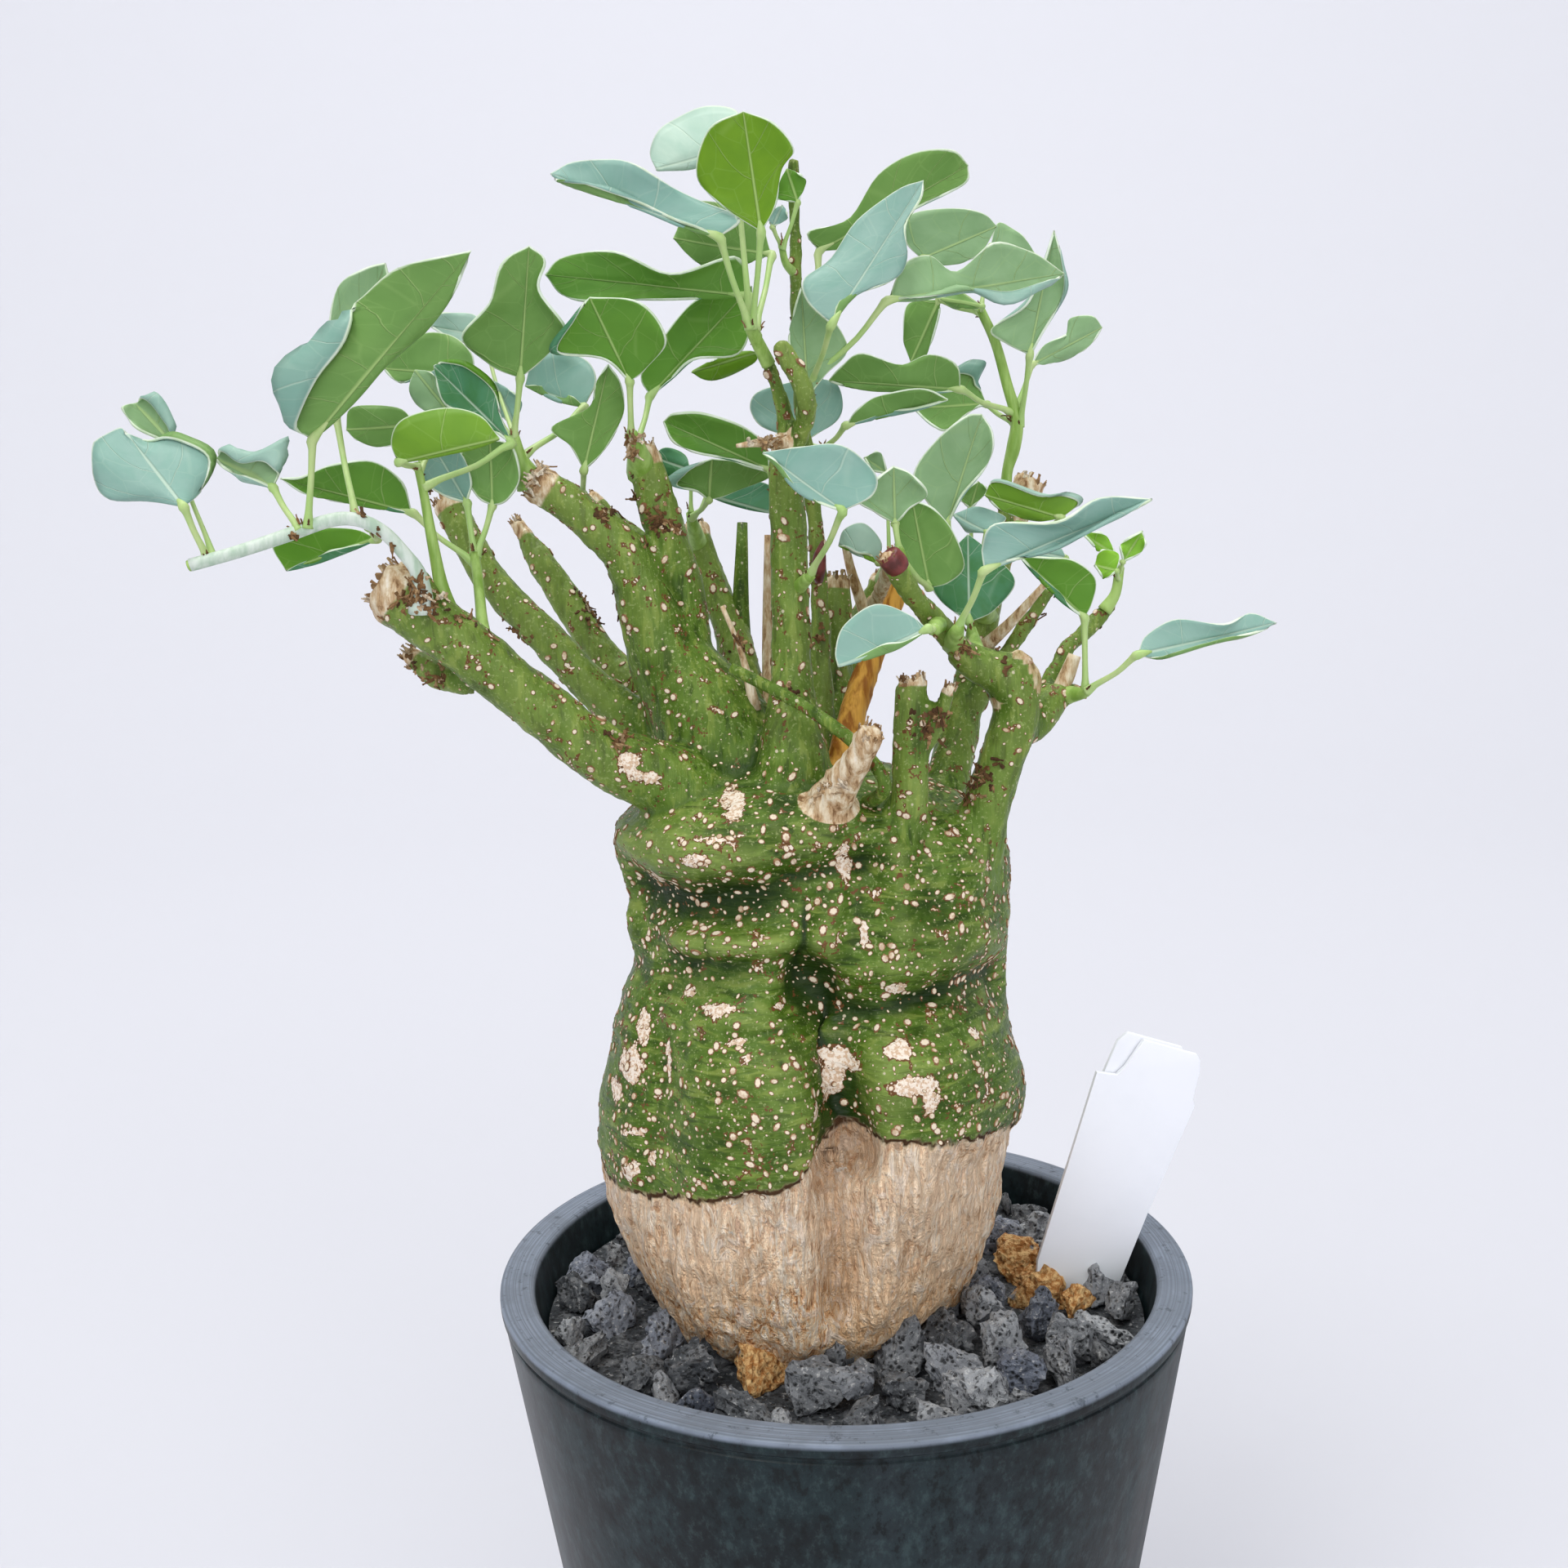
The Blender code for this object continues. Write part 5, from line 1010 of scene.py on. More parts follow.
def hollows(mesh, places, normals, rounds):
    """How far each place lies under (+) or over (-) the surface smoothed this many rounds, in mm."""
    edges = np.empty(len(mesh.edges) * 2, np.int32)
    mesh.edges.foreach_get("vertices", edges)
    a, b = edges.reshape(-1, 2).T
    count = len(places)
    degree = np.bincount(a, minlength=count) + np.bincount(b, minlength=count)
    smooth = places.copy()
    for _ in range(rounds):
        for axis in range(3):
            value = smooth[:, axis]
            total = np.bincount(a, value[b], count) + np.bincount(b, value[a], count)
            smooth[:, axis] = 0.4 * value + 0.6 * total / degree
    return ((smooth - places) * normals).sum(1)


def cork_share(places):
    """1 where the caudex is bare cork, below a line read from the photograph and level behind."""
    levels = trunk_levels(1)
    edge = []
    for x, y in CORK_LINE:
        row = min(levels, key=lambda level: abs(level[0] - y))
        size = pixel_size(TRUNK_DEPTH)
        share = min(abs((x - 985) * size / row[2]), 0.98)
        place = photo_point(x, y, TRUNK_DEPTH - row[3] * math.sqrt(1 - share * share))
        edge.append((math.degrees(math.atan2(place.x - row[1], TRUNK_DEPTH - place.y)), place.z))
    edge.sort()
    angles = [edge[-1][0] - 360] + [a for a, _ in edge] + [edge[0][0] + 360]
    heights = [edge[-1][1]] + [z for _, z in edge] + [edge[0][1]]
    middle = levels[6][1]
    turn = np.degrees(np.arctan2(places[:, 0] - middle, TRUNK_DEPTH - places[:, 1]))
    line = np.interp(turn, angles, heights)
    ragged = 0.7 * noise_field(places, (0.5, 0.5, 0.25), 3.0) + 0.5 * noise_field(places, (1.3, 1.3, 0.9), 8.0)
    return smooth_step(0.5, -0.5, places[:, 2] - line + ragged)


def branch_marks(places):
    """How dry and how amber each place is, from the branch it lies on, and whether it lies on a branch at all."""
    best = np.full(len(places), 1e9)
    dry, amber, limb = np.zeros(len(places)), np.zeros(len(places)), np.zeros(len(places))
    for name in BRANCHES:
        if name in FINE_BRANCHES:
            continue
        route = branch_route(name, 3)
        spans = np.linalg.norm(np.diff(route[:, :3], axis=0), axis=1)
        left = spans.sum() - np.concatenate([[0], np.cumsum(spans)])
        for index, (a, b) in enumerate(zip(route, route[1:])):
            away, share = segment_distance(places, a[:3], b[:3])
            away = away - (a[3] + (b[3] - a[3]) * share)
            nearer = away < best
            best = np.where(nearer, away, best)
            remains = left[index] + (left[index + 1] - left[index]) * share
            end = CUT_ENDS.get(name, 0.0)
            own = DRY_BRANCHES.get(name, 0.0)
            tip = smooth_step(end, end * 0.35, remains) if end else 0.0
            dry = np.where(nearer, np.maximum(own, tip), dry)
            amber = np.where(nearer, 1.0 if name == "amber_stem" else 0.0, amber)
    limb = smooth_step(1.4, 0.4, best)
    return dry * limb, amber * limb, limb


def bark_look(settings):
    look = Look("living_bark")
    clouds = look.noise(70, 3, 0.6)
    mottle = look.noise(330, 3, 0.68)
    limb = look.attribute("limb")
    along = look.noise(650, 3, 0.6, look.mapped((1, 1, 0.16)))
    around = look.noise(520, 3, 0.62, look.mapped((0.30, 0.30, 1.5)), warp=0.5)
    speck = look.noise(2100, 2, 0.6)
    grain = look.mix(limb, around, along)
    green = look.ramp(look.math("ADD", look.math("MULTIPLY", clouds, 0.5), look.math("MULTIPLY", mottle, 0.5)),
                      (0.34, colour("#2B430A")), (0.46, colour("#435F12")), (0.56, tuple(settings.bark)),
                      (0.70, colour("#87964A")))
    green = look.mix(look.math("MULTIPLY", limb, 0.35), green, colour("#688632"))
    green = look.mix(look.band(grain, 0.34, 0.47, 0.7, 0), green, colour("#263C0A"))
    green = look.mix(look.band(grain, 0.54, 0.66, 0, 0.5), green, colour("#93A34C"))
    # Fine pale specks: partly the skin's own flecks, partly painted glints of light.
    green = look.mix(look.band(speck, 0.57, 0.68, 0, 0.4), green, colour("#B4BE80"))
    hollow = look.attribute("hollow")
    # Painted shade: darker green where the skin lies in a hollow.
    green = look.mix(look.band(hollow, 0.05, 1.5, 0, 0.85), green, colour("#1A330A"))
    # Painted highlight: paler green where the skin swells out.
    green = look.mix(look.band(hollow, -0.3, -1.6, 0, 0.4), green, colour("#93A556"))
    # Painted shade from the crease attribute: grooves, under shelves, shade patches and the scar's middle.
    green = look.mix(look.band(look.attribute("crease"), 0.25, 0.95, 0, 0.85), green, colour("#14260A"))
    dots = look.math("MULTIPLY", look.band(look.cells(560), 0.10, 0.17, 1, 0), look.band(mottle, 0.47, 0.53))
    green = look.mix(look.math("MULTIPLY", dots, 0.8), green, colour("#D8CDB0"))
    fibres = look.noise(1050, 4, 0.78, look.mapped((1, 1, 0.22)), warp=0.9)
    chips = look.noise(360, 3, 0.8, look.mapped((1, 1, 0.6)), warp=0.8)
    place = look.nodes.new("ShaderNodeSeparateXYZ")
    look.links.new(look.coords, place.inputs[0])
    level = look.math("ADD", place.outputs["Z"], look.math("MULTIPLY", clouds, 0.03))
    pale = look.band(level, 0.112, 0.128)
    cork = look.ramp(fibres, (0.36, colour("#9C6238")), (0.44, colour("#EAB47E")), (0.52, colour("#FFE0B6")),
                     (0.62, colour("#FFF3DE")))
    cork = look.mix(look.band(clouds, 0.46, 0.60, 0, 0.55), cork, tuple(settings.cork))
    cork = look.mix(look.math("MULTIPLY", pale, 0.45), cork, colour("#F8E2C8"))
    cork = look.mix(look.band(chips, 0.54, 0.63, 0, 0.6), cork, colour("#FFEFDC"))
    cork = look.mix(look.band(chips, 0.42, 0.35, 0, 0.6), cork, colour("#AF7A4C"))
    # Painted shade: darker brown in the cork's hollows.
    cork = look.mix(look.band(hollow, 0.3, 1.6, 0, 0.45), cork, colour("#AC7C50"))
    share = look.attribute("cork")
    base = look.mix(share, green, cork)
    lip = look.math("MULTIPLY", look.band(share, 0.03, 0.3), look.band(share, 0.97, 0.6))
    base = look.mix(look.math("MULTIPLY", lip, look.band(mottle, 0.36, 0.50)), base, colour("#4A3018"))
    ragged = look.math("MULTIPLY", look.math("SUBTRACT", look.noise(400, 3, 0.75), 0.5), 3.2)
    patch = look.math("ADD", look.attribute("patch"), ragged)
    scab = look.math("MULTIPLY", look.band(patch, 0.34, 0.44), look.band(patch, 0.60, 0.55))
    scab = look.math("MULTIPLY", scab, look.math("SUBTRACT", 1.0, share))
    base = look.mix(scab, base, colour("#6B4526"))
    flake_share = look.band(patch, 0.54, 0.62)
    flake = look.mix(look.band(speck, 0.42, 0.54), colour("#D2B496"), colour("#F0E3D2"))
    base = look.mix(flake_share, base, flake)
    dry = look.ramp(look.noise(900, 4, 0.65, look.mapped((1, 1, 0.3))), (0.32, colour("#7A5838")),
                    (0.45, colour("#BFA079")), (0.60, colour("#E2D2B4")), (0.72, colour("#F3EADA")))
    dryness = look.band(look.math("ADD", look.attribute("dry"), look.math("MULTIPLY", mottle, 0.5)), 0.6, 0.9)
    base = look.mix(dryness, base, dry)
    ripe = look.mix(look.band(along, 0.38, 0.62), colour("#9A5F1E"), colour("#DDA548"))
    base = look.mix(look.attribute("amber"), base, ripe)
    rough = look.math("ADD", look.band(mottle, 0.3, 0.7, 0.36, 0.54), look.math("MULTIPLY", share, 0.35))
    rough = look.math("ADD", rough, look.math("MULTIPLY", dryness, 0.3))
    crust = look.math("MULTIPLY", look.math("ADD", fibres, chips), share)
    height = look.math("ADD", look.math("MULTIPLY", grain, 0.5), look.math("MULTIPLY", crust, 1.7))
    return look.finish(base, rough, look.bump(height, 1.0, 0.9), Specular_IOR_Level=0.2)


def make_caudex(settings):
    names = [name for name in BRANCHES if name not in FINE_BRANCHES]
    pieces = [make_trunk(5, 96)] + [photo_tube(name, BRANCHES[name], 5, 5) for name in names]
    body = join("caudex_body", pieces)
    skin = body.modifiers.new("skin", "REMESH")
    skin.mode = "VOXEL"
    skin.voxel_size = settings.voxel * MM
    apply_modifiers(body)
    soften = body.modifiers.new("soften", "SMOOTH")
    soften.factor = 0.5
    soften.iterations = 5
    apply_modifiers(body)
    mesh = body.data
    places, normals = vertex_places(mesh) / MM, vertex_normals(mesh)
    lift, crease, patch = carve(places, normals)
    cork = cork_share(places)
    dry, amber, limb = branch_marks(places)
    trunk = 1 - limb
    lift += trunk * (0.32 * noise_field(places, (0.16, 0.16, 0.3), 1.0) + 0.16 * noise_field(places, (0.4, 0.4, 1.1), 5.0))
    lift += 0.10 * noise_field(places, (0.9, 0.9, 0.9), 7.0)
    lift += limb * (0.32 * noise_field(places, (0.3, 0.3, 0.2), 9.0) + 0.14 * noise_field(places, (0.8, 0.8, 0.6), 13.0))
    lift += dry * 0.45 * noise_field(places, (1.1, 1.1, 0.4), 11.0)
    lift += 0.15 * smooth_step(0.35, 0.8, patch) - 0.35 * cork
    lift += cork * trunk * (1.0 * noise_field(places, (0.22, 0.22, 0.05), 41.0) + 0.4 * noise_field(places, (0.75, 0.75, 0.2), 43.0))
    move_vertices(mesh, (places + normals * lift[:, None]) * MM)
    places, normals = vertex_places(mesh) / MM, vertex_normals(mesh)
    hollow = hollows(mesh, places, normals, 90)
    clusters = smooth_step(-0.35, 0.45, noise_field(places, (0.12, 0.12, 0.12), 31.0))
    line = cork_share(places + np.array((0.0, 0.0, -4.5)))
    speckle = (1 - cork) * (1 - np.clip(dry * 1.6, 0, 1)) * (1 - amber)
    speckle *= np.clip(trunk * (0.55 + 0.7 * clusters + 1.2 * line + 0.9 * crease) + 0.36 * limb, 0, 1)
    for name, values in (("cork", cork), ("dry", dry), ("amber", amber), ("limb", limb), ("crease", crease),
                         ("patch", patch), ("hollow", hollow), ("speckle", speckle)):
        set_attribute(mesh, name, values)
    mesh.materials.clear()
    bark = bark_look(settings)
    mesh.materials.append(bark)
    mesh.shade_smooth()
    twigs = join("dry_twigs", [photo_tube(name, BRANCHES[name], 3, 4) for name in FINE_BRANCHES], [bark])
    places = vertex_places(twigs.data) / MM
    dry = np.zeros(len(places))
    for name in FINE_BRANCHES:
        route = branch_route(name, 2)
        for a, b in zip(route, route[1:]):
            away, share = segment_distance(places, a[:3], b[:3])
            dry = np.where(away < 1.15 * (a[3] + (b[3] - a[3]) * share) + 0.1, DRY_BRANCHES.get(name, 0.0), dry)
    for name, values in (("dry", dry), ("limb", np.ones(len(dry)))):
        set_attribute(twigs.data, name, values)
    twigs.data.shade_smooth()
    dress(twigs, "caudex_bark")
    red = plain_look("red_bud_skin", colour("#4E1A14"), colour("#7A3330"), 0.45, 500)
    buds = join("red_parts", [photo_tube(name, route, 6, 4) for name, route in RED_PARTS.items()], [red])
    buds.data.shade_smooth()
    dress(buds, "caudex_bark")
    return dress(body, "caudex_bark", "caudex")


# Lenticels
LENTICEL_SIDES = 7


def lenticel_seed():
    """A low warty disc: raised rim, sunken pale middle."""
    shape = bmesh.new()
    rings = []
    for radius, height, core in ((1.15, -0.25, 0.0), (0.88, 0.28, 0.1), (0.50, 0.36, 1.0)):
        rings.append([(shape.verts.new((radius * math.cos(a), radius * math.sin(a), height)), core)
                      for a in (math.tau * (i + 0.5 * len(rings)) / LENTICEL_SIDES for i in range(LENTICEL_SIDES))])
    peak = (shape.verts.new((0, 0, 0.20)), 1.0)
    for lower, upper in zip(rings, rings[1:]):
        for index in range(LENTICEL_SIDES):
            after = (index + 1) % LENTICEL_SIDES
            shape.faces.new((lower[index][0], lower[after][0], upper[after][0], upper[index][0]))
    for index in range(LENTICEL_SIDES):
        shape.faces.new((rings[-1][index][0], rings[-1][(index + 1) % LENTICEL_SIDES][0], peak[0]))
    cores = [core for ring in rings for _, core in ring] + [peak[1]]
    seed = bmesh_object("lenticel_seed", shape)
    set_attribute(seed.data, "core", cores)
    return seed


def lenticel_tree():
    tree, given, out = node_tree("lenticels", (
        ("Seed shape", "Object", None), ("Density", "Float", 60000.0), ("Spacing", "Float", 0.00062),
        ("Smallest", "Float", 0.0002), ("Largest", "Float", 0.0008), ("Seed", "Int", 4),
        ("Material", "Material", None)))
    share = tree_node(tree, "GeometryNodeInputNamedAttribute", {"Name": "speckle"}, data_type="FLOAT")
    spread = tree_node(tree, "GeometryNodeDistributePointsOnFaces", {
        "Mesh": given["Geometry"], "Seed": given["Seed"]}, distribute_method="POISSON")
    tree.links.new(given["Spacing"], spread.inputs["Distance Min"])
    tree.links.new(given["Density"], spread.inputs["Density Max"])
    tree.links.new(share.outputs["Attribute"], spread.inputs["Density Factor"])
    shape = tree_node(tree, "GeometryNodeObjectInfo", {"Object": given["Seed shape"]})
    draw = tree_node(tree, "FunctionNodeRandomValue", {"Seed": 2}, data_type="FLOAT")
    power = tree_node(tree, "ShaderNodeMath", {0: draw.outputs[1], 1: 2.4}, operation="POWER")
    size = tree_node(tree, "ShaderNodeMapRange", {"Value": power.outputs["Value"]})
    tree.links.new(given["Smallest"], size.inputs["To Min"])
    tree.links.new(given["Largest"], size.inputs["To Max"])
    stretch = tree_node(tree, "FunctionNodeRandomValue", {"Seed": 7}, data_type="FLOAT_VECTOR")
    stretch.inputs["Min"].default_value = (0.75, 0.65, 0.5)
    stretch.inputs["Max"].default_value = (1.45, 1.0, 0.9)
    scale = tree_node(tree, "ShaderNodeVectorMath", {0: stretch.outputs["Value"]}, operation="SCALE")
    tree.links.new(size.outputs["Result"], scale.inputs["Scale"])
    spin = tree_node(tree, "FunctionNodeRandomValue", {"Seed": 11}, data_type="FLOAT")
    spin.inputs[3].default_value = math.tau
    turn = tree_node(tree, "FunctionNodeRotateEuler", {"Rotation": spread.outputs["Rotation"]},
                     rotation_type="AXIS_ANGLE", space="LOCAL")
    turn.inputs["Axis"].default_value = (0, 0, 1)
    tree.links.new(spin.outputs[1], turn.inputs["Angle"])
    place = tree_node(tree, "GeometryNodeInstanceOnPoints", {
        "Points": spread.outputs["Points"], "Instance": shape.outputs["Geometry"],
        "Rotation": turn.outputs["Rotation"], "Scale": scale.outputs["Vector"]})
    real = tree_node(tree, "GeometryNodeRealizeInstances", {"Geometry": place.outputs["Instances"]})
    look = tree_node(tree, "GeometryNodeSetMaterial", {
        "Geometry": real.outputs["Geometry"], "Material": given["Material"]})
    tree.links.new(look.outputs["Geometry"], out)
    return tree


def lenticel_look():
    look = Look("lenticel_cork")
    core = look.band(look.attribute("core"), 0.15, 0.7)
    base = look.mix(core, colour("#7B5230"), colour("#EBDCC2"))
    base = look.mix(look.band(look.noise(700, 3), 0.5, 0.66, 0, 0.6), base, colour("#B08A60"))
    return look.finish(base, 0.8, look.bump(look.noise(2500, 3), 0.08, 0.6))


def make_lenticels(settings, body):
    seed = lenticel_seed()
    spots = new_object("lenticels", body.data.copy())
    grow_nodes(spots, lenticel_tree(), {
        "Seed shape": seed, "Density": settings.lenticel_density, "Smallest": settings.lenticel_small * MM,
        "Largest": settings.lenticel_large * MM, "Material": lenticel_look()})
    remove([seed])
    spots.data.shade_smooth()
    return dress(spots, "caudex_bark")


# Dry scales
def shown_branches():
    """Samples of every branch and stem: place and radius in mm, heading, and pixel."""
    routes = list(BRANCHES.values()) + [route for stems, _ in SHOOTS.values() for route in stems]
    samples, headings = [], []
    for route in routes:
        line = np.array(smooth_route([(*photo_point(x, y, depth), width * pixel_size(depth) / 2)
                                      for x, y, depth, width in route], 10))
        ahead = np.gradient(line[:, :3], axis=0)
        samples.append(line)
        headings.append(ahead / np.linalg.norm(ahead, axis=1)[:, None])
    samples, headings = np.concatenate(samples), np.concatenate(headings)
    return samples, headings, photo_pixels(samples[:, :3])


def make_scale(shape, place, heading, outward, length, width, curl, tint, marks):
    """One dry scale: a bent, pointed plate that stands on the bark at its foot."""
    side = heading.cross(outward).normalized()
    rows = []
    for index in range(5):
        share = index / 4
        half = width / 2 * (1 - 0.55 * share + 0.25 * math.sin(share * 9.0 + width * 7.0))
        middle = place + heading * length * share + outward * curl * length * share * share
        rows.append([shape.verts.new((middle + side * half * s + outward * lift) * MM)
                     for s, lift in ((-1, 0.0), (0, 0.13), (1, 0.0), (0, -0.12))])
    for lower, upper in zip(rows, rows[1:]):
        for index in range(4):
            after = (index + 1) % 4
            shape.faces.new((lower[index], lower[after], upper[after], upper[index]))
    shape.faces.new(rows[0][::-1])
    shape.faces.new(rows[-1])
    marks.extend([tint] * 20)


def scale_look():
    look = Look("dry_scale")
    grain = look.noise(1500, 4, 0.65)
    base = look.ramp(look.attribute("tint"), (0.0, colour("#47301C")), (0.35, colour("#84613C")),
                     (0.65, colour("#B8986E")), (1.0, colour("#E6D9C2")))
    base = look.mix(look.band(grain, 0.4, 0.62, 0.55, 0), base, colour("#523A22"))
    return look.finish(base, 0.8, look.bump(grain, 0.12, 0.8), Specular_IOR_Level=0.25)


def make_scales(settings):
    rng = random.Random(settings.seed)
    shape, marks = bmesh.new(), []
    samples, headings, pixels = shown_branches()
    for name, reach in CUT_ENDS.items():
        line = branch_route(name, 4)
        end, radius = Vector(line[-1][:3]), float(line[-1][3])
        heading = (end - Vector(line[-3][:3])).normalized()
        across = heading.orthogonal().normalized()
        count = int(7 + radius * 5)
        for index in range(count):
            outward = (Matrix.Rotation(math.tau * (index + rng.random()) / count, 3, heading) @ across)
            length = rng.uniform(0.5, 1.0) * (0.8 + 0.28 * radius)
            foot = end + outward * radius * 0.86 - heading * (rng.uniform(0.4, 1.0) * length + 0.2)
            make_scale(shape, foot, heading, outward, length * 1.3, rng.uniform(0.4, 0.9) * (0.6 + 0.25 * radius),
                       rng.uniform(-0.25, 0.35), rng.uniform(0.35, 1.0), marks)
    for x, y, spread, count, tint in SCALE_SPOTS:
        for _ in range(2 * count):
            px, py = x + rng.gauss(0, 0.7 * spread), y + rng.gauss(0, 0.7 * spread)
            away = np.hypot(pixels[:, 0] - px, pixels[:, 1] - py)
            near = away < samples[:, 3] / np.array([pixel_size(d) for d in samples[:, 1]]) + 6
            if not near.any():
                continue
            chosen = int(np.argmin(np.where(near, samples[:, 1] - samples[:, 3], 1e9)))
            centre, radius = Vector(samples[chosen][:3]), float(samples[chosen][3])
            goal = photo_point(px, py, centre.y)
            toward = (Vector(CAMERA_PLACE) - centre).normalized()
            aside = goal - centre
            aside -= Vector(headings[chosen]) * aside.dot(Vector(headings[chosen]))
            sine = min(aside.length / max(radius, 0.1), 0.95)
            outward = (aside.normalized() * sine + toward * math.sqrt(1 - sine * sine)).normalized()
            heading = Vector((rng.gauss(0, 1), rng.gauss(0, 1), rng.gauss(0, 1)))
            heading = (heading - outward * (heading.dot(outward) - 0.12)).normalized()
            foot = centre + outward * radius * 0.98
            outward = (outward - heading * outward.dot(heading)).normalized()
            length = rng.uniform(0.5, 1.2) if rng.random() < 0.85 else rng.uniform(1.3, 2.2)
            make_scale(shape, foot, heading, outward, length, rng.uniform(0.5, 1.0) if length < 1.3 else 0.55,
                       rng.uniform(0.0, 0.35), min(max(rng.gauss(tint, 0.2), 0), 1), marks)
    for stems, leaves in SHOOTS.values():
        for leaf in leaves:
            start, base = Vector(photo_point(*leaf.stem)), Vector(leaf.midrib(0.0))
            heading = (base - start).normalized()
            for _ in range(1 if leaf.small else 2):
                outward = (Matrix.Rotation(rng.uniform(0, math.tau), 3, heading) @ heading.orthogonal().normalized())
                make_scale(shape, start + outward * 0.75 + heading * 0.5, heading, outward,
                           rng.uniform(0.6, 1.3), rng.uniform(0.3, 0.5), 0.3, rng.uniform(0.05, 0.5), marks)
    bmesh.ops.recalc_face_normals(shape, faces=shape.faces)
    scales = bmesh_object("dry_scales", shape)
    set_attribute(scales.data, "tint", marks)
    scales.data.materials.append(scale_look())
    return dress(scales, "caudex_bark")


# Leaves
def on_route(places, share):
    """A place along a Catmull-Rom curve through places, share from 0 to 1."""
    span = min(int(share * (len(places) - 1)), len(places) - 2)
    t = share * (len(places) - 1) - span
    b, c = places[span], places[span + 1]
    a = places[span - 1] if span else 2 * b - c
    d = places[span + 2] if span + 2 < len(places) else 2 * c - b
    return 0.5 * (2 * b + (c - a) * t + (2 * a - 5 * b + 4 * c - d) * t * t + (3 * b - a - 3 * c + d) * t ** 3)


# Each look of a leaf: which side is seen, and its tone from 0, deep, to 1, pale or young
LEAF_LOOKS = {
    "G": (True, 0.5), "P": (True, 1.0), "T": (True, 0.0),
    "U": (False, 0.45), "D": (False, 0.0), "L": (False, 0.7), "B": (False, 0.85), "Y": (False, 1.0),
}


class Leaf:
    """One leaf, read from the photograph.

    stem is where its petiole starts, base and tip are the ends of the midrib, and left and right list the
    margins from base to tip. depth is the depth of the base in mm. lean and turn tilt the blade: mm of depth
    for each mm up and to the right. cup lifts the margins and bow lifts the middle of the midrib, in mm. wave
    is the height in mm, the count and the phase of the waves along the margins. look names the side and tone
    that the photograph shows. fold lists curled margins: -1 left or 1 right, the shares along the blade where it
    starts and ends, its width as a share of the half blade, and its rise in mm.
    """

    def __init__(self, look, stem, base, tip, left, right, depth, lean=0.0, turn=0.0, cup=0.0, bow=0.0,
                 wave=(0.5, 1.5, 0.0), small=False, fold=()):
        self.look, self.stem, self.base, self.tip = look, stem, base, tip
        self.depth, self.lean, self.turn, self.cup, self.bow = depth, lean, turn, cup, bow
        self.wave, self.small, self.fold = wave, small, fold
        base, tip = self.place(base), self.place(tip)
        self.start, self.reach = base, tip - base
        self.margins = [[base] + [self.place(p) for p in side] + [tip] for side in (left, right)]
        middle = [side[len(side) // 2] for side in self.margins]
        normal = np.cross(middle[1] - middle[0], self.reach)
        self.normal = normal / np.linalg.norm(normal)
        self.toward = 1.0 if (np.array(CAMERA_PLACE) - base) @ self.normal > 0 else -1.0
        self.pick = random.Random(int(stem[0] * 31 + stem[1])).random()

    def place(self, pixel):
        """The place of a pixel on the leaf's own tilted plane."""
        size = pixel_size(self.depth)
        depth = self.depth + self.lean * (self.base[1] - pixel[1]) * size
        depth += self.turn * (pixel[0] - self.base[0]) * size
        return np.array(photo_point(pixel[0], pixel[1], depth))

    def midrib(self, along):
        return self.start + self.reach * along + self.normal * self.bow * 4 * along * (1 - along)

    def curled(self, edge, share):
        """Where a curled margin turns back: the new edge, and how far it rises towards the viewer in mm."""
        for side, low, high, width, lift in self.fold:
            if edge * side <= 0:
                continue
            middle, half = (low + high) / 2, (high - low) / 2
            width *= max(0.0, 1 - ((share - middle) / half) ** 2) ** 0.7
            crest = 1 - width
            if width > 0.02:
                if abs(edge) <= crest:
                    return edge / crest, 0.0
                back = (abs(edge) - crest) / width
                return side * (1 - back * width), lift * min(1.0, width * 4) * math.sin(back * math.pi * 0.6)
        return edge, 0.0

    def surface(self, across, along):
        """A place on the blade from disc coordinates, and its (across, along) in mm from the midrib's foot."""
        share = (1 + along) / 2
        edge = min(max(across / math.sqrt(max(1 - along * along, 1e-9)), -1.0), 1.0)
        flat = edge
        edge, curl = self.curled(edge, share)
        middle = self.midrib(share)
        bend = self.cup + 1.6 * (self.pick - 0.5)
        left, right = (on_route(side, share) + self.normal * bend * 4 * share * (1 - share)
                       for side in self.margins)
        height, count, phase = self.wave
        swell = math.sin(math.pi * share)
        ripple = 1.3 * height * edge ** 2 * swell
        ripple *= math.sin(math.tau * (count * share + phase + (0.17 if edge > 0 else 0.0)))
        ripple += 0.35 * height * edge ** 4 * swell * math.sin(math.tau * (3.3 * share + phase * 2 + edge))
        spread, lift = (right - left) / 2, (right + left) / 2 - middle
        dip = -0.3 * math.exp(-(edge / 0.1) ** 2) * swell
        place = middle + spread * edge + lift * edge * edge + self.normal * (ripple + dip)
        place = place + self.normal * self.toward * curl
        return place, (float(np.linalg.norm(spread)) * flat, share * float(np.linalg.norm(self.reach)))


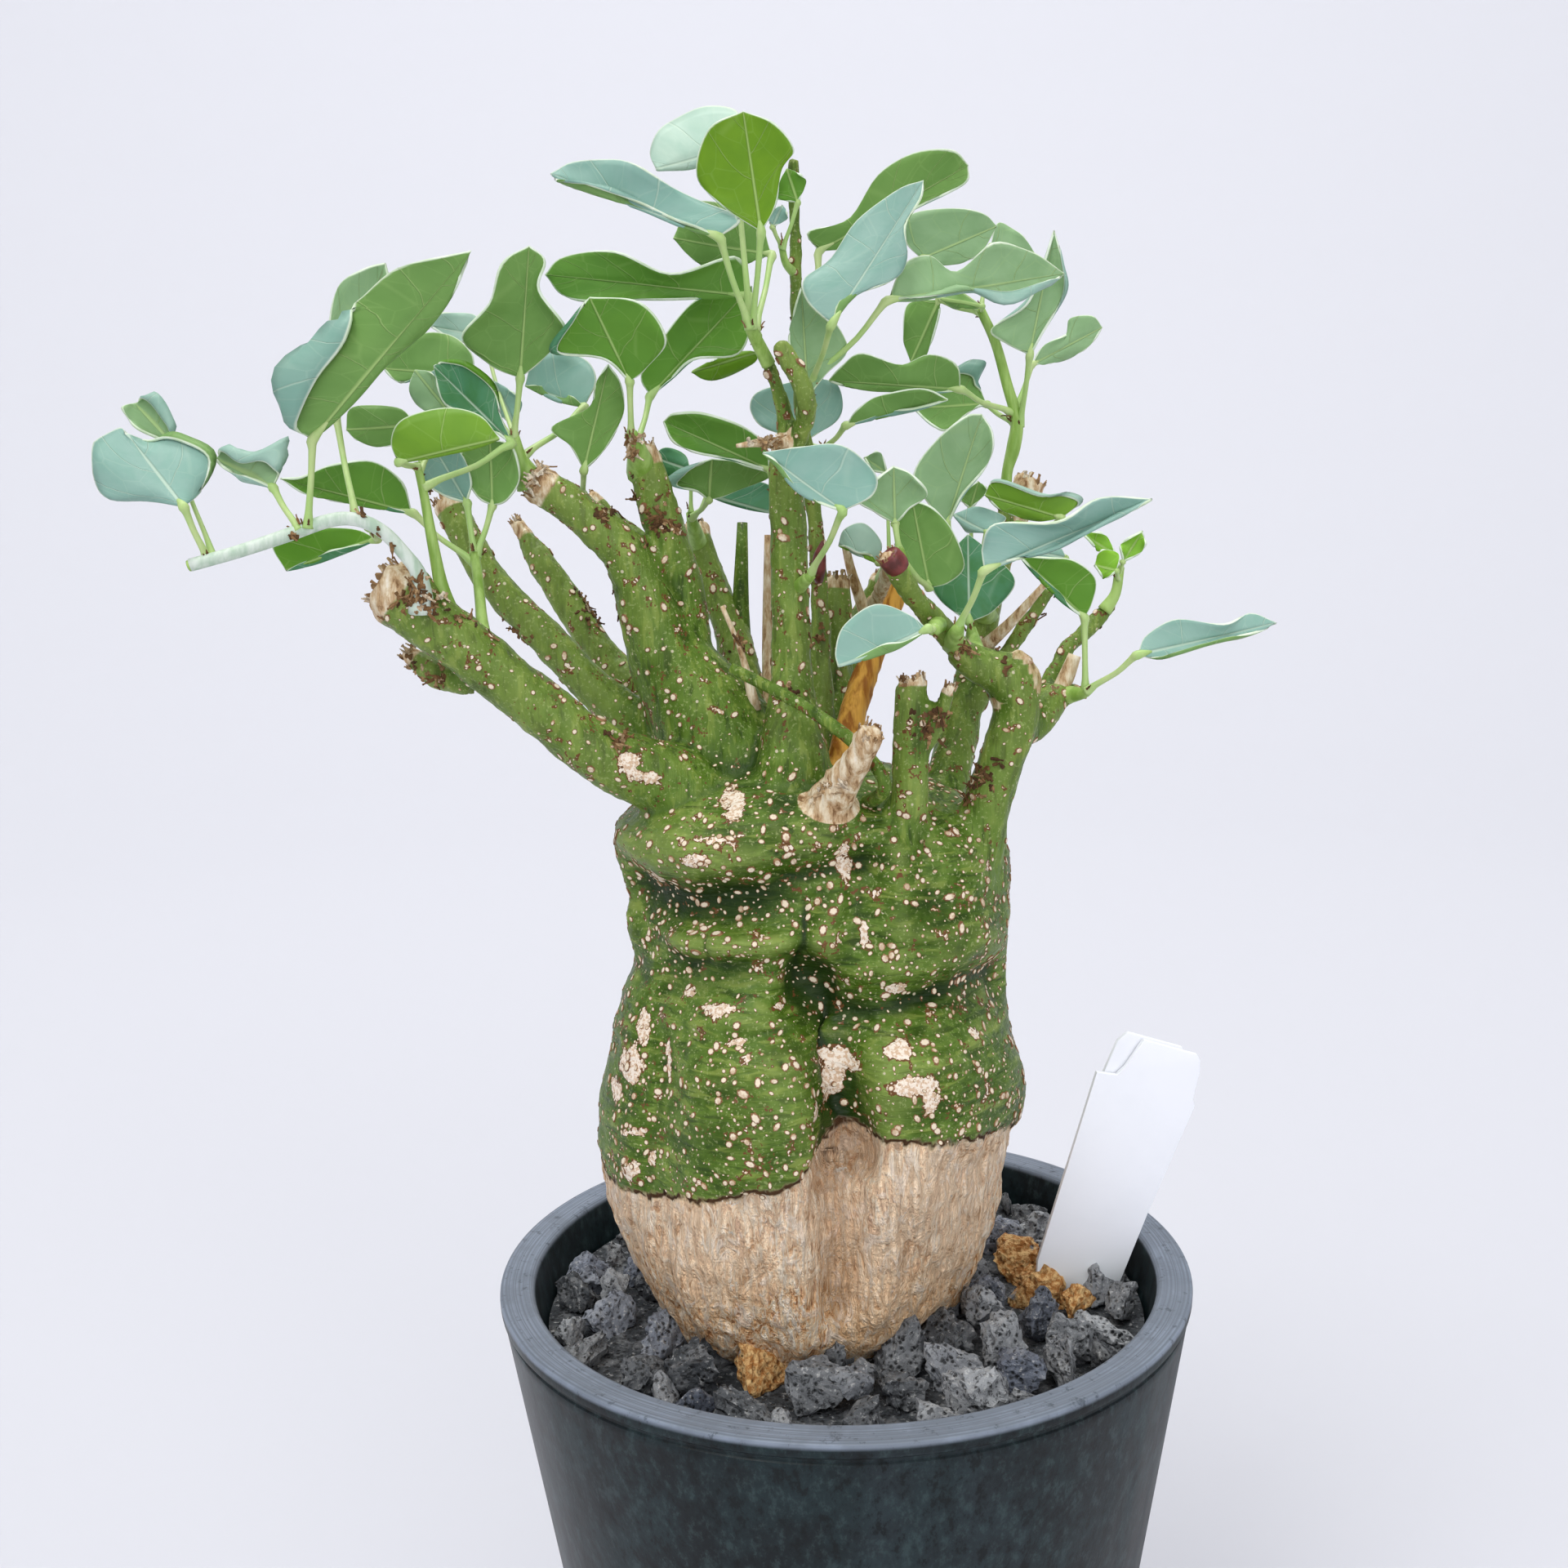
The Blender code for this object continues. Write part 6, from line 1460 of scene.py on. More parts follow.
SHOOTS = {
    "shoot_left_long": (
        [((517, 750, -22, 34), (513, 705, -23, 20), (495, 678, -24, 17), (470, 652, -25, 17),
                (440, 637, -26, 17), (405, 637, -27, 17), (350, 656, -28, 17), (290, 676, -30, 16),
                (233, 692, -31, 16)),
         ((237, 691, -31, 14), (231, 693, -31, 14))],
        [
            Leaf("G", (255, 686, -30), (225, 621), (156, 532), [(169, 601), (123, 597), (109, 570), (113, 538), (143, 519)],
                 [(243, 590), (264, 549), (228, 525), (203, 522), (176, 530)], -32, lean=0.6, turn=0.1, cup=-2.0, wave=(1.0, 1.0, 0.6), fold=((1, 0.15, 0.9, 0.22, 0.8),)),
            Leaf("L", (262, 684, -30), (212, 545), (165, 494), [(175, 531), (157, 508)], [(219, 522), (203, 489)],
                 -22, lean=0.3, cup=1.5, small=True, fold=((1, 0.1, 0.95, 0.5, 1.2),)),
            Leaf("L", (367, 650, -28), (334, 597), (264, 562), [(306, 586), (281, 577)],
                 [(352, 567), (356, 537), (314, 558), (284, 547)], -26, lean=0.2, cup=1.5, fold=((1, 0.1, 0.95, 0.6, 1.4),)),
            Leaf("U", (377, 647, -28), (383, 538), (577, 307), [(340, 510), (331, 453), (378, 415), (430, 380), (490, 329)],
                 [(400, 520), (425, 482), (500, 428), (548, 370)], -29, lean=-0.45, cup=-2.0, wave=(1.8, 1.1, 0.1), fold=((-1, 0.06, 0.64, 0.4, 1.6),)),
            Leaf("L", (437, 640, -26), (411, 508), (472, 322), [(405, 455), (413, 360), (447, 333)],
                 [(450, 470), (490, 400)], -17, lean=-0.05, cup=1.0),
            Leaf("D", (452, 645, -25), (462, 660), (350, 699), [(430, 648), (375, 652), (335, 667)],
                 [(425, 673), (387, 683)], -18, lean=0.3),
        ]),
    "shoot_left_upright": (
        [((548, 752, -17, 30), (539, 712, -18, 17), (527, 650, -18, 13), (519, 605, -18, 11),
                (510, 566, -18, 9))],
        [
            Leaf("B", (511, 572, -18), (488, 566), (612, 537), [(480, 540), (495, 513), (545, 500), (586, 509)],
                 [(508, 557), (550, 543), (590, 541)], -20.6, lean=-0.1, bow=1.6, wave=(0.6, 1.0, 0.0)),
            Leaf("U", (520, 610, -18), (510, 520), (424, 527), [(480, 545), (441, 541)], [(490, 500), (452, 496), (428, 503)],
                 -14, lean=0.1, small=True),
            Leaf("T", (517, 598, -18), (627, 543), (531, 448), [(610, 530), (585, 511), (550, 500), (537, 475)],
                 [(613, 508), (606, 472), (572, 446), (545, 442)], -12, lean=0.15, cup=1.0, wave=(0.8, 1.4, 0.3), fold=((1, 0.2, 0.95, 0.16, 0.6),)),
            Leaf("L", (513, 580, -18), (550, 505), (508, 453), [(520, 503), (501, 480)], [(545, 485), (530, 458)],
                 -7, lean=0.1, small=True),
        ]),
    "shoot_left_pair": (
        [((594, 803, -18, 30), (590, 760, -15, 15), (586, 715, -12, 13), (581, 678, -10, 12))],
        [
            Leaf("U", (583, 682, -10), (603, 619), (600, 538), [(586, 606), (568, 572), (572, 545)],
                 [(622, 612), (638, 585), (630, 547)], -7, lean=-0.1, cup=1.0),
            Leaf("G", (581, 680, -10), (572, 616), (530, 545), [(545, 608), (519, 588), (518, 560)],
                 [(578, 590), (563, 552)], -9, lean=0.15, cup=0.5),
            Leaf("D", (581, 690, -10), (505, 628), (343, 586), [(485, 622), (440, 618), (385, 607)],
                 [(492, 590), (455, 567), (410, 567), (370, 583)], -11, lean=-0.3, wave=(0.8, 1.2, 0.2)),
        ]),
    "shoot_fourth_limb": (
        [((652, 594, -5, 40), (638, 562, -6, 17), (629, 535, -7, 14))],
        [
            Leaf("U", (629, 537, -7), (637, 463), (648, 301), [(598, 444), (567, 410), (602, 366), (616, 320)],
                 [(668, 436), (695, 398), (662, 350), (668, 318)], -8, lean=-0.4, cup=1.5, wave=(0.7, 1.3, 0.4)),
            Leaf("G", (640, 560, -6), (716, 498), (643, 472), [(698, 485), (672, 475)],
                 [(730, 465), (716, 438), (683, 431), (655, 443)], 4, lean=0.25, wave=(0.8, 1.0, 0.2)),
            Leaf("U", (636, 556, -6), (582, 459), (470, 452), [(551, 452), (515, 459), (489, 469)],
                 [(577, 432), (548, 409), (505, 417)], -1, lean=0.2, wave=(0.7, 1.2, 0.1)),
            Leaf("P", (634, 552, -6), (592, 412), (528, 400), [(560, 419)], [(582, 386), (543, 386)], 8, lean=0.1,
                 small=True),
            Leaf("G", (636, 558, -6), (630, 520), (605, 466), [(602, 500)], [(637, 490)], 1, lean=0.1, small=True),
        ]),
    "shoot_fork_tip": (
        [((787, 578, 0, 40), (779, 548, -5, 22), (772, 530, -6, 16))],
        [
            Leaf("D", (773, 534, -6), (771, 467), (722, 364), [(742, 438), (676, 427), (702, 385)],
                 [(791, 450), (817, 410), (785, 368)], -9, lean=-0.4, cup=1.5, wave=(0.6, 1.4, 0.3), fold=((-1, 0.3, 0.95, 0.14, 0.6),)),
            Leaf("D", (780, 545, -5), (796, 485), (921, 350), [(785, 458), (815, 410), (852, 369), (895, 355)],
                 [(820, 465), (850, 440), (905, 433), (922, 385)], 2, lean=-0.1, cup=1.0, wave=(0.7, 1.2, 0.5)),
        ]),
    "leaf_between": (
        [((718, 625, 9, 26), (713, 604, 5, 12))],
        [
            Leaf("U", (713, 606, 5), (715, 576), (745, 446), [(700, 546), (676, 522), (722, 500), (730, 468)],
                 [(742, 548), (763, 506), (761, 470)], -2, lean=-0.25, cup=1.0, wave=(0.6, 1.2, 0.0)),
        ]),
    "shoot_centre_twig": (
        [((941, 446, -9, 18), (933, 430, -10, 17), (921, 406, -12, 15), (917, 395, -13, 13))],
        [
            Leaf("B", (921, 402, -13), (932, 284), (910, 136), [(885, 252), (853, 215), (868, 158)],
                 [(950, 250), (957, 206), (972, 183), (948, 151)], -18, lean=-0.25, cup=1.5, wave=(0.5, 1.2, 0.2)),
            Leaf("P", (919, 402, -13), (900, 180), (803, 208), [(865, 184), (830, 200)],
                 [(902, 131), (858, 121), (814, 146), (796, 180)], -8, lean=0.3, cup=-1.0, fold=((-1, 0.2, 0.9, 0.15, 0.6),)),
            Leaf("G", (918, 402, -14), (881, 291), (674, 213), [(852, 279), (800, 248), (740, 235), (692, 228)],
                 [(906, 266), (862, 244), (800, 224), (752, 202), (700, 199)], -20, lean=0.3, wave=(1.5, 1.4, 0.25), fold=((-1, 0.1, 0.9, 0.3, 1),)),
            Leaf("U", (925, 404, -12), (945, 312), (824, 292), [(905, 323), (858, 323)], [(922, 258), (850, 247)],
                 -2, lean=0.1),
            Leaf("D", (927, 412, -11), (916, 362), (667, 336), [(857, 365), (765, 365), (695, 364)],
                 [(902, 314), (822, 333), (753, 307), (688, 316)], -7, lean=-0.3, wave=(0.9, 1.2, 0.6)),
            Leaf("B", (926, 414, -11), (932, 430), (846, 456), [(920, 446), (872, 466)], [(890, 434)], 10, lean=-0.1,
                 small=True),
        ]),
    "leaf_flower_stem_top": (
        [((973, 335, 9, 12), (962, 322, 6, 9), (957, 300, 5, 8))],
        [
            Leaf("D", (958, 306, 5), (977, 248), (963, 206), [(948, 240)], [(986, 220)], 4, lean=-0.2, small=True),
            Leaf("G", (957, 302, 5), (946, 278), (958, 251), [(939, 262)], [(964, 266)], 3, lean=-0.2, small=True),
        ]),
    "shoot_flower_stem": (
        [((981, 505, 9, 16), (990, 485, 4, 12), (994, 468, 2, 10))],
        [
            Leaf("L", (991, 484, 4), (989, 486), (981, 352), [(967, 425), (972, 385)], [(1012, 458), (1038, 425), (1004, 372)],
                 1, lean=0.0, cup=1.0),
            Leaf("G", (993, 472, 2), (1018, 398), (1131, 221), [(989, 372), (984, 344), (1018, 312), (1050, 268), (1098, 235)],
                 [(1032, 366), (1092, 342), (1111, 312), (1108, 278), (1127, 245)], -7, lean=0.35, cup=0.8,
                 wave=(0.8, 1.2, 0.1)),
            Leaf("L", (994, 468, 2), (1087, 368), (1304, 335), [(1107, 322), (1138, 311), (1172, 332), (1215, 303), (1262, 311)],
                 [(1120, 361), (1178, 354), (1230, 379), (1282, 352)], -1, lean=0.1, wave=(1.6, 0.9, 0.55), fold=((1, 0.05, 0.95, 0.6, 1.2),)),
            Leaf("U", (994, 470, 2), (1003, 308), (1186, 202), [(989, 284), (1040, 268), (1075, 214), (1120, 187), (1166, 184)],
                 [(1050, 300), (1122, 254), (1180, 225)], 16, lean=-0.2, cup=1.0, wave=(0.7, 1.0, 0.3)),
        ]),
    "leaf_loop_rear": (
        [((995, 590, 9, 16), (1006, 560, 13, 12), (1008, 548, 14, 10))],
        [
            Leaf("U", (1007, 552, 14), (1036, 521), (1161, 489), [(1049, 501), (1080, 484), (1130, 475)],
                 [(1080, 506), (1125, 497)], 9, lean=-0.3, wave=(0.6, 1.2, 0.2)),
            Leaf("G", (1007, 550, 14), (987, 540), (997, 462), [(930, 520), (924, 482)], [(1028, 510), (1026, 472)],
                 19, lean=0.1),
        ]),
    "shoot_right_tall": (
        [((1232, 620, 22, 18), (1233, 580, 22, 13), (1241, 548, 22, 17), (1245, 514, 22, 15),
                (1234, 474, 22, 13), (1219, 420, 22, 12), (1200, 378, 22, 11))],
        [
            Leaf("L", (1249, 522, 22), (1261, 435), (1291, 282), [(1230, 420), (1213, 403), (1255, 374), (1274, 330)],
                 [(1273, 412), (1303, 360), (1300, 325)], 17, lean=-0.15, cup=1.0, wave=(0.6, 1.2, 0.2), fold=((1, 0.2, 0.9, 0.14, 0.5),)),
            Leaf("L", (1245, 500, 22), (1263, 447), (1350, 401), [(1278, 423), (1308, 408), (1312, 389), (1337, 387)],
                 [(1294, 443), (1330, 427)], 24, lean=0.0, wave=(0.8, 1.2, 0.1)),
            Leaf("U", (1202, 382, 22), (1203, 375), (1151, 366), [(1176, 359)], [(1178, 376)], 19, lean=0.2, small=True),
            Leaf("U", (1203, 384, 22), (1150, 367), (1115, 444), [(1112, 372), (1106, 412)], [(1149, 388), (1134, 434)],
                 26, lean=0.1, cup=0.8),
            Leaf("U", (1240, 506, 22), (1176, 477), (1014, 466), [(1146, 479), (1090, 481), (1045, 474)],
                 [(1172, 447), (1140, 435), (1105, 448), (1055, 431), (1030, 448)], 15, lean=-0.3, wave=(0.9, 1.3, 0.1)),
            Leaf("U", (1243, 520, 22), (1208, 495), (1118, 500), [(1188, 505), (1152, 532)],
                 [(1198, 470), (1204, 449), (1172, 455)], 25, lean=0.3, cup=1.0, wave=(0.8, 1.0, 0.4), fold=((1, 0.15, 0.9, 0.3, 0.8),)),
            Leaf("L", (1201, 380, 22), (1128, 317), (1221, 277), [(1109, 296), (1113, 264), (1160, 255), (1202, 261)],
                 [(1160, 325), (1198, 312)], 24, lean=-0.1),
            Leaf("L", (1201, 379, 22), (1213, 301), (1268, 311), [(1222, 273), (1248, 285)], [(1240, 312)], 30, lean=0.0,
                 small=True),
        ]),
    "leaf_centre_front": (
        [((975, 722, -7, 20), (993, 704, -14, 13))],
        [
            Leaf("G", (991, 706, -13), (1032, 626), (934, 554), [(1003, 616), (978, 598), (955, 571)],
                 [(1069, 606), (1071, 577), (1030, 548), (975, 550)], -23, lean=0.25, wave=(0.7, 1.2, 0.2)),
        ]),
    "leaf_rear_right": (
        [((1083, 716, 26, 30), (1090, 686, 16, 14))],
        [
            Leaf("L", (1089, 690, 17), (1086, 580), (1058, 560), [(1068, 576)], [(1078, 555)], 24, lean=0.1, small=True),
            Leaf("P", (1089, 690, 17), (1075, 690), (1027, 668), [(1062, 677), (1040, 671)],
                 [(1079, 665), (1058, 642), (1034, 650)], 9, lean=0.2, bow=1.0, small=True, fold=((-1, 0.2, 0.9, 0.3, 0.8),)),
        ]),
    "shoot_elbow_tip": (
        [((1104, 708, -21, 26), (1104, 686, -17, 15), (1101, 672, -16, 11))],
        [
            Leaf("L", (1101, 674, -16), (1096, 641), (1094, 571), [(1070, 624), (1048, 608), (1074, 583)],
                 [(1112, 622), (1135, 604), (1118, 580)], -14, lean=-0.3, cup=1.0),
            Leaf("U", (1103, 684, -17), (1138, 720), (1117, 613), [(1110, 702), (1096, 650)],
                 [(1162, 713), (1181, 692), (1166, 650), (1142, 622)], -12, lean=-0.1, cup=0.8, wave=(0.6, 1.0, 0.2)),
        ]),
    "shoot_back_limb": (
        [((1208, 756, 20, 30), (1198, 730, 10, 15), (1190, 712, 8, 12))],
        [
            Leaf("L", (1192, 716, 8), (1159, 644), (1202, 507), [(1138, 618), (1118, 580), (1150, 534), (1181, 509)],
                 [(1176, 606), (1209, 566), (1214, 530)], 2, lean=-0.2, cup=1.2),
            Leaf("G", (1191, 714, 8), (1208, 652), (1167, 630), [(1186, 647)], [(1233, 632), (1200, 620)], 8, lean=0.3,
                 small=True),
            Leaf("U", (1192, 716, 8), (1188, 623), (1198, 589), [(1175, 608)], [(1208, 602)], 14, lean=0.0, small=True),
        ]),
    "leaf_elbow_rear": (
        [((1196, 808, -11, 28), (1193, 784, -6, 16), (1189, 770, -5, 13))],
        [
            Leaf("T", (1190, 776, -5), (1187, 762), (1185, 654), [(1165, 746), (1141, 718), (1158, 684)],
                 [(1216, 748), (1242, 714), (1215, 679)], -5, lean=0.2, cup=0.8, wave=(0.6, 1.2, 0.4)),
        ]),
    "leaf_elbow_right": (
        [((1166, 788, -14, 28), (1174, 768, -22, 14))],
        [
            Leaf("G", (1173, 770, -21), (1205, 699), (1411, 611), [(1204, 672), (1218, 642), (1291, 638), (1345, 609)],
                 [(1232, 687), (1292, 667), (1372, 626)], -27, lean=-0.1, cup=0.5, wave=(1.4, 0.9, 0.6), fold=((1, 0.3, 1, 0.4, 1.2),)),
        ]),
    "leaf_elbow_left": (
        [((1148, 764, -16, 26), (1143, 772, -23, 13))],
        [
            Leaf("G", (1144, 770, -22), (1136, 770), (1026, 816), [(1112, 750), (1072, 740), (1034, 765), (1023, 796)],
                 [(1107, 785), (1076, 791), (1045, 806)], -27, lean=0.35, bow=1.0, wave=(0.5, 1.0, 0.2)),
        ]),
    "shoot_back_knob": (
        [((1246, 650, 20, 26), (1262, 655, 13, 13), (1276, 655, 9, 11))],
        [
            Leaf("B", (1270, 655, 12), (1300, 634), (1205, 606), [(1266, 638), (1229, 626)],
                 [(1326, 613), (1308, 603), (1278, 604), (1222, 587)], 6, lean=-0.2, turn=-0.1, wave=(0.6, 1.2, 0.3), fold=((1, 0.1, 0.9, 0.18, 0.6),)),
            Leaf("G", (1274, 655, 10), (1306, 684), (1264, 675), [(1283, 688)], [(1296, 667), (1278, 666)], 6, lean=0.2,
                 small=True),
        ]),
    "shoot_outer_node": (
        [((1303, 851, -6, 26), (1326, 849, -9, 14), (1332, 846, -10, 11))],
        [
            Leaf("D", (1329, 848, -9), (1328, 756), (1249, 681), [(1310, 742), (1296, 724), (1266, 698)],
                 [(1338, 735), (1341, 708), (1315, 686), (1283, 682)], -10, lean=-0.15, cup=0.8, wave=(0.6, 1.0, 0.2)),
            Leaf("G", (1330, 847, -10), (1393, 802), (1563, 763), [(1404, 778), (1440, 760), (1496, 768), (1530, 751)],
                 [(1425, 807), (1480, 791), (1532, 777)], -14, lean=0.4, cup=0.5, wave=(0.7, 1.2, 0.6), fold=((1, 0.1, 0.9, 0.3, 0.8),)),
        ]),
    "shoot_outer_twig": (
        [((1352, 748, 2, 18), (1366, 726, 2, 13), (1371, 694, 2, 12))],
        [
            Leaf("Y", (1371, 702, 2), (1366, 681), (1324, 652), [(1345, 674)], [(1354, 656)], 1, lean=0.1, small=True),
            Leaf("Y", (1370, 706, 2), (1375, 688), (1399, 650), [(1372, 667)], [(1399, 674)], 0, lean=0.1, small=True),
            Leaf("Y", (1370, 711, 2), (1367, 699), (1340, 692), [(1352, 708)], [(1370, 678), (1348, 674)], -3, lean=0.1,
                 small=True),
        ]),
    "shoot_rear_limb": (
        [((856, 672, 22, 28), (848, 640, 16, 14), (846, 628, 15, 12))],
        [
            Leaf("U", (847, 634, 15), (868, 612), (872, 562), [(850, 598), (816, 592), (830, 575)],
                 [(900, 602), (945, 581), (906, 565)], 9, lean=-0.4, cup=1.0, fold=((-1, 0.2, 0.95, 0.3, 0.9),)),
            Leaf("T", (846, 628, 15), (846, 576), (800, 560), [(822, 584)], [(838, 556), (815, 548)], 16, lean=0.1,
                 small=True),
            Leaf("T", (848, 640, 16), (866, 606), (945, 628), [(905, 614)], [(915, 590), (944, 596)], 17, lean=0.0,
                 small=True),
        ]),
    "leaf_centre_rear": (
        [((966, 618, -7, 20), (948, 600, 1, 12))],
        [
            Leaf("D", (949, 602, 0), (942, 575), (812, 516), [(906, 563), (850, 550), (824, 535)],
                 [(937, 543), (902, 515), (858, 501), (826, 504)], 4, lean=-0.3, cup=1.0, wave=(0.7, 1.1, 0.4)),
        ]),
}

BLADE_THICKNESS = 0.36
PETIOLE_RADIUS = 0.72


def make_blade(name, leaf, columns, rows):
    """The blade as a fine grid bent into place and thickened; the seen side comes first."""
    if leaf.small:
        columns, rows = columns - 4, rows - 6
    shape = bmesh.new()
    bmesh.ops.create_grid(shape, x_segments=columns, y_segments=rows, size=1.0)
    shape.verts.ensure_lookup_table()
    sheet = shape.loops.layers.uv.new("blade")
    flat = {}
    rims = []
    for vert in shape.verts:
        x, y = vert.co.x, vert.co.y
        disc_x, disc_y = x * math.sqrt(1 - y * y / 2), y * math.sqrt(1 - x * x / 2)
        place, flat[vert] = leaf.surface(disc_x, disc_y)
        rims.append(math.hypot(disc_x, disc_y))
        vert.co = Vector(place) * MM
    for face in shape.faces:
        for loop in face.loops:
            across, along = flat[loop.vert]
            loop[sheet].uv = (0.5 + across * 0.02, along * 0.02)
    shape.normal_update()
    shape.faces.ensure_lookup_table()
    view = Vector(CAMERA_PLACE) * MM - shape.faces[len(shape.faces) // 2].calc_center_median()
    facing = sum((face.normal * face.calc_area() for face in shape.faces), Vector())
    if facing.dot(view) < 0:
        bmesh.ops.reverse_faces(shape, faces=shape.faces)
    top_seen, tone = LEAF_LOOKS[leaf.look]
    for face in shape.faces:
        face.material_index = 0 if top_seen else 1
        face.smooth = True
    blade = bmesh_object(name, shape)
    set_attribute(blade.data, "rim", rims)
    set_attribute(blade.data, "tone", [tone] * len(rims))
    set_attribute(blade.data, "pick", [leaf.pick] * len(rims))
    thick = blade.modifiers.new("thick", "SOLIDIFY")
    thick.thickness = BLADE_THICKNESS * MM
    thick.offset = 0.0
    thick.material_offset = 1 if top_seen else -1
    thick.material_offset_rim = 2 if top_seen else 1
    for index in range(4):
        blade.data.materials.append(None)
    apply_modifiers(blade)
    return blade


def make_petiole(name, leaf):
    """A stalk with swollen ends that leaves the stem, bends a little and runs into the midrib."""
    start = np.array(photo_point(*leaf.stem))
    base, inside = leaf.midrib(0.0), leaf.midrib(0.10)
    radius = PETIOLE_RADIUS * (0.5 if leaf.small else 0.7)
    run = base - start
    sag = np.array((0, 0, -0.04 * np.linalg.norm(run)))
    points = [(*start, radius * 1.5), (*(start + run * 0.10), radius * 1.2), (*(start + run * 0.22), radius * 0.9),
              (*(start + run * 0.6 + sag), radius * 0.8), (*(start + run * 0.88), radius * 0.95),
              (*base, radius * 1.35), (*inside, radius * 0.45)]
    return tube(name, points, 3, 3)


def stamp(thing, index, tone=0.5, rim=0.0, pick=0.5):
    """Give a stem or petiole its material number and the leaf attributes."""
    for face in thing.data.polygons:
        face.material_index = index
        face.use_smooth = True
    count = len(thing.data.vertices)
    set_attribute(thing.data, "tone", [tone] * count)
    set_attribute(thing.data, "rim", [rim] * count)
    set_attribute(thing.data, "pick", [pick] * count)
    return thing


def veins(look):
    """Mask of midrib and side veins, and of the fine net, from the blade's flat coordinates."""
    uv = look.nodes.new("ShaderNodeUVMap")
    uv.uv_map = "blade"
    split = look.nodes.new("ShaderNodeSeparateXYZ")
    look.links.new(uv.outputs["UV"], split.inputs[0])
    across = look.math("MULTIPLY", look.math("SUBTRACT", split.outputs["X"], 0.5), 50.0)
    along = look.math("MULTIPLY", split.outputs["Y"], 50.0)
    sway = look.math("MULTIPLY", look.math("SUBTRACT", look.noise(7, 2, 0.5, uv.outputs["UV"]), 0.5), 3.2)
    side = look.math("ABSOLUTE", across)
    midrib = look.band(look.math("ADD", side, look.math("MULTIPLY", along, 0.008)), 0.12, 0.34, 1.0, 0.0)
    slant = look.math("SUBTRACT", look.math("ADD", along, sway), look.math("MULTIPLY", side, 0.85))
    shift = look.math("MULTIPLY", look.math("GREATER_THAN", across, 0.0), 2.6)
    phase = look.math("PINGPONG", look.math("ADD", look.math("ADD", slant, shift), 40.0), 2.9)
    laterals = look.band(phase, 0.02, 0.13, 0.6, 0.0)
    laterals = look.math("MULTIPLY", laterals, look.band(side, 5.0, 10.0, 1.0, 0.25))
    net = look.band(look.cells(17, "DISTANCE_TO_EDGE", uv.outputs["UV"]), 0.0, 0.03, 0.16, 0.0)
    strong = look.math("MAXIMUM", midrib, laterals)
    return strong, look.math("MAXIMUM", strong, net), uv.outputs["UV"]


def leaf_top_look(settings):
    look = Look("leaf_top")
    strong, every, uv = veins(look)
    tone, pick = look.attribute("tone"), look.attribute("pick")
    cloud = look.noise(16, 3, 0.62, uv)
    base = look.ramp(tone, (0.0, colour("#3C7740")), (0.5, tuple(settings.top)), (1.0, colour("#B3CCBA")))
    base = look.mix(look.band(cloud, 0.35, 0.7, 0, 0.5), base, look.mix(0.5, base, colour("#5E9A86")))
    base = look.mix(look.math("MULTIPLY", pick, 0.45), base, look.mix(0.5, base, colour("#6AA08C")))
    base = look.mix(look.math("MULTIPLY", every, 0.55), base, colour("#CADDC6"))
    base = look.mix(look.band(look.attribute("rim"), 0.975, 1.0), base, colour("#D3E0CC"))
    bloom = look.noise(60, 3, 0.5, uv)
    height = look.math("SUBTRACT", look.math("MULTIPLY", bloom, 0.06), look.math("MULTIPLY", strong, 0.2))
    return look.finish(base, look.band(bloom, 0.3, 0.7, 0.42, 0.56), look.bump(height, 1.0, 0.6),
                       Specular_IOR_Level=0.35)


def leaf_under_look(settings):
    look = Look("leaf_under")
    strong, every, uv = veins(look)
    tone, pick = look.attribute("tone"), look.attribute("pick")
    cloud = look.noise(12, 3, 0.6, uv)
    base = look.ramp(tone, (0.0, colour("#588A1E")), (0.45, tuple(settings.under)), (0.7, colour("#90B184")),
                     (0.85, colour("#6D971C")), (1.0, colour("#7DB41A")))
    base = look.mix(look.band(cloud, 0.35, 0.7, 0, 0.5), base, look.mix(0.4, base, colour("#2F6A14")))
    base = look.mix(look.math("MULTIPLY", pick, 0.5), base, look.mix(0.35, base, colour("#8DB878")))
    base = look.mix(look.math("MULTIPLY", every, 0.5), base, colour("#BED88A"))
    base = look.mix(look.band(look.attribute("rim"), 0.975, 1.0), base, colour("#CFDFC0"))
    return look.finish(base, 0.48, look.bump(strong, 0.25, 0.7), Specular_IOR_Level=0.2)


def plain_look(name, first, second, rough, scale, stretch=(1, 1, 1)):
    look = Look(name)
    grain = look.noise(scale, 4, 0.6, look.mapped(stretch))
    return look.finish(look.mix(look.band(grain, 0.35, 0.65), first, second), rough, look.bump(grain, 0.08, 0.5))


def stem_look(settings):
    look = Look("soft_stem")
    grain = look.noise(500, 4, 0.6, look.mapped((1, 1, 0.2)))
    waxy = look.mix(look.band(grain, 0.35, 0.65), colour("#AEC6AE"), colour("#D8E2D6"))
    fresh = look.mix(look.band(grain, 0.35, 0.65), colour("#7BA03C"), colour("#A6C66C"))
    base = look.mix(look.band(look.math("ADD", look.attribute("tone"), look.math("MULTIPLY", look.noise(60), 0.5)),
                              0.55, 1.0), fresh, waxy)
    return look.finish(base, 0.5, look.bump(grain, 0.08, 0.5))


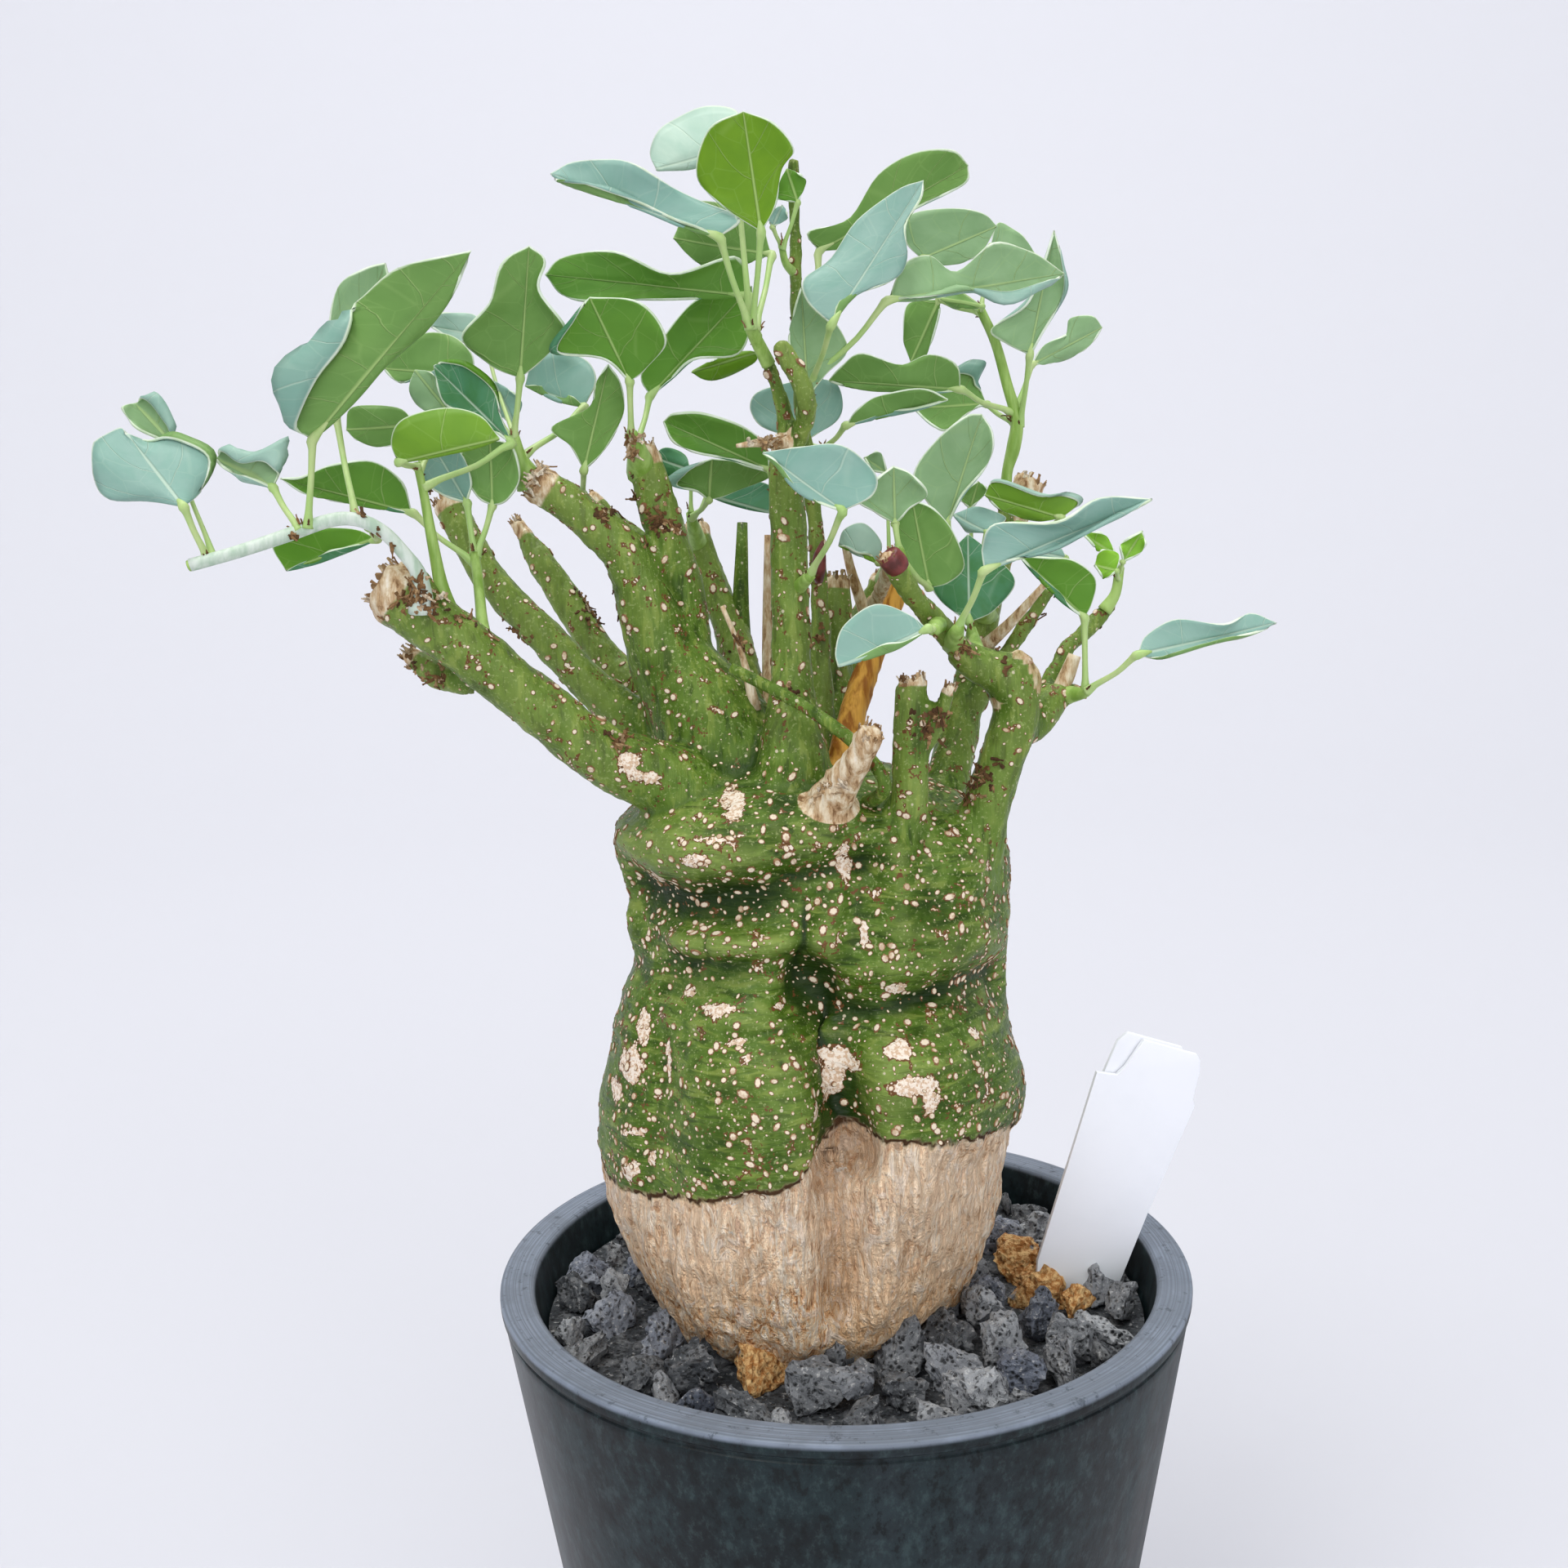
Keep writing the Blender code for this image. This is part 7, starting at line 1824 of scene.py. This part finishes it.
def make_shoots(settings):
    looks = [leaf_top_look(settings), leaf_under_look(settings),
             plain_look("leaf_margin", colour("#C9DDB9"), colour("#E2EDDA"), 0.5, 400),
             plain_look("leaf_stalk", tuple(settings.stem), colour("#BCD08C"), 0.45, 260, (1, 1, 0.3)), stem_look(settings)]
    for name, (stems, leaves) in SHOOTS.items():
        pieces = []
        for index, route in enumerate(stems):
            pieces.append(stamp(photo_tube(f"{name}_stem{index}", route, 4, 5), 4, 1.0 if name == "shoot_left_long" and not index else 0.2))
        for index, leaf in enumerate(leaves):
            pieces.append(stamp(make_petiole(f"{name}_petiole{index}", leaf), 3))
            pieces.append(make_blade(f"{name}_blade{index}", leaf, settings.columns, settings.rows))
        node = name
        dress(join(name + "_foliage", pieces, looks), "leaf", node)


# Plant tags
def tag_sheet(name, outline, thickness, behind, soften, keep_below=True):
    curve = bpy.data.curves.new(name, "CURVE")
    curve.dimensions = "2D"
    curve.fill_mode = "BOTH"
    curve.extrude = (thickness / 2 - soften) * MM
    curve.bevel_depth = soften * MM
    curve.bevel_resolution = 2
    curve.offset = -soften * MM
    spline = curve.splines.new("POLY")
    spline.points.add(len(outline) - 1)
    spline.use_cyclic_u = True
    for point, (across, up) in zip(spline.points, outline):
        point.co = (across * MM, up * MM, 0.0, 1.0)
    carrier = new_object(name + "_curve", curve)
    graph = bpy.context.evaluated_depsgraph_get()
    mesh = bpy.data.meshes.new_from_object(carrier.evaluated_get(graph))
    bpy.data.objects.remove(carrier)
    upright = Euler((math.pi / 2, 0, 0)).to_matrix()
    turn = Euler((0, TAG_LEAN, TAG_TURN)).to_matrix() @ upright
    mesh.transform(Matrix.Translation(photo_point(*TAG_FOOT, TAG_DEPTH + behind) * MM) @ turn.to_4x4())
    shape = bmesh.new()
    shape.from_mesh(mesh)
    bmesh.ops.remove_doubles(shape, verts=shape.verts, dist=0.000002)
    bmesh.ops.recalc_face_normals(shape, faces=shape.faces)
    made = bmesh_object(name, shape)
    made.data.shade_smooth()
    made.data.set_sharp_from_angle(angle=math.radians(35))
    return made


def tag_look(settings):
    look = Look("white_tag_plastic")
    smudge = look.noise(90, 4, 0.6)
    base = look.mix(look.band(smudge, 0.4, 0.75, 0, 0.5), tuple(settings.sheet), colour("#EBEEF4"))
    height = look.nodes.new("ShaderNodeSeparateXYZ")
    look.links.new(look.coords, height.inputs[0])
    base = look.mix(look.band(height.outputs["Z"], 0.088, 0.100, 0.6, 0), base, colour("#C9D3D2"))
    return look.finish(base, look.band(smudge, 0.3, 0.7, 0.28, 0.42), look.bump(smudge, 0.12, 0.3))


def make_tags(settings):
    look = tag_look(settings)
    gap = TAG_THICKNESS + 0.3
    for name, behind in (("tag_front", 0.0), ("tag_rear", gap)):
        sheet = tag_sheet(name + "_sheet", TAG_OUTLINES[name], TAG_THICKNESS, behind, 0.12)
        sheet.data.materials.append(look)
        dress(sheet, "tag_plastic", name)


# Stage
def make_stage(settings):
    reach, height, bend = 2.6, 3.4, 1.6
    profile = [(0.0, 0.0), (reach - bend, 0.0)]
    for index in range(1, 13):
        angle = math.pi / 2 * index / 12
        profile.append((reach - bend + bend * math.sin(angle), bend - bend * math.cos(angle)))
    profile.append((reach, height))
    sweep = turned("studio_sweep", [(r / MM, z / MM - 0.2) for r, z in profile], 96)
    bmesh_flip = bmesh.new()
    bmesh_flip.from_mesh(sweep.data)
    if sum(face.normal.z for face in bmesh_flip.faces if face.calc_center_median().z < 0.001) < 0:
        bmesh.ops.reverse_faces(bmesh_flip, faces=bmesh_flip.faces)
    bmesh_flip.to_mesh(sweep.data)
    bmesh_flip.free()
    sweep.data.materials.append(Look("pale_sweep").finish(tuple(settings.floor), 0.9))
    sweep.data.shade_smooth()
    world = bpy.data.worlds.new("studio")
    world.use_nodes = True
    world.node_tree.nodes["Background"].inputs["Color"].default_value = (*settings.sky, 1.0)
    world.node_tree.nodes["Background"].inputs["Strength"].default_value = settings.sky_strength
    bpy.context.scene.world = world
    for name, place, size, power in (("key", (-1.0, -1.2, 2.3), 1.1, settings.key),
                                     ("fill", (0.49, -1.4, 0.67), 1.12, settings.fill),
                                     ("top", (0.1, 0.1, 2.5), 1.2, settings.top_light),
                                     ("backdrop", (0.0, 0.7, 2.6), 1.6, settings.backdrop)):
        data = bpy.data.lights.new(name, "AREA")
        data.size = size
        data.energy = power
        lamp = bpy.data.objects.new(name, data)
        lamp.location = place
        goal = Vector((0, 2.6, 0.9)) if name == "backdrop" else Vector((0, 0, 0.13))
        lamp.rotation_euler = (goal - Vector(place)).to_track_quat("-Z", "Y").to_euler()
        bpy.context.scene.collection.objects.link(lamp)
    lens = bpy.data.cameras.new("photo_camera")
    lens.lens = 36.0
    lens.sensor_width = 36.0
    lens.clip_start = 0.01
    camera = bpy.data.objects.new("photo_camera", lens)
    camera.location = Vector(CAMERA_PLACE) * MM
    camera.rotation_euler = (Euler((math.pi / 2 - CAMERA_PITCH, 0, 0)).to_matrix()
                             @ Matrix.Rotation(-CAMERA_ROLL, 3, "Z")).to_euler()
    bpy.context.scene.collection.objects.link(camera)
    bpy.context.scene.camera = camera
    bpy.context.scene.view_settings.view_transform = "Standard"


# Settings
def colour_property(name, text, description):
    return FloatVectorProperty(name=name, description=description, subtype="COLOR", size=3, min=0, max=1,
                               default=colour(text))


class AdeniaPotSettings(bpy.types.PropertyGroup):
    body: colour_property("Body colour", "#1A282B", "Colour of the pot's wall")
    rim: colour_property("Rim colour", "#666E78", "Colour of the worn flat rim")


class AdeniaGritSettings(bpy.types.PropertyGroup):
    seed: IntProperty(name="Seed", description="Picks another scatter of stones", default=7, min=0)
    small: FloatProperty(name="Smallest radius", description="Radius of the smallest stones in mm", default=1.9, min=0.5)
    large: FloatProperty(name="Largest radius", description="Radius of the largest stones in mm", default=5.0, min=1.0)
    fine: IntProperty(name="Finer stones", description="How many stones near the front are cut finer", default=80, min=0)
    dark: colour_property("Stone colour", "#3A3E42", "Colour of the lava stones")


class AdeniaBarkSettings(bpy.types.PropertyGroup):
    voxel: FloatProperty(name="Detail", description="Cell size of the remeshed caudex in mm", default=0.68, min=0.4)
    seed: IntProperty(name="Seed", description="Picks another scatter of dry scales", default=5, min=0)
    bark: colour_property("Bark colour", "#5C782B", "Colour of the living bark")
    cork: colour_property("Cork colour", "#F4C896", "Colour of the bare base")
    lenticel_density: FloatProperty(name="Lenticel density", description="Lenticels for each square metre",
                                    default=520000.0, min=0.0)
    lenticel_small: FloatProperty(name="Smallest lenticel", description="Radius in mm", default=0.17, min=0.05)
    lenticel_large: FloatProperty(name="Largest lenticel", description="Radius in mm", default=0.72, min=0.1)


class AdeniaLeafSettings(bpy.types.PropertyGroup):
    columns: IntProperty(name="Columns", description="Faces across a blade", default=14, min=8)
    rows: IntProperty(name="Rows", description="Faces along a blade", default=22, min=12)
    top: colour_property("Upper side", "#8AADA0", "Colour of the bloomed upper side")
    under: colour_property("Underside", "#6F974A", "Colour of the green underside")
    stem: colour_property("Stem", "#A5C774", "Colour of soft stems and petioles")


class AdeniaTagSettings(bpy.types.PropertyGroup):
    sheet: colour_property("Sheet colour", "#F2F4FA", "Colour of the plastic tags")


class AdeniaStageSettings(bpy.types.PropertyGroup):
    floor: colour_property("Floor colour", "#CACBD1", "Colour of the floor and backdrop")
    sky: colour_property("Sky colour", "#FFFCF8", "Colour of the soft light from all round")
    sky_strength: FloatProperty(name="Sky strength", description="Strength of the light from all round", default=0.40, min=0.0)
    key: FloatProperty(name="Key light", description="Power of the light at the front left", default=26.0, min=0.0, unit="POWER")
    fill: FloatProperty(name="Fill light", description="Power of the light at the right", default=9.2, min=0.0, unit="POWER")
    top_light: FloatProperty(name="Top light", description="Power of the light overhead", default=15.0, min=0.0, unit="POWER")
    backdrop: FloatProperty(name="Backdrop light", description="Power of the light on the backdrop", default=43.0,
                            min=0.0, unit="POWER")


# Operators
class ADENIA_OT_stage(bpy.types.Operator):
    """Floor, backdrop, soft lights and the photograph's camera"""
    bl_idname = "adenia.stage"
    bl_label = "Stage"

    def execute(self, context):
        make_stage(context.scene.adenia_stage)
        return {"FINISHED"}


class ADENIA_OT_pot(bpy.types.Operator):
    """Tapered black pot with a worn rim"""
    bl_idname = "adenia.pot"
    bl_label = "Pot"

    def execute(self, context):
        make_pot(context.scene.adenia_pot)
        return {"FINISHED"}


class ADENIA_OT_grit(bpy.types.Operator):
    """Lava stones on the mix, packed round the caudex"""
    bl_idname = "adenia.grit"
    bl_label = "Lava grit"

    def execute(self, context):
        row = trunk_levels(1)[3]
        make_grit(context.scene.adenia_grit, (row[1], TRUNK_DEPTH, row[2], row[3]))
        return {"FINISHED"}


class ADENIA_OT_caudex(bpy.types.Operator):
    """Trunk and limbs grown into one body, with lenticels and dry twigs"""
    bl_idname = "adenia.caudex"
    bl_label = "Caudex"

    def execute(self, context):
        settings = context.scene.adenia_bark
        make_lenticels(settings, make_caudex(settings))
        make_scales(settings)
        return {"FINISHED"}


class ADENIA_OT_shoots(bpy.types.Operator):
    """Soft stems with their petioles and wavy leaves"""
    bl_idname = "adenia.shoots"
    bl_label = "Leafy shoots"

    def execute(self, context):
        make_shoots(context.scene.adenia_leaf)
        return {"FINISHED"}


class ADENIA_OT_tags(bpy.types.Operator):
    """Two blank white plant tags"""
    bl_idname = "adenia.tags"
    bl_label = "Plant tags"

    def execute(self, context):
        make_tags(context.scene.adenia_tag)
        return {"FINISHED"}


class ADENIA_PT_panel(bpy.types.Panel):
    """Lists the plant's pieces in the order in which they are made"""
    bl_label = "Potted adenia"
    bl_idname = "ADENIA_PT_panel"
    bl_space_type = "VIEW_3D"
    bl_region_type = "UI"
    bl_category = "Adenia"

    def draw(self, context):
        for operator in OPERATORS:
            self.layout.operator(operator.bl_idname)


OPERATORS = (ADENIA_OT_stage, ADENIA_OT_pot, ADENIA_OT_grit, ADENIA_OT_caudex, ADENIA_OT_shoots, ADENIA_OT_tags)
SETTINGS = {"adenia_pot": AdeniaPotSettings, "adenia_grit": AdeniaGritSettings, "adenia_bark": AdeniaBarkSettings,
            "adenia_leaf": AdeniaLeafSettings, "adenia_tag": AdeniaTagSettings, "adenia_stage": AdeniaStageSettings}


def register():
    for made in (*SETTINGS.values(), *OPERATORS, ADENIA_PT_panel):
        bpy.utils.register_class(made)
    for name, made in SETTINGS.items():
        setattr(bpy.types.Scene, name, PointerProperty(type=made))


def unregister():
    for name in SETTINGS:
        delattr(bpy.types.Scene, name)
    for made in (ADENIA_PT_panel, *reversed(OPERATORS), *SETTINGS.values()):
        bpy.utils.unregister_class(made)


def main():
    register()
    bpy.ops.adenia.stage()
    bpy.ops.adenia.pot()
    bpy.ops.adenia.grit()
    bpy.ops.adenia.caudex()
    bpy.ops.adenia.shoots()
    bpy.ops.adenia.tags()


if __name__ == "__main__":
    main()
